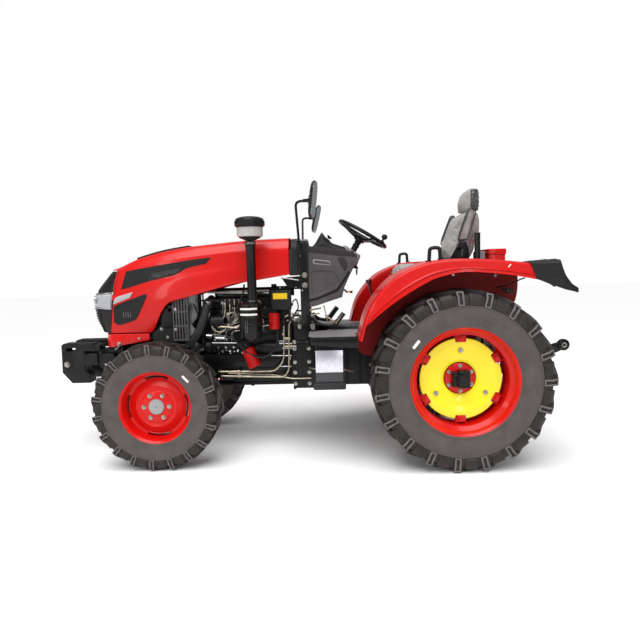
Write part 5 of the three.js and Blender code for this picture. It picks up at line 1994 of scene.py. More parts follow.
def sump(bm):
    mm_box(bm, (1182, 1660), (-150, 150), (524, 640))
    mm_box(bm, (1174, 1204), (-196, 196), (520, 860))
    soften(bm, 14, 3)
    for k in range(7):
        mm_box(bm, (1240 + k * 62, 1250 + k * 62), (-154, 154), (536, 640))


def bulkhead(bm):
    plate(bm, [(1246, 1332), (1092, 1344), (1095, 1247), (1150, 1247), (1160, 1256), (1196, 1252)], 222, 230)
    plate(bm, [(1330, 1262), (1180, 1262), (1180, 1180), (1300, 1180), (1330, 1200)], 196, 204)
    soften(bm, 2, 1)


def frame_covers(bm):
    mm_box(bm, (2104, 2286), (150, 226), (892, 1008))
    soften(bm, 8, 2)


single(plated_rods, "engine_plated_fittings", CHROME, "chassis", [])
single(warm_pipes, "engine_cooling_pipes", BRASS_PIPE, "chassis", [])
single(sump, "engine_sump", CAST, "chassis", [])
single(twin(bulkhead), "bulkhead_plates", GLOSS_BLACK, "chassis", [])
single(twin(frame_covers), "frame_covers", CAST, "chassis", [])
print("fittings", len(made_pieces))

# %% [markdown]
# ## Air cleaner
# A steel canister holds the filter and its oil; a stack lifts the intake over the hood's dust, and a
# bowl-shaped precleaner on top spins the coarse dirt out of the air. The canister is spun sheet, so it
# shows rolled bands and a lid seam with two spring clips.

# %% Canister, stack and precleaner
CLEANER = (1467, 416)
STACK = (1449, 416)


def canister(bm):
    x, y = CLEANER
    spun(bm, [
        (0, 885), (30, 885), (34, 901), (66, 903), (78, 908), (83, 918), (84, 1004), (86, 1006), (86,
        1014), (84, 1016),
        (84, 1056), (85.5, 1058), (85.5, 1064), (84, 1066), (84, 1104), (85.5, 1106), (
            85.5, 1112
        ), (84, 1114),
        (84, 1146), (80, 1158), (70, 1163), (40, 1165), (0, 1165),
    ], (x, y, 0), 64, (0, 0, 1))
    clean(bm)
    braces = mm_box(bm, (x - 28, x + 28), (150, y - 70), (952, 984))
    braces += mm_box(bm, (x - 28, x + 28), (150, y - 70), (885, 899))
    braces += mm_box(bm, (x - 58, x + 58), (y - 95, y - 78), (886, 984))
    soften(bm, 3, 2, 30, braces)


def stack(bm):
    x, y = STACK
    spun(bm, [
        (0, 1150), (42, 1150), (42, 1172), (36, 1178), (34, 1184), (34, 1560), (37, 1566), (37, 1604), (
            34, 1610
        ), (0, 1613),
    ], (x, y, 0), 48, (0, 0, 1))
    clean(bm)


def stack_clip(bm):
    x, y = STACK
    for z in (1172, 1592):
        spun(
            bm, [(36, z - 8), (39.5, z - 8), (39.5, z + 8), (36, z + 8), (36, z - 8)], (x, y, 0), 40,
            (0, 0, 1)
        )
    clean(bm)
    drum(bm, (x + 30, y + 30, 1592), (x + 50, y + 34, 1592), 6, segments=12)
    for degrees in (78, 180):
        turn = math.radians(degrees)
        place = Vector((CLEANER[0] + math.cos(turn) * 88, CLEANER[1] + math.sin(turn) * 88, 1008))
        out = Vector((math.cos(turn), math.sin(turn), 0))
        side = Vector((-out.y, out.x, 0))
        for s in (-7, 7):
            pipe(
                bm,
                [
                    place + side * s + Vector((0, 0, 34)), place + side * s + out * 7,
                    place + side * s + Vector((0, 0, -50))
                ],
                1.8, 12, 8
            )
        pipe(
            bm, [place - side * 9 + Vector((0, 0, -50)), place + side * 9 + Vector((0, 0, -50))], 2.4,
            segments=8
        )


def canister_labels(bm):
    """Two plain foil strips that lie round the canister."""
    x, y = CLEANER
    for z in (1124, 1083):
        sections = []
        for k in range(15):
            turn = math.radians(40 + 92 * k / 14)
            c, s = math.cos(turn), math.sin(turn)
            sections.append(
                [(x + c * r, y + s * r, z + h) for r, h in ((84, -7), (86, -7), (86, 7), (84, 7))]
            )
        sweep(bm, sections)


def precleaner_base(bm):
    x, y = STACK
    spun(bm, [
        (0, 1614), (42, 1614), (46, 1618), (66, 1626), (80, 1634), (84, 1640), (84, 1648), (0, 1648),
    ], (x, y, 0), 64, (0, 0, 1))
    clean(bm)
    for k in range(16):
        turn = math.tau * k / 16
        vane = mm_box(bm, (x + 58, x + 82), (y - 2, y + 2), (1646, 1712))
        turn_about(bm, vane, (x + 70, y, 0), "Z", 38)
        turn_about(bm, vane, (x, y, 0), "Z", math.degrees(turn))
    drum(bm, (x, y, 1640), (x, y, 1716), 40, segments=28)


def precleaner_bowl(bm):
    x, y = STACK
    spun(bm, [
        (84, 1638), (90, 1641), (93, 1650), (94, 1700), (90, 1714), (86, 1712), (90, 1700), (89, 1652),
        (84, 1645), (84, 1638),
    ], (x, y, 0), 72, (0, 0, 1))
    clean(bm)


def precleaner_cap(bm):
    x, y = STACK
    spun(bm, [
        (0, 1708), (88, 1708), (92, 1704), (96, 1706), (108, 1716), (109, 1720), (107, 1728), (104,
        1746), (102, 1760),
        (98, 1766), (90, 1771), (70, 1778), (40, 1782), (0, 1782),
    ], (x, y, 0), 80, (0, 0, 1))
    clean(bm)
    for k in range(30):
        rib = mm_box(bm, (x + 104, x + 108.5), (y - 2.5, y + 2.5), (1726, 1748))
        turn_about(bm, rib, (x, y, 0), "Z", 12 * k)
    bolt(bm, (x, y, 1777), (0, 0, 1), 16, 5)


single(canister, "air_cleaner_canister", GLOSS_BLACK, "chassis", ["air_cleaner"])
single(stack, "air_cleaner_stack", GLOSS_BLACK, "chassis", [])
single(stack_clip, "air_cleaner_clips", STEEL, "chassis", [])
single(canister_labels, "air_cleaner_strips", WHITE_PLASTIC, "chassis", [])
single(precleaner_base, "precleaner_vanes", DARK_PLASTIC, "chassis", ["precleaner"])
single(precleaner_bowl, "precleaner_bowl", BOWL, "chassis", [])
single(precleaner_cap, "precleaner_cap", BLACK_PLASTIC, "chassis", [])

# %% [markdown]
# ## Exhaust
# The silencer lies along the right side of the engine under its manifold, and its pipe turns down to blow
# under the floor. Heat dulls its paint to a brownish black.

# %% Exhaust
def exhaust(bm):
    y = -238
    mm_box(bm, (1342, 1758), (-194, -150), (927, 983))
    for k in range(4):
        drum(bm, (1390 + k * 108, -120, 1052), (1390 + k * 108, -178, 955), 24, segments=20)
    soften(bm, 8, 3)
    drum(bm, (1520, -180, 955), (1520, -232, 955), 24, segments=24)
    spun(
        bm,
        [(0, 1370), (40, 1370), (50, 1374), (54, 1382), (54, 1688), (50, 1696), (40, 1700), (0, 1700)],
        (0, y, 955), 48, (1, 0, 0)
    )
    clean(bm)
    pipe(bm, [(1400, y, 955), (1302, y, 955), (1302, y, 582), (1180, y, 582)], 21.5, 60, 20)


single(exhaust, "exhaust_silencer", SOOT, "chassis", ["exhaust"])
print("air and exhaust", len(made_pieces))

# %% [markdown]
# ## Cowl
# Behind the engine a black steel hoop carries the hood's hinge, the console and the mirrors. A ribbed
# rubber seal lies round its front, so that the closed hood beds on it and engine heat stays out.

# %% Hoop, seal and posts
def hoop_line(drop):
    """The hoop in front view, left foot to right foot, drawn in by a drop."""
    half = [(0, 297 - drop, 1352), (0, 297 - drop, 1567), (0, 250 - drop, 1615 - drop), (0, 148, 1634 - drop)]
    line = bent_line(half + [(0, -y, z) for _, y, z in reversed(half)], 26, 4)
    return [(p.y, p.z) for p in line]


def hoop_band(bm, x0, x1, low, high, front_at_side=None):
    """A band between two drops of the hoop; its front may reach further along the sides."""
    sections = []
    for (ya, za), (yb, zb) in zip(hoop_line(low), hoop_line(high)):
        front = front_at_side if front_at_side and za < 1545 else x1
        sections.append([(x0, ya, za), (front, ya, za), (front, yb, zb), (x0, yb, zb)])
    sweep(bm, sections)


def hood_seal(bm):
    hoop_band(bm, 1120, 1167, 4, 30, 1181)
    for k in range(4):
        hoop_band(bm, 1122 + k * 12, 1129 + k * 12, -1, 6, None)
    soften(bm, 2, 1)


def cowl(bm):
    hoop_band(bm, 1046, 1118, 6, 30)
    for side in (-1, 1):
        mm_box(bm, (1040, 1104), (side * 274, side * 293), (990, 1596))
        mm_box(bm, (1046, 1092), (side * 247, side * 290), (986, 1400))
        mm_box(bm, (1156, 1192), (side * 134, side * 144), (1617, 1629))
    mm_box(bm, (1002, 1150), (-290, 290), (985, 997))
    mm_box(bm, (1040, 1110), (-140, 140), (851, 990))
    soften(bm, 4, 2)
    for side in (-1, 1):
        drum(bm, (1186, side * 92, 1624), (1186, side * 140, 1624), 4.5, segments=16)
        mm_box(bm, (1110, 1172), (side * 200, side * 262), (1040, 1052))


def cowl_bolts(bm):
    for z, size in ((1353, 30), (1277, 30)):
        drum(bm, (1069, 293, z), (1069, 297, z), size * 0.68, segments=28)
        drum(bm, (1069, 297, z), (1069, 303, z), size * 0.55, size * 0.45, 28)
    for x, z in ((1121, 1319), (1096, 1500), (1090, 1240)):
        bolt(bm, (x, 290, z), (0, 1, 0), 13, 7)
    for x in (1023, 1118):
        bolt(bm, (x, 262, 997), (0, 0, 1), 17, 9)
        bolt(bm, (x, 284, 960), (0, 1, 0), 17, 9)
    mm_box(bm, (1004, 1030), (262, 288), (940, 986))


single(hood_seal, "hood_seal", SEAL, "chassis", [])
single(cowl, "cowl_hoop", GLOSS_BLACK, "chassis", ["cowl_frame"])
single(twin(cowl_bolts), "cowl_bolts", ZINC, "chassis", [])

# %% [markdown]
# ## Console
# The console is two deep mouldings bolted to the hoop, with a hump for the gauges and a shroud round the
# steering column. Each side has a recessed panel, which stiffens a large flat moulding, and a small plate
# with nothing on it. The dark lower band is the joint between the upper and the lower moulding.

# %% Console mouldings
CONSOLE_SIDE = [
    (1043, 1568), (940, 1556), (852, 1543), (770, 1534), (712, 1518), (680, 1498), (671, 1470), (692, 1420),
    (735, 1335), (776, 1248), (786, 1200), (792, 1180), (860, 1160), (1002, 1116), (1043, 1112),
]
CONSOLE_RECESS = [
    (1018, 1384), (866, 1380), (838, 1360), (802, 1296), (880, 1262), (1004, 1200), (1018, 1215)
]


def framed(bm, outer, inner, y0, y1, count=56):
    """A flat ring between two outlines that start at matching corners."""
    rings = []
    for outline in (outer, inner):
        rings.append(resample(outline + outline[:1], count + 1)[:-1])
    sweep(bm, [
        [(xa, y0, za), (xa, y1, za), (xb, y1, zb), (xb, y0, zb)] for (xa, za), (xb, zb) in zip(*rings)
    ], closed=True)


def console_body(bm):
    plate(bm, CONSOLE_SIDE, -277, 277)
    soften(bm, 9, 3)


def console_side(bm):
    framed(bm, CONSOLE_SIDE, CONSOLE_RECESS, 274, 283)
    soften(bm, 4, 3, 40)


def console_shoulder(bm):
    plate(bm, [
        (
            1042, 1569
        ), (940, 1557), (852, 1544), (770, 1535), (712, 1519), (678, 1498), (672, 1480), (760, 1488),
        (830, 1492), (930, 1510), (1042, 1522),
    ], 280, 287)
    plate(
        bm, [(822, 1472), (790, 1486), (768, 1478), (750, 1440), (752, 1402), (766, 1375), (778, 1388)],
        280, 287
    )
    soften(bm, 4, 3, 40)


def console_rim(bm):
    """The shadow gap between the two mouldings."""
    upper = [(1042, 1172), (980, 1184), (832, 1246), (764, 1340), (744, 1376)]
    lower = [(1042, 1152), (980, 1165), (820, 1226), (748, 1332), (730, 1366)]
    high, low = resample(upper, 20), resample(lower, 20)
    sweep(
        bm,
        [
            [(xa, 281, za), (xa, 286, za), (xb, 286, zb), (xb, 281, zb)] for (xa, za),
            (xb, zb) in zip(high, low)
        ]
    )
    soften(bm, 2, 1)


def console_plate(bm):
    plate(
        bm,
        [
            (1004, 1462), (996, 1470), (882, 1454), (874, 1444), (874, 1428), (884, 1421), (996, 1434),
            (1004, 1442)
        ],
        282, 286
    )
    soften(bm, 1.5, 2)


def console_plate_face(bm):
    plate(
        bm, [(997, 1447), (993, 1463), (884, 1448), (880, 1444), (881, 1431), (886, 1427), (992, 1441)],
        284, 287.5
    )


def console_hump(bm):
    sections = []
    for share in (-1, -0.94, -0.8, -0.5, 0, 0.5, 0.8, 0.94, 1):
        y = 160 * share
        drop = 1 - (0.52 * abs(share) ** 7)
        ring = [
            (1040, 1556), (1010, 1575), (992, 1590), (938, 1680), (930, 1680), (896, 1626), (848, 1592),
            (764, 1564), (742, 1534), (760, 1520), (1040, 1520)
        ]
        sections.append([(x, y, 1520 + (z - 1520) * drop) for x, z in ring])
    sweep(bm, sections)
    soften(bm, 5, 2, 35)


def gauge_panel(bm):
    low, high = Vector((850, 0, 1600)), Vector((924, 0, 1664))
    up = (high - low).normalized()
    face = Vector((-up.z, 0, up.x))
    for y, radius in ((-58, 30), (58, 30), (0, 16)):
        centre = (low + high) / 2 + Vector((0, y, 0)) - face * 9
        drum(bm, centre, centre + face * 6, radius, segments=36)
        spun(bm, [(radius - 3, 4), (radius, 9), (radius + 3, 4), (radius - 3, 4)], centre, 36, face)
    clean(bm)


def column_shroud(bm):
    outline = [
        (770, 1572), (747, 1576), (684, 1530), (640, 1502), (632, 1492), (660, 1420), (686, 1392),
        (720, 1400), (760, 1500)
    ]
    sections = []
    for share, grow in ((-1, 0.72), (-0.9, 0.9), (-0.6, 1), (0.6, 1), (0.9, 0.9), (1, 0.72)):
        sections.append([(705 + (x - 705) * grow, 92 * share, 1485 + (z - 1485) * grow) for x, z in outline])
    sweep(bm, sections)
    soften(bm, 6, 3, 30)


TILT = math.radians(31)


def on_column(height, ahead, y=0.0):
    """A place over the steering wheel's plane and along it."""
    return Vector((
        610 - height * math.sin(TILT) + ahead * math.cos(TILT), y,
        1664 + height * math.cos(TILT) + ahead * math.sin(TILT),
    ))


def column(bm):
    drum(bm, on_column(-66, 0), on_column(-86, 0), 27, 27, 32)
    drum(bm, on_column(-86, 0), on_column(-200, 0), 23, 27, 32)
    drum(bm, on_column(-100, 0), on_column(-112, 0), 28, segments=32)
    soften(bm, 2, 1)


def dash_controls(bm):
    drum(bm, (690, 96, 1416), (668, 112, 1398), 13, segments=20)
    drum(bm, (668, 112, 1398), (660, 118, 1392), 9, 7, 16)
    plate(bm, [(660, 1392), (676, 1384), (674, 1342), (666, 1340)], 113, 118)
    pipe(bm, [(782, 120, 1236), (762, 130, 1226), (748, 132, 1206)], 7, 10, 10)
    for y in (-110, -60, 60, 110):
        mm_box(bm, (690, 712), (y - 11, y + 11), (1520, 1530))
    soften(bm, 2, 1)


def red_lever(bm):
    pipe(bm, [(748, 132, 1214), (722, 134, 1212)], 5, segments=10)
    drum(bm, (724, 134, 1212), (706, 134, 1211), 9, 12, 16)


single(console_body, "console_body", CONSOLE, "chassis", ["dash_console"])
both_sides(console_side, "console_side_{}", CONSOLE, "chassis", [])
both_sides(console_shoulder, "console_shoulder_{}", SHOULDER, "chassis", [])
both_sides(console_plate_face, "console_plate_face_{}", CONSOLE, "chassis", [])
both_sides(console_rim, "console_joint_{}", BLACK_PLASTIC, "chassis", [])
both_sides(console_plate, "console_plate_{}", SILVER_PAINT, "chassis", [])
single(console_hump, "gauge_hump", DARK_PLASTIC, "chassis", [])
single(gauge_panel, "gauges", BLACK_PLASTIC, "chassis", [])
single(column_shroud, "column_shroud", PALE_PLASTIC, "chassis", [])
single(column, "steering_column", BLACK_PLASTIC, "chassis", [])
single(dash_controls, "key_and_switches", BLACK_PLASTIC, "chassis", [])
single(red_lever, "stop_lever", SMOOTH_RED, "chassis", [])

# %% [markdown]
# ## Steering wheel
# The rim is soft plastic moulded over a steel ring, with finger hollows on its underside. Three spokes
# sweep down to a deep hub, and a ball on a short pin lets the driver spin the wheel with one hand.

# %% Steering wheel and spinner
def wheel_place(bm, verts):
    bmesh.ops.rotate(bm, verts=verts, cent=(0, 0, 0), matrix=Matrix.Rotation(-TILT, 3, "Y"))
    bmesh.ops.translate(bm, verts=verts, vec=(610, 0, 1664))


def wheel_rim(bm):
    sections = []
    for i in range(96):
        turn = math.tau * i / 96
        dip = 1.6 * max(0.0, math.cos(turn * 24))
        ring = []
        for k in range(12):
            a = math.tau * k / 12
            r = 203.5 + 15 * math.cos(a)
            ring.append(
                (
                    math.cos(turn) * r, math.sin(turn) * r,
                    15 * math.sin(a) + (dip if math.sin(a) < -0.4 else 0)
                )
            )
        sections.append(ring)
    sweep(bm, sections, closed=True)
    for i in range(3):
        turn = math.tau * i / 3
        out = Vector((math.cos(turn), math.sin(turn), 0))
        side = Vector((-out.y, out.x, 0))
        sections = []
        for reach, high, wide, thick in (
            (28, -44, 34, 16), (70, -37, 27, 12), (120, -25, 20, 10), (165, -11, 17, 9), (200, -2, 20, 10)
        ):
            ring = []
            for k in range(12):
                a = math.tau * k / 12
                ring.append(
                    out * reach + side * wide * math.cos(a) + Vector((0, 0, high + thick * math.sin(a)))
                )
            sections.append(ring)
        sweep(bm, sections)
    spun(bm, [
        (0, -65), (40, -65), (44, -60), (44, -48), (50, -42), (56, -34), (56, -26), (48, -20), (30, -17),
        (0, -16),
    ], (0, 0, 0), 48, (0, 0, 1))
    clean(bm)
    wheel_place(bm, bm.verts[:])


def spinner(bm):
    place = (-155, 134)
    drum(bm, (*place, -4), (*place, 36), 8, segments=20)
    mm_box(bm, (place[0] - 18, place[0] + 18), (place[1] - 20, place[1] + 20), (9, 18))
    soften(bm, 3, 2)
    spun(bm, [
        (0, 32), (10, 32), (18, 37), (22, 45), (22, 56), (18, 66), (10, 71), (0, 72),
    ], (*place, 0), 36, (0, 0, 1))
    clean(bm)
    wheel_place(bm, bm.verts[:])


single(
    wheel_rim, "steering_wheel_moulding", BLACK_PLASTIC, "steering_wheel", ["steering_wheel"],
)
single(spinner, "steering_spinner", BLACK_PLASTIC, "steering_wheel", [])

# %% [markdown]
# ## Mirrors
# Each mirror is a shallow moulded shell on a bent tube that stands out past the fenders. The back of the
# shell is domed and the glass sits in a thin rim facing the driver.

# %% Mirrors
def mirror_frame(bm, build, lean, turn):
    """Draws a mirror's parts upright about its own centre, then turns, leans and places them."""
    before = set(bm.verts)
    build()
    fresh = [v for v in bm.verts if v not in before]
    turn_about(bm, fresh, (0, 0, 0), "Z", turn)
    turn_about(bm, fresh, (0, 0, 0), "Y", lean)
    bmesh.ops.translate(bm, verts=fresh, vec=(990, 660, 1855))


def oval(half_y, half_z, x, count=40):
    """A rounded oblong across the mirror."""
    ring = []
    for k in range(count):
        a = math.tau * k / count
        c, s = math.cos(a), math.sin(a)
        ring.append((x, half_y * math.copysign(abs(c) ** 0.6, c), half_z * math.copysign(abs(s) ** 0.6, s)))
    return ring


def mirror_shell(bm, lean, turn):
    def draw():
        sweep(bm, [
            oval(76, 122, -14), oval(80, 126, -13), oval(80, 126, -6), oval(74, 120, 3), oval(58, 104, 10),
            oval(30, 70, 13.5),
        ])
        for k in range(4):
            mm_box(bm, (10, 26), (-14, 14), (-26 + k * 15, -18 + k * 15))
    mirror_frame(bm, draw, lean, turn)
    mm_box(bm, (1085, 1120), (297, 308), (1500, 1560))
    pipe(bm, [(1102, 308, 1502), (1102, 318, 1580), (1108, 575, 1858), (1004, 640, 1858)], 9, 46, 16, 8)
    drum(bm, (1050, 612, 1858), (1012, 636, 1858), 12, segments=20)


def mirror_glass(bm, lean, turn):
    def draw():
        sweep(bm, [oval(70, 116, -15.4), oval(72, 118, -13)])
    mirror_frame(bm, draw, lean, turn)


# The left glass looks a little outwards and the right one inwards, each as its driver has left it.
for side, lean, turn in (("left", -7, -11), ("right", -14, 12)):
    for build, name, material, slot in (
        (mirror_shell, "mirror_shell", BLACK_PLASTIC, "black_paint"),
        (mirror_glass, "mirror_glass", MIRROR, "bright_steel"),
    ):
        bm = bmesh.new()
        build(bm, lean, turn)
        if side == "right":
            mirrored(bm)
        settle(bm, f"{name}_{side}", material, "chassis", [f"mirror_{side}"])

# %% [markdown]
# ## Pedals and gear lever
# The clutch pedal is on the left and the two brake pedals on the right, all hung on one cross shaft under
# the console with ribbed rubber faces. The gear lever stands in a rubber boot beside the seat.

# %% Pedals and lever
def pedal_arms(bm):
    drum(bm, (1022, -262, 1009.3), (1022, 262, 1009.3), 12, segments=24)
    for y in (225, -150, -232):
        drum(bm, (1022, y - 16, 1009.3), (1022, y + 16, 1009.3), 19, segments=24)
        x, z = (808, 1002) if y > 0 else (848, 1018)
        pipe(
            bm,
            [
                (1022, y, 1009), (968, y, 972), (x + 46, y, z - 52), (x + 30, y, z - 34),
                (x - 30, y, z + 44)
            ],
            10, 30, 12
        )
        made = mm_box(bm, (-60, 60), (y - 37, y + 37), (-4, 1))
        turn_about(bm, made, (0, 0, 0), "Y", 52)
        bmesh.ops.translate(bm, verts=made, vec=(x, 0, z))


def pedal_pads(bm):
    for y, x, z in ((225, 808, 1002), (-150, 848, 1018), (-232, 848, 1018)):
        made = mm_box(bm, (-58, 58), (y - 36, y + 36), (0, 24))
        for k in range(7):
            made += mm_box(bm, (-54 + k * 16, -46 + k * 16), (y - 34, y + 34), (23, 30))
        soften(bm, 1.5, 1, 30, made)
        made = [v for v in bm.verts if abs(v.co.x) < 62 and abs(v.co.z) < 40]
        turn_about(bm, made, (0, 0, 0), "Y", 52)
        bmesh.ops.translate(bm, verts=made, vec=(x, 0, z))


def gear_boot(bm):
    spun(bm, [
        (0, 925.5), (
            40, 925.5
        ), (42, 930), (36, 936), (37, 942), (32, 947), (33, 953), (27, 958), (24, 966), (0, 968),
    ], (545, 290, 0), 40, (0, 0, 1))
    clean(bm)


def gear_stick(bm):
    pipe(bm, [(545, 290, 955), (558, 297, 1130), (584, 300, 1250)], 8, 60, 14, 8)


def gear_knob(bm):
    low, axis = Vector((580, 300, 1238)), Vector((14, 0, 69)).normalized()
    spun(bm, [
        (0, 0), (11, 0), (12, 6), (13, 26), (17, 44), (23, 56), (24, 62), (20, 68), (12, 70.5), (0, 71),
    ], low, 36, axis)
    clean(bm)


single(pedal_arms, "pedal_arms", GLOSS_BLACK, "chassis", ["pedals"])
def pedal_rods(bm):
    for a, b, radius in (
        ((1031, 236, 1087), (952, 236, 1099), 6), ((1023, 240, 1048), (964, 240, 1060), 6),
        ((913, 244, 1036), (850, 252, 989), 7), ((842, 262, 985), (792, 262, 1049), 4), (
            (930, 236, 1110), (905, 236, 1000), 4
        ),
    ):
        drum(bm, a, b, radius, segments=14)
        drum(bm, (a[0], a[1] - 9, a[2]), (a[0], a[1] + 9, a[2]), radius * 1.8, segments=16)


single(pedal_rods, "pedal_rods", BRASS_PIPE, "chassis", [])
single(pedal_pads, "pedal_pads", SEAL, "chassis", [])
single(gear_boot, "gear_lever_boot", SEAL, "chassis", [])
single(gear_stick, "gear_lever_stick", GLOSS_BLACK, "chassis", ["gear_lever"])
single(gear_knob, "gear_lever_knob", KNOB, "chassis", [])
print("cowl and controls", len(made_pieces))

# %% [markdown]
# ## Floor plates and steps
# Each side has a pressed floor plate with a rubber mat and a deep rolled front edge. A step hangs from
# it: a bright plate that shields the tank behind, and a rubber tread with grooves for a muddy boot.

# %% Floor and step
FLOOR_PLAN = [
    (300, 151), (915, 151), (915, 210), (1055, 210), (1055, 572), (1030, 611), (700, 611), (700, 441),
    (300, 441)
]


def floor_plate(bm):
    plate(bm, FLOOR_PLAN, 903, 922, "z")
    sections = []
    for x, low in ((702, 842), (760, 844), (1000, 866), (1026, 872), (1044, 884), (1053, 900)):
        inset = max(0, x - 1010) ** 2 / 55
        sections.append([(x, y - inset, z) for y, z in (
            (560, 903), (600, low + 6), (606, low), (
                612, low + 6
            ), (615, 890), (612, 912), (602, 923), (586, 926), (560, 924),
        )])
    sweep(bm, sections)
    mm_box(bm, (1043, 1054), (215, 567), (845, 916))
    mm_box(bm, (740, 860), (151, 420), (850, 904))
    soften(bm, 4, 3)
    for x in (760, 860, 960):
        bolt(bm, (x, 560, 921), (0, 0, 1), 13, 5)


def floor_mat(bm):
    plate(
        bm,
        [
            (712, 452), (712, 602), (1022, 602), (1046, 566), (1046, 218), (906, 218), (906, 160),
            (320, 160), (320, 434), (712, 434)
        ],
        920, 926, "z"
    )
    soften(bm, 2, 2)


def step_hanger(bm):
    mm_box(bm, (807, 997), (546, 556), (620, 915))
    mm_box(bm, (806, 998), (536, 556), (556, 640))
    soften(bm, 3, 2)


def step_shield(bm):
    mm_box(bm, (804, 998), (556, 561), (664, 822))
    soften(bm, 2, 2)


def step_tread(bm):
    mm_box(bm, (789, 1014), (472, 618), (556, 566))
    plate(
        bm,
        [
            (795, 552), (1008, 552), (1016, 560), (1016, 588), (1008, 598), (795, 598), (787, 588),
            (787, 560)
        ],
        600, 620
    )
    soften(bm, 8, 3)
    sweep(
        bm,
        [
            [(806, 556, 664), (806, 561, 664), (806, 606, 604), (806, 601, 600)],
            [(998, 556, 664), (998, 561, 664), (998, 606, 604), (998, 601, 600)]
        ]
    )
    for k in range(9):
        mm_box(bm, (794, 1009), (480 + k * 15, 487 + k * 15), (565, 571))
    for k in range(13):
        mm_box(bm, (802 + k * 16, 810 + k * 16), (596, 610), (596, 612))


both_sides(floor_plate, "floor_plate_{}", GLOSS_BLACK, "chassis", ["footplate_{}"])
both_sides(floor_mat, "floor_mat_{}", FLOOR_MAT, "chassis", [])
both_sides(step_hanger, "step_hanger_{}", GLOSS_BLACK, "chassis", [])
both_sides(step_shield, "step_shield_{}", BRIGHT_SHEET, "chassis", [])
both_sides(step_tread, "step_tread_{}", SEAL, "chassis", [])

# %% [markdown]
# ## Fenders
# A fender is one pressing: an inner wall bolted to the axle, a crest that follows the tyre and a skirt
# with a pressed line and a rolled edge, which keeps thin sheet from drumming. It is drawn as a section
# carried along the crest and then given its sheet thickness.

# %% Fender pressing
CREST = [(699, 916), (630, 1131), (472, 1321), (266, 1418), (61, 1441), (-180, 1431), (-460, 1398)]
SKIRT_EDGE = [
    (699, 917), (646, 1015), (463, 1166), (243, 1296), (130, 1334), (-13, 1354), (-268, 1330),
    (-464, 1293)
]
INNER_EDGE = [(696, 914), (640, 764), (200, 794), (-150, 864), (-430, 1104), (-458, 1390)]


def eased(points, count=40, runs=8):
    """A run of points smoothed by a curve through all of them, as equally spaced places."""
    line = []
    for i in range(len(points) - 1):
        a, b, c, d = (Vector(points[min(max(j, 0), len(points) - 1)]) for j in (i - 1, i, i + 1, i + 2))
        for k in range(runs):
            t = k / runs
            line.append(
                0.5
                * (
                    2 * b + (c - a) * t + (2 * a - 5 * b + 4 * c - d) * t * t
                    + (3 * b - a - 3 * c + d) * t ** 3
                )
            )
    line.append(Vector(points[-1]))
    return resample([tuple(p) for p in line], count)


FENDER_INNER_Y, FENDER_OUTER_Y = 443, 793


def fender_lines():
    """Cross-sections of a fender, from its inner panel over the crest to the rolled outer edge."""
    crest, skirt, inner = eased(CREST), eased(SKIRT_EDGE), eased(INNER_EDGE)
    lines = []
    for i, ((cx, cz), (sx, sz), (ix, iz)) in enumerate(zip(crest, skirt, inner)):
        a, b = Vector(crest[max(i - 1, 0)]), Vector(crest[min(i + 1, len(crest) - 1)])
        along = (b - a).normalized()
        inward = Vector((-along.y, along.x)) if along.x < 0 else Vector((along.y, -along.x))
        if inward.y > 0:
            inward = -inward
        line = []
        for share in (0, 0.5, 0.94):
            line.append((ix + (cx - ix) * share, FENDER_INNER_Y, iz + (cz - iz) * share))
        for y, drop in (
            (FENDER_INNER_Y, 9), (446, 3), (452, 0.8), (520, 0), (620, 0), (720, 0), (760, 0.5),
            (776, 2.5), (788, 8), (FENDER_OUTER_Y, 18)
        ):
            line.append((cx + inward.x * drop, y, cz + inward.y * drop))
        depth = math.dist((cx, cz), (sx, sz))
        if depth < 26:
            base = Vector((cx, cz)) + inward * 18
            for share in (0.2, 0.35, 0.5, 0.65, 0.8, 1.0, 1.0):
                line.append((base.x, FENDER_OUTER_Y - share, base.y - share * 3))
        else:
            for share, y in (
                (0.45, 791), (0.64, 790), (0.69, 796), (0.75, 796), (0.79, 791), (1.0, 794), (1.0, 782)
            ):
                line.append((cx + (sx - cx) * share, y, cz + (sz - cz) * share))
        lines.append(line)
    return lines


def fender(bm):
    skin(bm, fender_lines())
    bmesh.ops.recalc_face_normals(bm, faces=bm.faces[:])
    top = max(bm.faces, key=lambda f: f.calc_center_median().z)
    if top.normal.z < 0:
        bmesh.ops.reverse_faces(bm, faces=bm.faces[:])
    bmesh.ops.solidify(bm, geom=bm.faces[:], thickness=3.5)
    bmesh.ops.recalc_face_normals(bm, faces=bm.faces[:])
    # Painted shade: faces turned towards the axle, and the sides of the inner wall and skirt that face the
    # tyre, take the darker red of the second slot.
    for face in bm.faces:
        place, way = face.calc_center_median(), face.normal
        to_axle = Vector((-place.x, 0, REAR_R - place.z)).normalized()
        if way.dot(to_axle) > 0.3 or (place.y > 770 and way.y < -0.6) or (place.y < 455 and way.y > 0.6):
            face.material_index = 1


def fender_label(bm):
    plate(bm, [(-274, 1375), (-268, 1379), (-286, 1398), (-292, 1394)], 793, 795.4)


def fender_bolts(bm):
    for x, z in ((500, 1100), (300, 1240), (0, 1330), (-300, 1320), (420, 860)):
        bolt(bm, (x, 447, z), (0, 1, 0), 15, 8)


both_sides(fender, "fender_pressing_{}", [RED, RED_PAINTED_SHADE], "chassis", ["fender_{}"], 28)
both_sides(fender_bolts, "fender_bolts_{}", ZINC, "chassis", [])
both_sides(fender_label, "fender_label_{}", WHITE_PLASTIC, "chassis", [])

# %% [markdown]
# ## Fender flaps
# A moulded rubber flap carries each fender on behind the wheel. Its ridges run lengthways, which makes a
# soft moulding stand out stiffly, and its end drops to a tongue.

# %% Flap
FLAP_TOP = [(-412, 1407), (-520, 1411), (-615, 1419), (-628, 1372), (-646, 1322), (-686, 1262), (-726, 1236)]
FLAP_LOW = [(-458, 1296), (-500, 1280), (-560, 1254), (-593, 1243), (-650, 1222), (-700, 1210), (-728, 1203)]


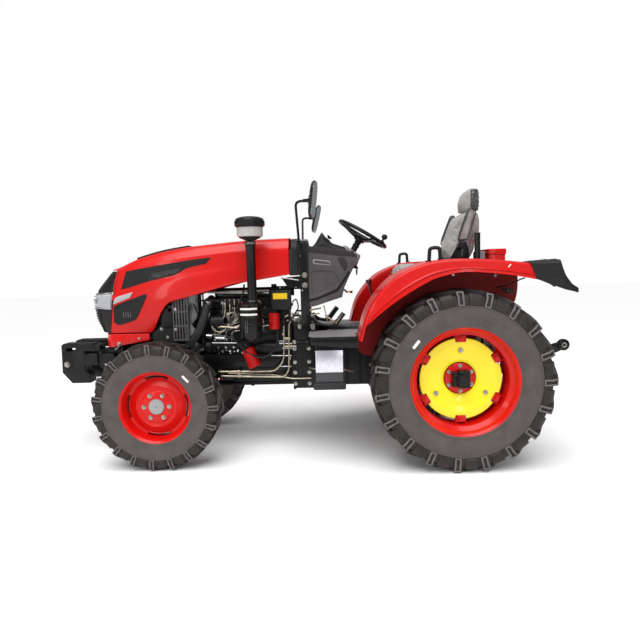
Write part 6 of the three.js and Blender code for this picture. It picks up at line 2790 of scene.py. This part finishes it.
def flap(bm):
    tops, lows = resample(FLAP_TOP, 22), resample(FLAP_LOW, 22)
    lines = []
    for i, ((tx, tz), (lx, lz)) in enumerate(zip(tops, lows)):
        line = []
        for y, rise in (
            (449, -9), (453, 0), (520, 1), (560, 7), (600, 1), (660, 1), (700, 7), (740, 1), (772, 0)
        ):
            line.append((tx, y, tz + rise * min(1, i / 4) - (3 if rise < 0 else 0)))
        for share, y in (
            (0.04, 790), (0.12, 799), (0.28, 800), (0.34, 796.5), (0.50, 796.5), (0.56, 800), (0.72, 800),
            (0.78, 796.5), (0.96, 796.5), (1.0, 798), (1.0, 786)
        ):
            line.append((tx + (lx - tx) * share, y, tz + (lz - tz) * share))
        lines.append(line)
    skin(bm, lines)
    bmesh.ops.recalc_face_normals(bm, faces=bm.faces[:])
    top = max(bm.faces, key=lambda f: f.calc_center_median().z)
    if top.normal.z < 0:
        bmesh.ops.reverse_faces(bm, faces=bm.faces[:])
    bmesh.ops.solidify(bm, geom=bm.faces[:], thickness=6)
    bmesh.ops.recalc_face_normals(bm, faces=bm.faces[:])


def grab_handle(bm):
    y = 700
    pipe(
        bm, [(222, y, 1422), (217, y, 1512), (184, y, 1519), (151, y, 1514), (146, y, 1432)], 12.5, 34,
        20, 10
    )
    feet = mm_box(bm, (208, 244), (y - 24, y + 24), (1423, 1434))
    feet += mm_box(bm, (122, 158), (y - 24, y + 24), (1436, 1445))
    soften(bm, 4, 2, 30, feet)
    for x, z in ((228, 1432), (136, 1443)):
        bolt(bm, (x, y + 18, z), (0, 0, 1), 11, 6)


def plug_lead(bm):
    """The lamp's lead under the fender's rear end, coiled and tied with its plug hanging."""
    pipe(
        bm,
        [(-455, 600, 1300), (-430, 590, 1292), (-380, 560, 1262), (-330, 520, 1240), (-300, 470, 1236)],
        5, 40, 10
    )
    for k in range(3):
        pipe(bm, [(-310 - k * 5, 560 + k * 8, 1226), (-360, 580 + k * 6, 1232 - k * 4), (-392 - k * 4,
        575, 1214 - k * 3),
                  (-360, 566 - k * 5, 1196), (-318, 560, 1204), (-310 - k * 5, 556, 1224)], 4, 18, 8)
    mm_box(bm, (-372, -330), (566, 590), (1208, 1228))


both_sides(flap, "fender_flap_moulding_{}", DARK_PLASTIC, "chassis", ["fender_flap_{}"], 28)
both_sides(grab_handle, "grab_handle_loop_{}", BLACK_PLASTIC, "chassis", ["grab_handle_{}"])
both_sides(plug_lead, "lamp_lead_{}", HOSE, "chassis", [])

# %% [markdown]
# ## Deck and toolbox
# A folded black sheet joins the fenders under the seat. Behind the seat a red toolbox stands on a shelf:
# a folded body, a lid that laps over it and an over-centre latch.

# %% Deck and toolbox
def deck(bm):
    mm_box(bm, (-340, 345), (-439, 439), (1100, 1112))
    mm_box(bm, (-352, -340), (-439, 439), (1100, 1250))
    mm_box(bm, (-512, -340), (-240, 240), (1238, 1250))
    mm_box(bm, (333, 345), (-439, 439), (941, 1108))
    for side in (-1, 1):
        mm_box(bm, (333, 345), (side * 151, side * 439), (926, 1000))
    mm_box(bm, (-60, 60), (-110, 110), (931, 1106))
    soften(bm, 4, 3)


def toolbox(bm):
    mm_box(bm, (-462, -336), (-187, 187), (1251, 1480))
    soften(bm, 8, 3)
    mm_box(bm, (-467, -331), (-192, 192), (1472, 1516))
    soften(bm, 5, 3, 60)
    for x in (-440, -400, -360):
        drum(bm, (x, 186, 1262), (x, 186, 1466), 4, segments=12)
        drum(bm, (x, -186, 1262), (x, -186, 1466), 4, segments=12)


def toolbox_latch(bm):
    mm_box(bm, (-331, -327), (-22, 22), (1440, 1496))
    mm_box(bm, (-329, -321), (-14, 14), (1456, 1474))
    soften(bm, 1.5, 2)
    drum(bm, (-468, -150, 1474), (-468, 150, 1474), 5, segments=16)


def document_case(bm):
    mm_box(bm, (-320, -258), (30, 150), (1252, 1500))
    soften(bm, 7, 3)


single(deck, "seat_deck_sheet", GLOSS_BLACK, "chassis", ["seat_deck"])
single(toolbox, "toolbox_body", RED, "chassis", ["toolbox"])
single(toolbox_latch, "toolbox_latch", ZINC, "chassis", [])
single(document_case, "document_case", PALE_PLASTIC, "chassis", [])
print("platform", len(made_pieces))

# %% [markdown]
# ## Seat
# A tractor seat is foam under a sewn cover: the cover is cut a little small, so the foam bulges between
# the seams. Each pad starts as a closed form drawn slightly small, and is then blown up as cloth under
# pressure, which rounds its edges and pulls its sides in as a real cover does. The seams are pressed in
# afterwards, because the even mesh that cloth needs would lose them.

# %% Padding helper
def swollen(bm, cap, pressure=4.0, voxel=6.0, frames=20):
    """The closed form in bm, in millimetres, swollen as cloth with no point moving past a cap."""
    bmesh.ops.scale(bm, verts=bm.verts[:], vec=(MM, MM, MM))
    bmesh.ops.recalc_face_normals(bm, faces=bm.faces[:])
    mesh = bpy.data.meshes.new("pad_form")
    bm.to_mesh(mesh)
    bm.free()
    form = bpy.data.objects.new("pad_form", mesh)
    bpy.context.scene.collection.objects.link(form)
    even = form.modifiers.new("even", "REMESH")
    even.mode, even.voxel_size = "VOXEL", voxel * MM
    bpy.context.view_layer.update()
    start = bpy.data.meshes.new_from_object(form.evaluated_get(bpy.context.evaluated_depsgraph_get()))
    form.modifiers.remove(even)
    form.data = start
    places = [v.co.copy() for v in start.vertices]
    moved = places
    cloth = form.modifiers.new("cover", "CLOTH")
    cloth.settings.use_pressure = True
    cloth.settings.uniform_pressure_force = pressure
    cloth.settings.effector_weights.gravity = 0
    cloth.point_cache.frame_start, cloth.point_cache.frame_end = 1, frames
    for frame in range(1, frames + 1):
        bpy.context.scene.frame_set(frame)
    blown = form.evaluated_get(bpy.context.evaluated_depsgraph_get())
    moved = [v.co.copy() for v in blown.data.vertices]
    form.modifiers.remove(cloth)
    bpy.context.scene.frame_set(1)
    fresh = bmesh.new()
    fresh.from_mesh(start)
    for vert, was, now in zip(fresh.verts, places, moved):
        step = now - was
        if step.length > cap * MM:
            step *= cap * MM / step.length
        vert.co = (was + step) / MM
    for _ in range(3):
        bmesh.ops.smooth_vert(
            fresh, verts=fresh.verts[:], factor=0.5, use_axis_x=True, use_axis_y=True, use_axis_z=True
        )
    bpy.data.objects.remove(form)
    return fresh


def press(bm, depth, width, distance, where):
    """Presses a seam in along the surface: distance measures how far a point is from the line."""
    bm.normal_update()
    moves = []
    for vert in bm.verts:
        if where(vert):
            away = abs(distance(vert.co))
            if away < width:
                moves.append((vert, vert.normal * -depth * math.cos(away / width * math.pi / 2) ** 2))
    for vert, move in moves:
        vert.co += move


def pad(build, name, material, body, replaces, slot, cap, seams=(), voxel=6.0, pressure=4.0, fill=0.7):
    bm = bmesh.new()
    build(bm)
    bm = swollen(bm, cap, pressure, voxel)
    for depth, width, distance, where in seams:
        press(bm, depth, width, distance, where)
    piece = settle(bm, name, material, body, replaces, 70)
    fine = piece.modifiers.new("finish", "SUBSURF")
    fine.levels = fine.render_levels = 1
    return piece


def side_form(bm, outline, half, low=None):
    """A side outline given a half width, its rim rounded by three smaller steps."""
    centre = Vector((sum(p[0] for p in outline) / len(outline), sum(p[1] for p in outline) / len(outline)))
    sections = []
    low = -half if low is None else low
    middle, reach = (half + low) / 2, (half - low) / 2
    for share, keep in ((-1, 0.80), (-0.93, 0.92), (-0.78, 1), (0.78, 1), (0.93, 0.92), (1, 0.80)):
        y = middle + reach * share
        sections.append(
            [(centre.x + (x - centre.x) * keep, y, centre.y + (z - centre.y) * keep) for x, z in outline]
        )
    sweep(bm, sections)
    return sections

# %% [markdown]
# ## Cushion, backrest and headrest
# The cushion and backrest have a pleated fabric panel between two vinyl bolsters. The pleats are long
# hollows pressed at a steady spacing, and fine creases across them show that the cover is slack.

# %% Cushion, backrest and headrest
def creased(spacing, along, across, wobble=6):
    """How far a place is from the nearest of a set of wavy pleat lines."""
    def distance(p):
        side = across(p) + wobble * math.sin(along(p) / 31) + wobble * 0.6 * math.sin(
            along(p) / 13 + across(p) / 40
        )
        return side - spacing * round(side / spacing)
    return distance


def two_cloths(piece, chosen):
    """Gives the second material to the faces where chosen(x, y, z) in millimetres is true."""
    back = TO_FRAME.inverted()
    for face in piece.data.polygons:
        if chosen(*(back @ face.center)):
            face.material_index = 1


def seat_cushion(bm):
    side_form(
        bm,
        [
            (-40, 1312), (120, 1306), (350, 1312), (378, 1348), (350, 1396), (250, 1402), (84, 1392),
            (-40, 1400)
        ],
        212
    )


BACK_FRONT = [(-82, 1432), (-34, 1446), (-52, 1540), (-96, 1660), (-144, 1788)]
BACK_REAR = [(-186, 1802), (-264, 1800), (-262, 1640), (-230, 1560), (-194, 1450), (-176, 1436)]


def seat_back(bm):
    side_form(bm, BACK_FRONT + BACK_REAR, 196)


def headrest(bm):
    side_form(
        bm,
        [(-170, 1812), (-168, 1890), (-186, 1950), (-216, 1980), (-264, 1988), (-284, 1970), (-282, 1812)],
        116
    )


def back_front(z):
    """Where the backrest's front face stands at a height."""
    for (xa, za), (xb, zb) in zip(BACK_FRONT, BACK_FRONT[1:]):
        if za <= z <= zb:
            return xa + (xb - xa) * (z - za) / (zb - za)
    return BACK_FRONT[-1][0]


def channel(y):
    """How far a place is from the seam between the panel and its bolsters."""
    return lambda p: abs(p.y) - y


cushion = pad(
    seat_cushion, "seat_cushion_pad", [SEAT_CLOTH, SEAT_VINYL], "chassis", ["seat_cushion"],
    "grey_vinyl", 18, [
        (7, 9, channel(138), lambda v: v.normal.z > 0.3),
        (8, 17, creased(46, lambda p: p.x, lambda p: p.y), lambda v: v.normal.z > 0.25 and abs(v.co.y) < 130),
        (
            7, 15, creased(38, lambda p: p.y * 0.8 + 70, lambda p: p.z * 1.4 + p.y * 0.5),
            lambda v: v.normal.x > 0.2
        ),
    ],
)
two_cloths(cushion, lambda x, y, z: z < 1322 or x < -20)
backrest = pad(
    seat_back, "seat_backrest_pad", [SEAT_CLOTH, SEAT_VINYL], "chassis", ["seat_backrest"], "grey_vinyl",
    20, [
        (7, 9, channel(128), lambda v: v.normal.x > 0.3),
        (8, 15, creased(42, lambda p: p.z, lambda p: p.y), lambda v: v.normal.x > 0.3 and abs(v.co.y) < 122),
        (
            4, 13, creased(30, lambda p: p.z * 0.9, lambda p: p.x * 1.1 + p.z * 0.34),
            lambda v: abs(v.normal.y) > 0.4
        ),
    ],
)
two_cloths(backrest, lambda x, y, z: x < back_front(z) - 92)
head = pad(
    headrest, "headrest_pad", [SEAT_CLOTH, PIPED_VINYL], "chassis", [], "grey_vinyl", 12, [
        (4, 12, creased(34, lambda p: p.z, lambda p: p.y + p.x * 0.6), lambda v: v.co.x > -215),
        (4, 10, creased(30, lambda p: p.y, lambda p: p.z + p.y * 0.2), lambda v: v.co.x <= -220),
    ], voxel=5.0,
)
two_cloths(head, lambda x, y, z: x < -214)


def headrest_posts(bm):
    for y in (-58, 58):
        drum(bm, (-236, y, 1730), (-236, y, 1856), 7, segments=20)


single(headrest_posts, "headrest_posts", STEEL, "chassis", [])

# %% [markdown]
# ## Piping, armrests and mechanism
# A cord sewn into the seams, the piping, draws the outline of each panel. The armrests are slim padded
# arms on pins at the backrest's sides, and a folded black mechanism joins back and cushion.

# %% Piping, armrests and mechanism
def piping(bm):
    for side in (-1, 1):
        line = [(back_front(z) - 88, side * 203, z) for z in (1470, 1540, 1620, 1700, 1776)]
        pipe(bm, line, 4, 40, 8, 4)
    pipe(
        bm,
        [
            (-40, -206, 1322), (362, -206, 1322), (392, -150, 1330), (392, 150, 1330), (362, 206, 1322),
            (-40, 206, 1322)
        ],
        3.5, 60, 8
    )


def arm_pad(bm):
    side_form(
        bm,
        [
            (-104, 1566), (-82, 1572), (-84, 1620), (-142, 1790), (-172, 1812), (-194, 1800),
            (-198, 1760), (-172, 1640), (-140, 1572)
        ],
        290, 246
    )


def arm_border(bm):
    pipe(bm, [
        (-148, 292, 1590), (-178, 292, 1690), (-204, 292, 1786), (-186, 292, 1816), (-156, 292, 1812),
        (-124, 292, 1730), (-84, 292, 1622), (-74, 292, 1576), (-108, 292, 1560), (-148, 292, 1590),
    ], 5, 26, 10)


def arm_hub(bm):
    drum(bm, (-104, 232, 1545), (-104, 292, 1545), 27, segments=36)
    soften(bm, 5, 3)
    spun(bm, [(0, 296), (9, 296), (11, 291), (0, 291)], (-104, 0, 1545), 24)
    clean(bm)


def recliner(bm):
    plate(
        bm,
        [(-66, 1404), (-30, 1448), (-96, 1560), (-150, 1572), (-172, 1520), (-176, 1440), (-150, 1400)],
        214, 226
    )
    drum(bm, (-104, 226, 1424), (-104, 238, 1424), 24, segments=32)
    drum(bm, (-104, 196, 1545), (-104, 240, 1545), 12, segments=24)
    pipe(bm, [(-150, 232, 1420), (-120, 240, 1400), (-40, 246, 1412)], 7, 20, 12)
    mm_box(bm, (-262, -222), (199, 216), (1300, 1640))
    soften(bm, 4, 2)


def seat_rails(bm):
    mm_box(bm, (-70, 320), (-190, 190), (1112.5, 1130))
    for side in (-1, 1):
        mm_box(bm, (-60, 310), (side * 150, side * 186), (1130, 1160))
        plate(
            bm, [(-30, 1160), (0, 1160), (250, 1240), (250, 1262), (216, 1262), (-30, 1184)], side * 158,
            side * 168
        )
        plate(
            bm, [(250, 1160), (280, 1160), (30, 1256), (0, 1262), (-30, 1262), (-30, 1250)], side * 170,
            side * 180
        )
    mm_box(bm, (-88, 338), (-198, 198), (1258, 1298))
    mm_box(bm, (-240, -80), (-150, 150), (1284, 1298))
    mm_box(bm, (-246, -206), (-150, 150), (1290, 1440))
    soften(bm, 5, 3)


def seat_bellows(bm):
    for k in range(7):
        z = 1134 + k * 18
        mm_box(
            bm, (-36 + (k % 2) * 8, 286 - (k % 2) * 8), (-140 + (k % 2) * 8, 140 - (k % 2) * 8),
            (z, z + 17.6)
        )
    soften(bm, 4, 2)


single(piping, "seat_piping", SEAT_PIPING, "chassis", [])
for side, sign in (("left", 1), ("right", -1)):
    def one_arm(bm, sign=sign):
        arm_pad(bm)
        if sign < 0:
            mirrored(bm)
    arm = pad(
        one_arm, f"armrest_pad_{side}", [SEAT_VINYL, SEAT_SHELL], f"armrest_{side}", [f"armrest_{side}"],
        "grey_vinyl", 7, voxel=4.0, fill=0.8,
    )
    two_cloths(arm, lambda x, y, z: abs(y) < 276 or z < 1592)
both_sides(arm_border, "armrest_piping_{}", SEAT_PIPING, "armrest_{}", [])
both_sides(arm_hub, "armrest_hub_{}", BLACK_PLASTIC, "armrest_{}", [])
single(twin(recliner), "seat_mechanism", GLOSS_BLACK, "chassis", [])
single(seat_rails, "seat_frame", GLOSS_BLACK, "chassis", ["seat_base"])
single(seat_bellows, "seat_bellows", SEAL, "chassis", [])
print("seat", len(made_pieces))

# %% [markdown]
# ## Gearbox and rear axle
# The gearbox and the rear axle are iron castings bolted face to face, and they are the frame of the
# machine. Flanges, ribs and rows of bolts show where they part.

# %% Gearbox and rear axle
def gearbox(bm):
    mm_box(bm, (200, 912), (-150, 150), (480, 900))
    mm_box(bm, (230, 880), (-120, 120), (895, 940))
    mm_box(bm, (912, 1176), (-200, 200), (470, 850))
    mm_box(bm, (1010, 1160), (-200, -100), (415, 500))
    mm_box(bm, (985, 1176), (-190, 190), (840, 984))
    soften(bm, 16, 3)
    before = set(bm.verts)
    for x, y, low, high in (
        (200, 166, 474, 800), (560, 158, 474, 905), (908, 204, 466, 860), (1172, 205, 466, 856)
    ):
        mm_box(bm, (x - 10, x + 10), (-y, y), (low, high))
    for side in (-1, 1):
        for x in (300, 400, 660, 760):
            mm_box(bm, (x - 5, x + 5), (side * 146, side * 160), (500, 860))
        mm_box(bm, (940, 1140), (side * 196, side * 206), (640, 652))
        mm_box(bm, (960, 1170), (side * 150, side * 262), (966, 984))
    soften(bm, 3, 1, 30, [v for v in bm.verts if v not in before])


def gearbox_bolts(bm):
    for z in (510, 600, 681, 786, 840):
        for x in (1056, 1166):
            bolt(bm, (x, 201 if x < 1100 else 206, z), (0, 1, 0), 22, 10)
    for z in (520, 640, 760, 860):
        for x in (575, 893):
            bolt(bm, (x, 156, z), (0, 1, 0), 17, 9)
    for x, z in ((1118, 961), (1023, 959)):
        bolt(bm, (x, 262, z + 10), (0, 1, 0), 22, 10)


def drive_shaft(bm):
    drum(bm, (1140, -150, 455), (1960, -150, 455), 25, segments=32)
    for x in (1165, 1550, 1930):
        drum(bm, (x - 14, -150, 455), (x + 14, -150, 455), 33, segments=32)
    soften(bm, 4, 2)


def rear_housing(bm):
    mm_box(bm, (-186, 198), (-168, 168), (472, 798))
    mm_box(bm, (-222, 198), (-138, 138), (790, 928))
    mm_box(bm, (-130, -50), (-170, 170), (441, 500))
    mm_box(bm, (-285, -200), (-30, -14), (850, 925))
    mm_box(bm, (-285, -200), (14, 30), (850, 925))
    soften(bm, 16, 3)
    for side in (-1, 1):
        profile = [
            (0, 150), (128, 150), (128, 186), (100, 196), (84, 240), (80, 500), (88, 560), (112, 572),
            (112, 598), (0, 598)
        ]
        spun(bm, [(r, side * y) for r, y in profile], (0, 0, 620), 64)
    clean(bm)
    for side in (-1, 1):
        for k in range(4):
            turned = mm_box(bm, (-5, 5), (side * 190, side * 560), (80, 104))
            turn_about(bm, turned, (0, 0, 0), "Y", 45 + k * 90)
            bmesh.ops.translate(bm, verts=turned, vec=(0, 0, 620))
    drum(bm, (-195, 0, 650), (-180, 0, 650), 62, segments=40)
    drum(bm, (-90, -244, 470), (-90, 244, 470), 14, segments=24)


def axle_bolts(bm):
    for k in range(8):
        a = math.tau * k / 8
        bolt(bm, (math.cos(a) * 114, 186, 620 + math.sin(a) * 114), (0, 1, 0), 17, 10)
        bolt(bm, (math.cos(a) * 98, 572, 620 + math.sin(a) * 98), (0, -1, 0), 15, 9)
    for x in (-150, -60, 40, 130):
        bolt(bm, (x, 100, 928), (0, 0, 1), 15, 9)
    for z in (530, 600, 700, 760):
        bolt(bm, (-186, 130, z), (-1, 0, 0), 15, 9)


def power_shaft(bm):
    ring = []
    for k in range(36):
        a = math.tau * k / 36
        r = 17.3 if k % 6 < 3 else 14.8
        ring.append((r * math.cos(a), 650 + r * math.sin(a)))
    plate(bm, ring, -289, -180, "x")
    soften(bm, 0.8, 1, 40)


def power_guard(bm):
    for y0, y1 in ((-80, -75), (75, 80)):
        mm_box(bm, (-300, -190), (y0, y1), (690, 756))
    mm_box(bm, (-300, -190), (-80, 80), (750, 756))
    soften(bm, 3, 2)


def drawbar(bm):
    mm_box(bm, (-552, 20), (-34, 34), (387, 408))
    mm_box(bm, (-128, -52), (-60, 60), (401, 440))
    drum(bm, (-525, 0, 385.5), (-525, 0, 409.5), 37, segments=48)
    soften(bm, 5, 2)
    drum(bm, (-525, 0, 408), (-525, 0, 432), 13, segments=24)
    drum(bm, (-525, 0, 430), (-525, 0, 437), 19, segments=24)


single(gearbox, "gearbox_casting", CAST, "chassis", ["transmission"])
single(twin(gearbox_bolts), "gearbox_bolts", ZINC, "chassis", [])
single(drive_shaft, "front_drive_shaft", GLOSS_BLACK, "chassis", [])
single(rear_housing, "rear_axle_casting", CAST, "chassis", ["rear_axle_housing"])
single(twin(axle_bolts), "rear_axle_bolts", ZINC, "chassis", [])
single(power_shaft, "power_shaft", STEEL, "chassis", [])
single(power_guard, "power_shaft_guard", SMOOTH_YELLOW, "chassis", [])
single(drawbar, "drawbar_forging", GLOSS_BLACK, "chassis", ["drawbar"])

# %% [markdown]
# ## Lift linkage
# Two arms on one cross shaft raise two lower links through the lift rods. The links are forged bars with
# a ball in each end, so that an implement can swing; the rods have a screwed body for levelling.

# %% Lift arms, rods and links
def flat_bar(bm, points, deep, y0, y1):
    """A bar of one depth that follows a side-view line, between two planes."""
    sections = []
    for i, (x, z) in enumerate(points):
        a, b = Vector(points[max(i - 1, 0)]), Vector(points[min(i + 1, len(points) - 1)])
        up = Vector((-(b - a).y, (b - a).x)).normalized() * deep / 2
        sections.append(
            [
                (x + up.x, y0, z + up.y), (x + up.x, y1, z + up.y), (x - up.x, y1, z - up.y),
                (x - up.x, y0, z - up.y)
            ]
        )
    sweep(bm, sections)


# The pins at the two ends of a lift rod.
LIFT_PIN_X, LIFT_PIN_Z = -426.25, 1028.5
LINK_PIN_X, LINK_PIN_Z = -416.25, 618.5


def lift_arms(bm):
    drum(bm, (-100, -176, 880), (-100, 176, 880), 25, segments=36)
    for side in (-1, 1):
        flat_bar(bm, [(-100, 880), (-260, 950), (-426, 1028)], 44, side * 154, side * 174)
        drum(bm, (-100, side * 145, 880), (-100, side * 178, 880), 42, segments=40)
        drum(bm, (LIFT_PIN_X, side * 150, LIFT_PIN_Z), (LIFT_PIN_X, side * 178, LIFT_PIN_Z), 28, segments=32)
        drum(bm, (LIFT_PIN_X, side * 176, LIFT_PIN_Z), (LIFT_PIN_X, side * 213, LIFT_PIN_Z), 11, segments=24)
    soften(bm, 3, 2)


def lift_rod(bm):
    head, foot = Vector((LIFT_PIN_X, 196, LIFT_PIN_Z)), Vector((LINK_PIN_X, 254, LINK_PIN_Z))

    def at(share):
        return head + (foot - head) * share

    for end in (head, foot):
        drum(bm, end + Vector((0, -9, 0)), end + Vector((0, 9, 0)), 22, segments=32)
    pipe(bm, [at(0.03), at(0.3)], 11, segments=16)
    pipe(bm, [at(0.7), at(0.97)], 11, segments=16)
    pipe(bm, [at(0.26), at(0.76)], 17, segments=20)
    drum(bm, at(0.26), at(0.3), 22, segments=6)
    drum(bm, at(0.72), at(0.76), 22, segments=6)
    soften(bm, 2, 1)


def along_link(share, rise=0.0):
    """A place along a lower link, from its pivot on the axle to its ball."""
    near, far = Vector((-90, 216, 470)), Vector((-815, 400, 800))
    return near + (far - near) * share + Vector((0, 0, rise))


def lower_link(bm):
    line = [(0.02, 30), (0.12, 34), (0.5, 35), (0.86, 36), (0.93, 35), (0.97, 32)]
    sections = []
    for share, deep in line:
        p = along_link(share)
        sections.append([p + Vector((dx * deep * 0.41, dy, dz * deep * 0.91)) for dx, dy, dz in (
            (1, -9, 1), (1, 9, 1), (-1, 9, -1), (-1, -9, -1))])
    sweep(bm, sections)
    drum(bm, (-90, 203, 470), (-90, 229, 470), 32, segments=40)
    drum(bm, (-815, 383, 800), (-815, 417, 800), 42, segments=48)
    soften(bm, 3, 2)
    drum(bm, (LINK_PIN_X, 241, LINK_PIN_Z), (LINK_PIN_X, 306, LINK_PIN_Z), 11, segments=24)


def link_fittings(bm):
    for (x, y, z), half, ball in (((-90, 216, 470), 15, 20), ((-815, 400, 800), 21, 22)):
        spun(
            bm,
            [
                (11, -half), (ball - 4, -half), (ball, -half * 0.4), (ball, half * 0.4), (ball - 4, half),
                (11, half), (11, -half)
            ],
            (x, y, z), 36
        )
    clean(bm)
    bolt(bm, (LINK_PIN_X, 304, LINK_PIN_Z), (0, 1, 0), 17, 9)


def link_chain(bm):
    """The check chain that keeps a link from swinging into the tyre."""
    a, b = Vector((-186, 120, 500)), Vector((-470, 308, 622))
    for k in range(7):
        centre = a + (b - a) * ((k + 0.5) / 7) + Vector((0, 0, -14 * math.sin(math.pi * (k + 0.5) / 7)))
        along = (b - a).normalized()
        side = along.cross(Vector((0, 0, 1))).normalized()
        over = side if k % 2 else side.cross(along)
        points = [
            centre + along * (30 * math.cos(math.tau * i / 20)) + over * (
                15 * math.sin(math.tau * i / 20)
            )
            for i in range(20)
        ]
        lift = over.cross(along).normalized()
        sections = []
        for i, p in enumerate(points):
            out = (p - centre).normalized()
            sections.append(
                [
                    p + out * 4.5 * math.cos(t) + lift * 4.5 * math.sin(t)
                    for t in (math.tau * j / 8 for j in range(8))
                ]
            )
        sweep(bm, sections, closed=True)


single(lift_arms, "lift_arm_forgings", GLOSS_BLACK, "lift_arms", ["lift_arms"])
both_sides(lift_rod, "lift_rod_body_{}", GLOSS_BLACK, "lift_rod_{}", ["lift_rod_{}"])
both_sides(lower_link, "lower_link_bar_{}", GLOSS_BLACK, "lower_link_{}", ["lower_link_{}"])
both_sides(link_fittings, "lower_link_balls_{}", ZINC, "lower_link_{}", [])
both_sides(link_chain, "check_chain_{}", ZINC, "lower_link_{}", [])
print("rear", len(made_pieces))

# %% [markdown]
# ## Count of pieces
# The pieces made and their faces are counted and printed. The clothed machine must stay inside the
# box of the imported model.

# %% Count of pieces
print("pieces", len(made_pieces), "faces", sum(made_pieces.values()))
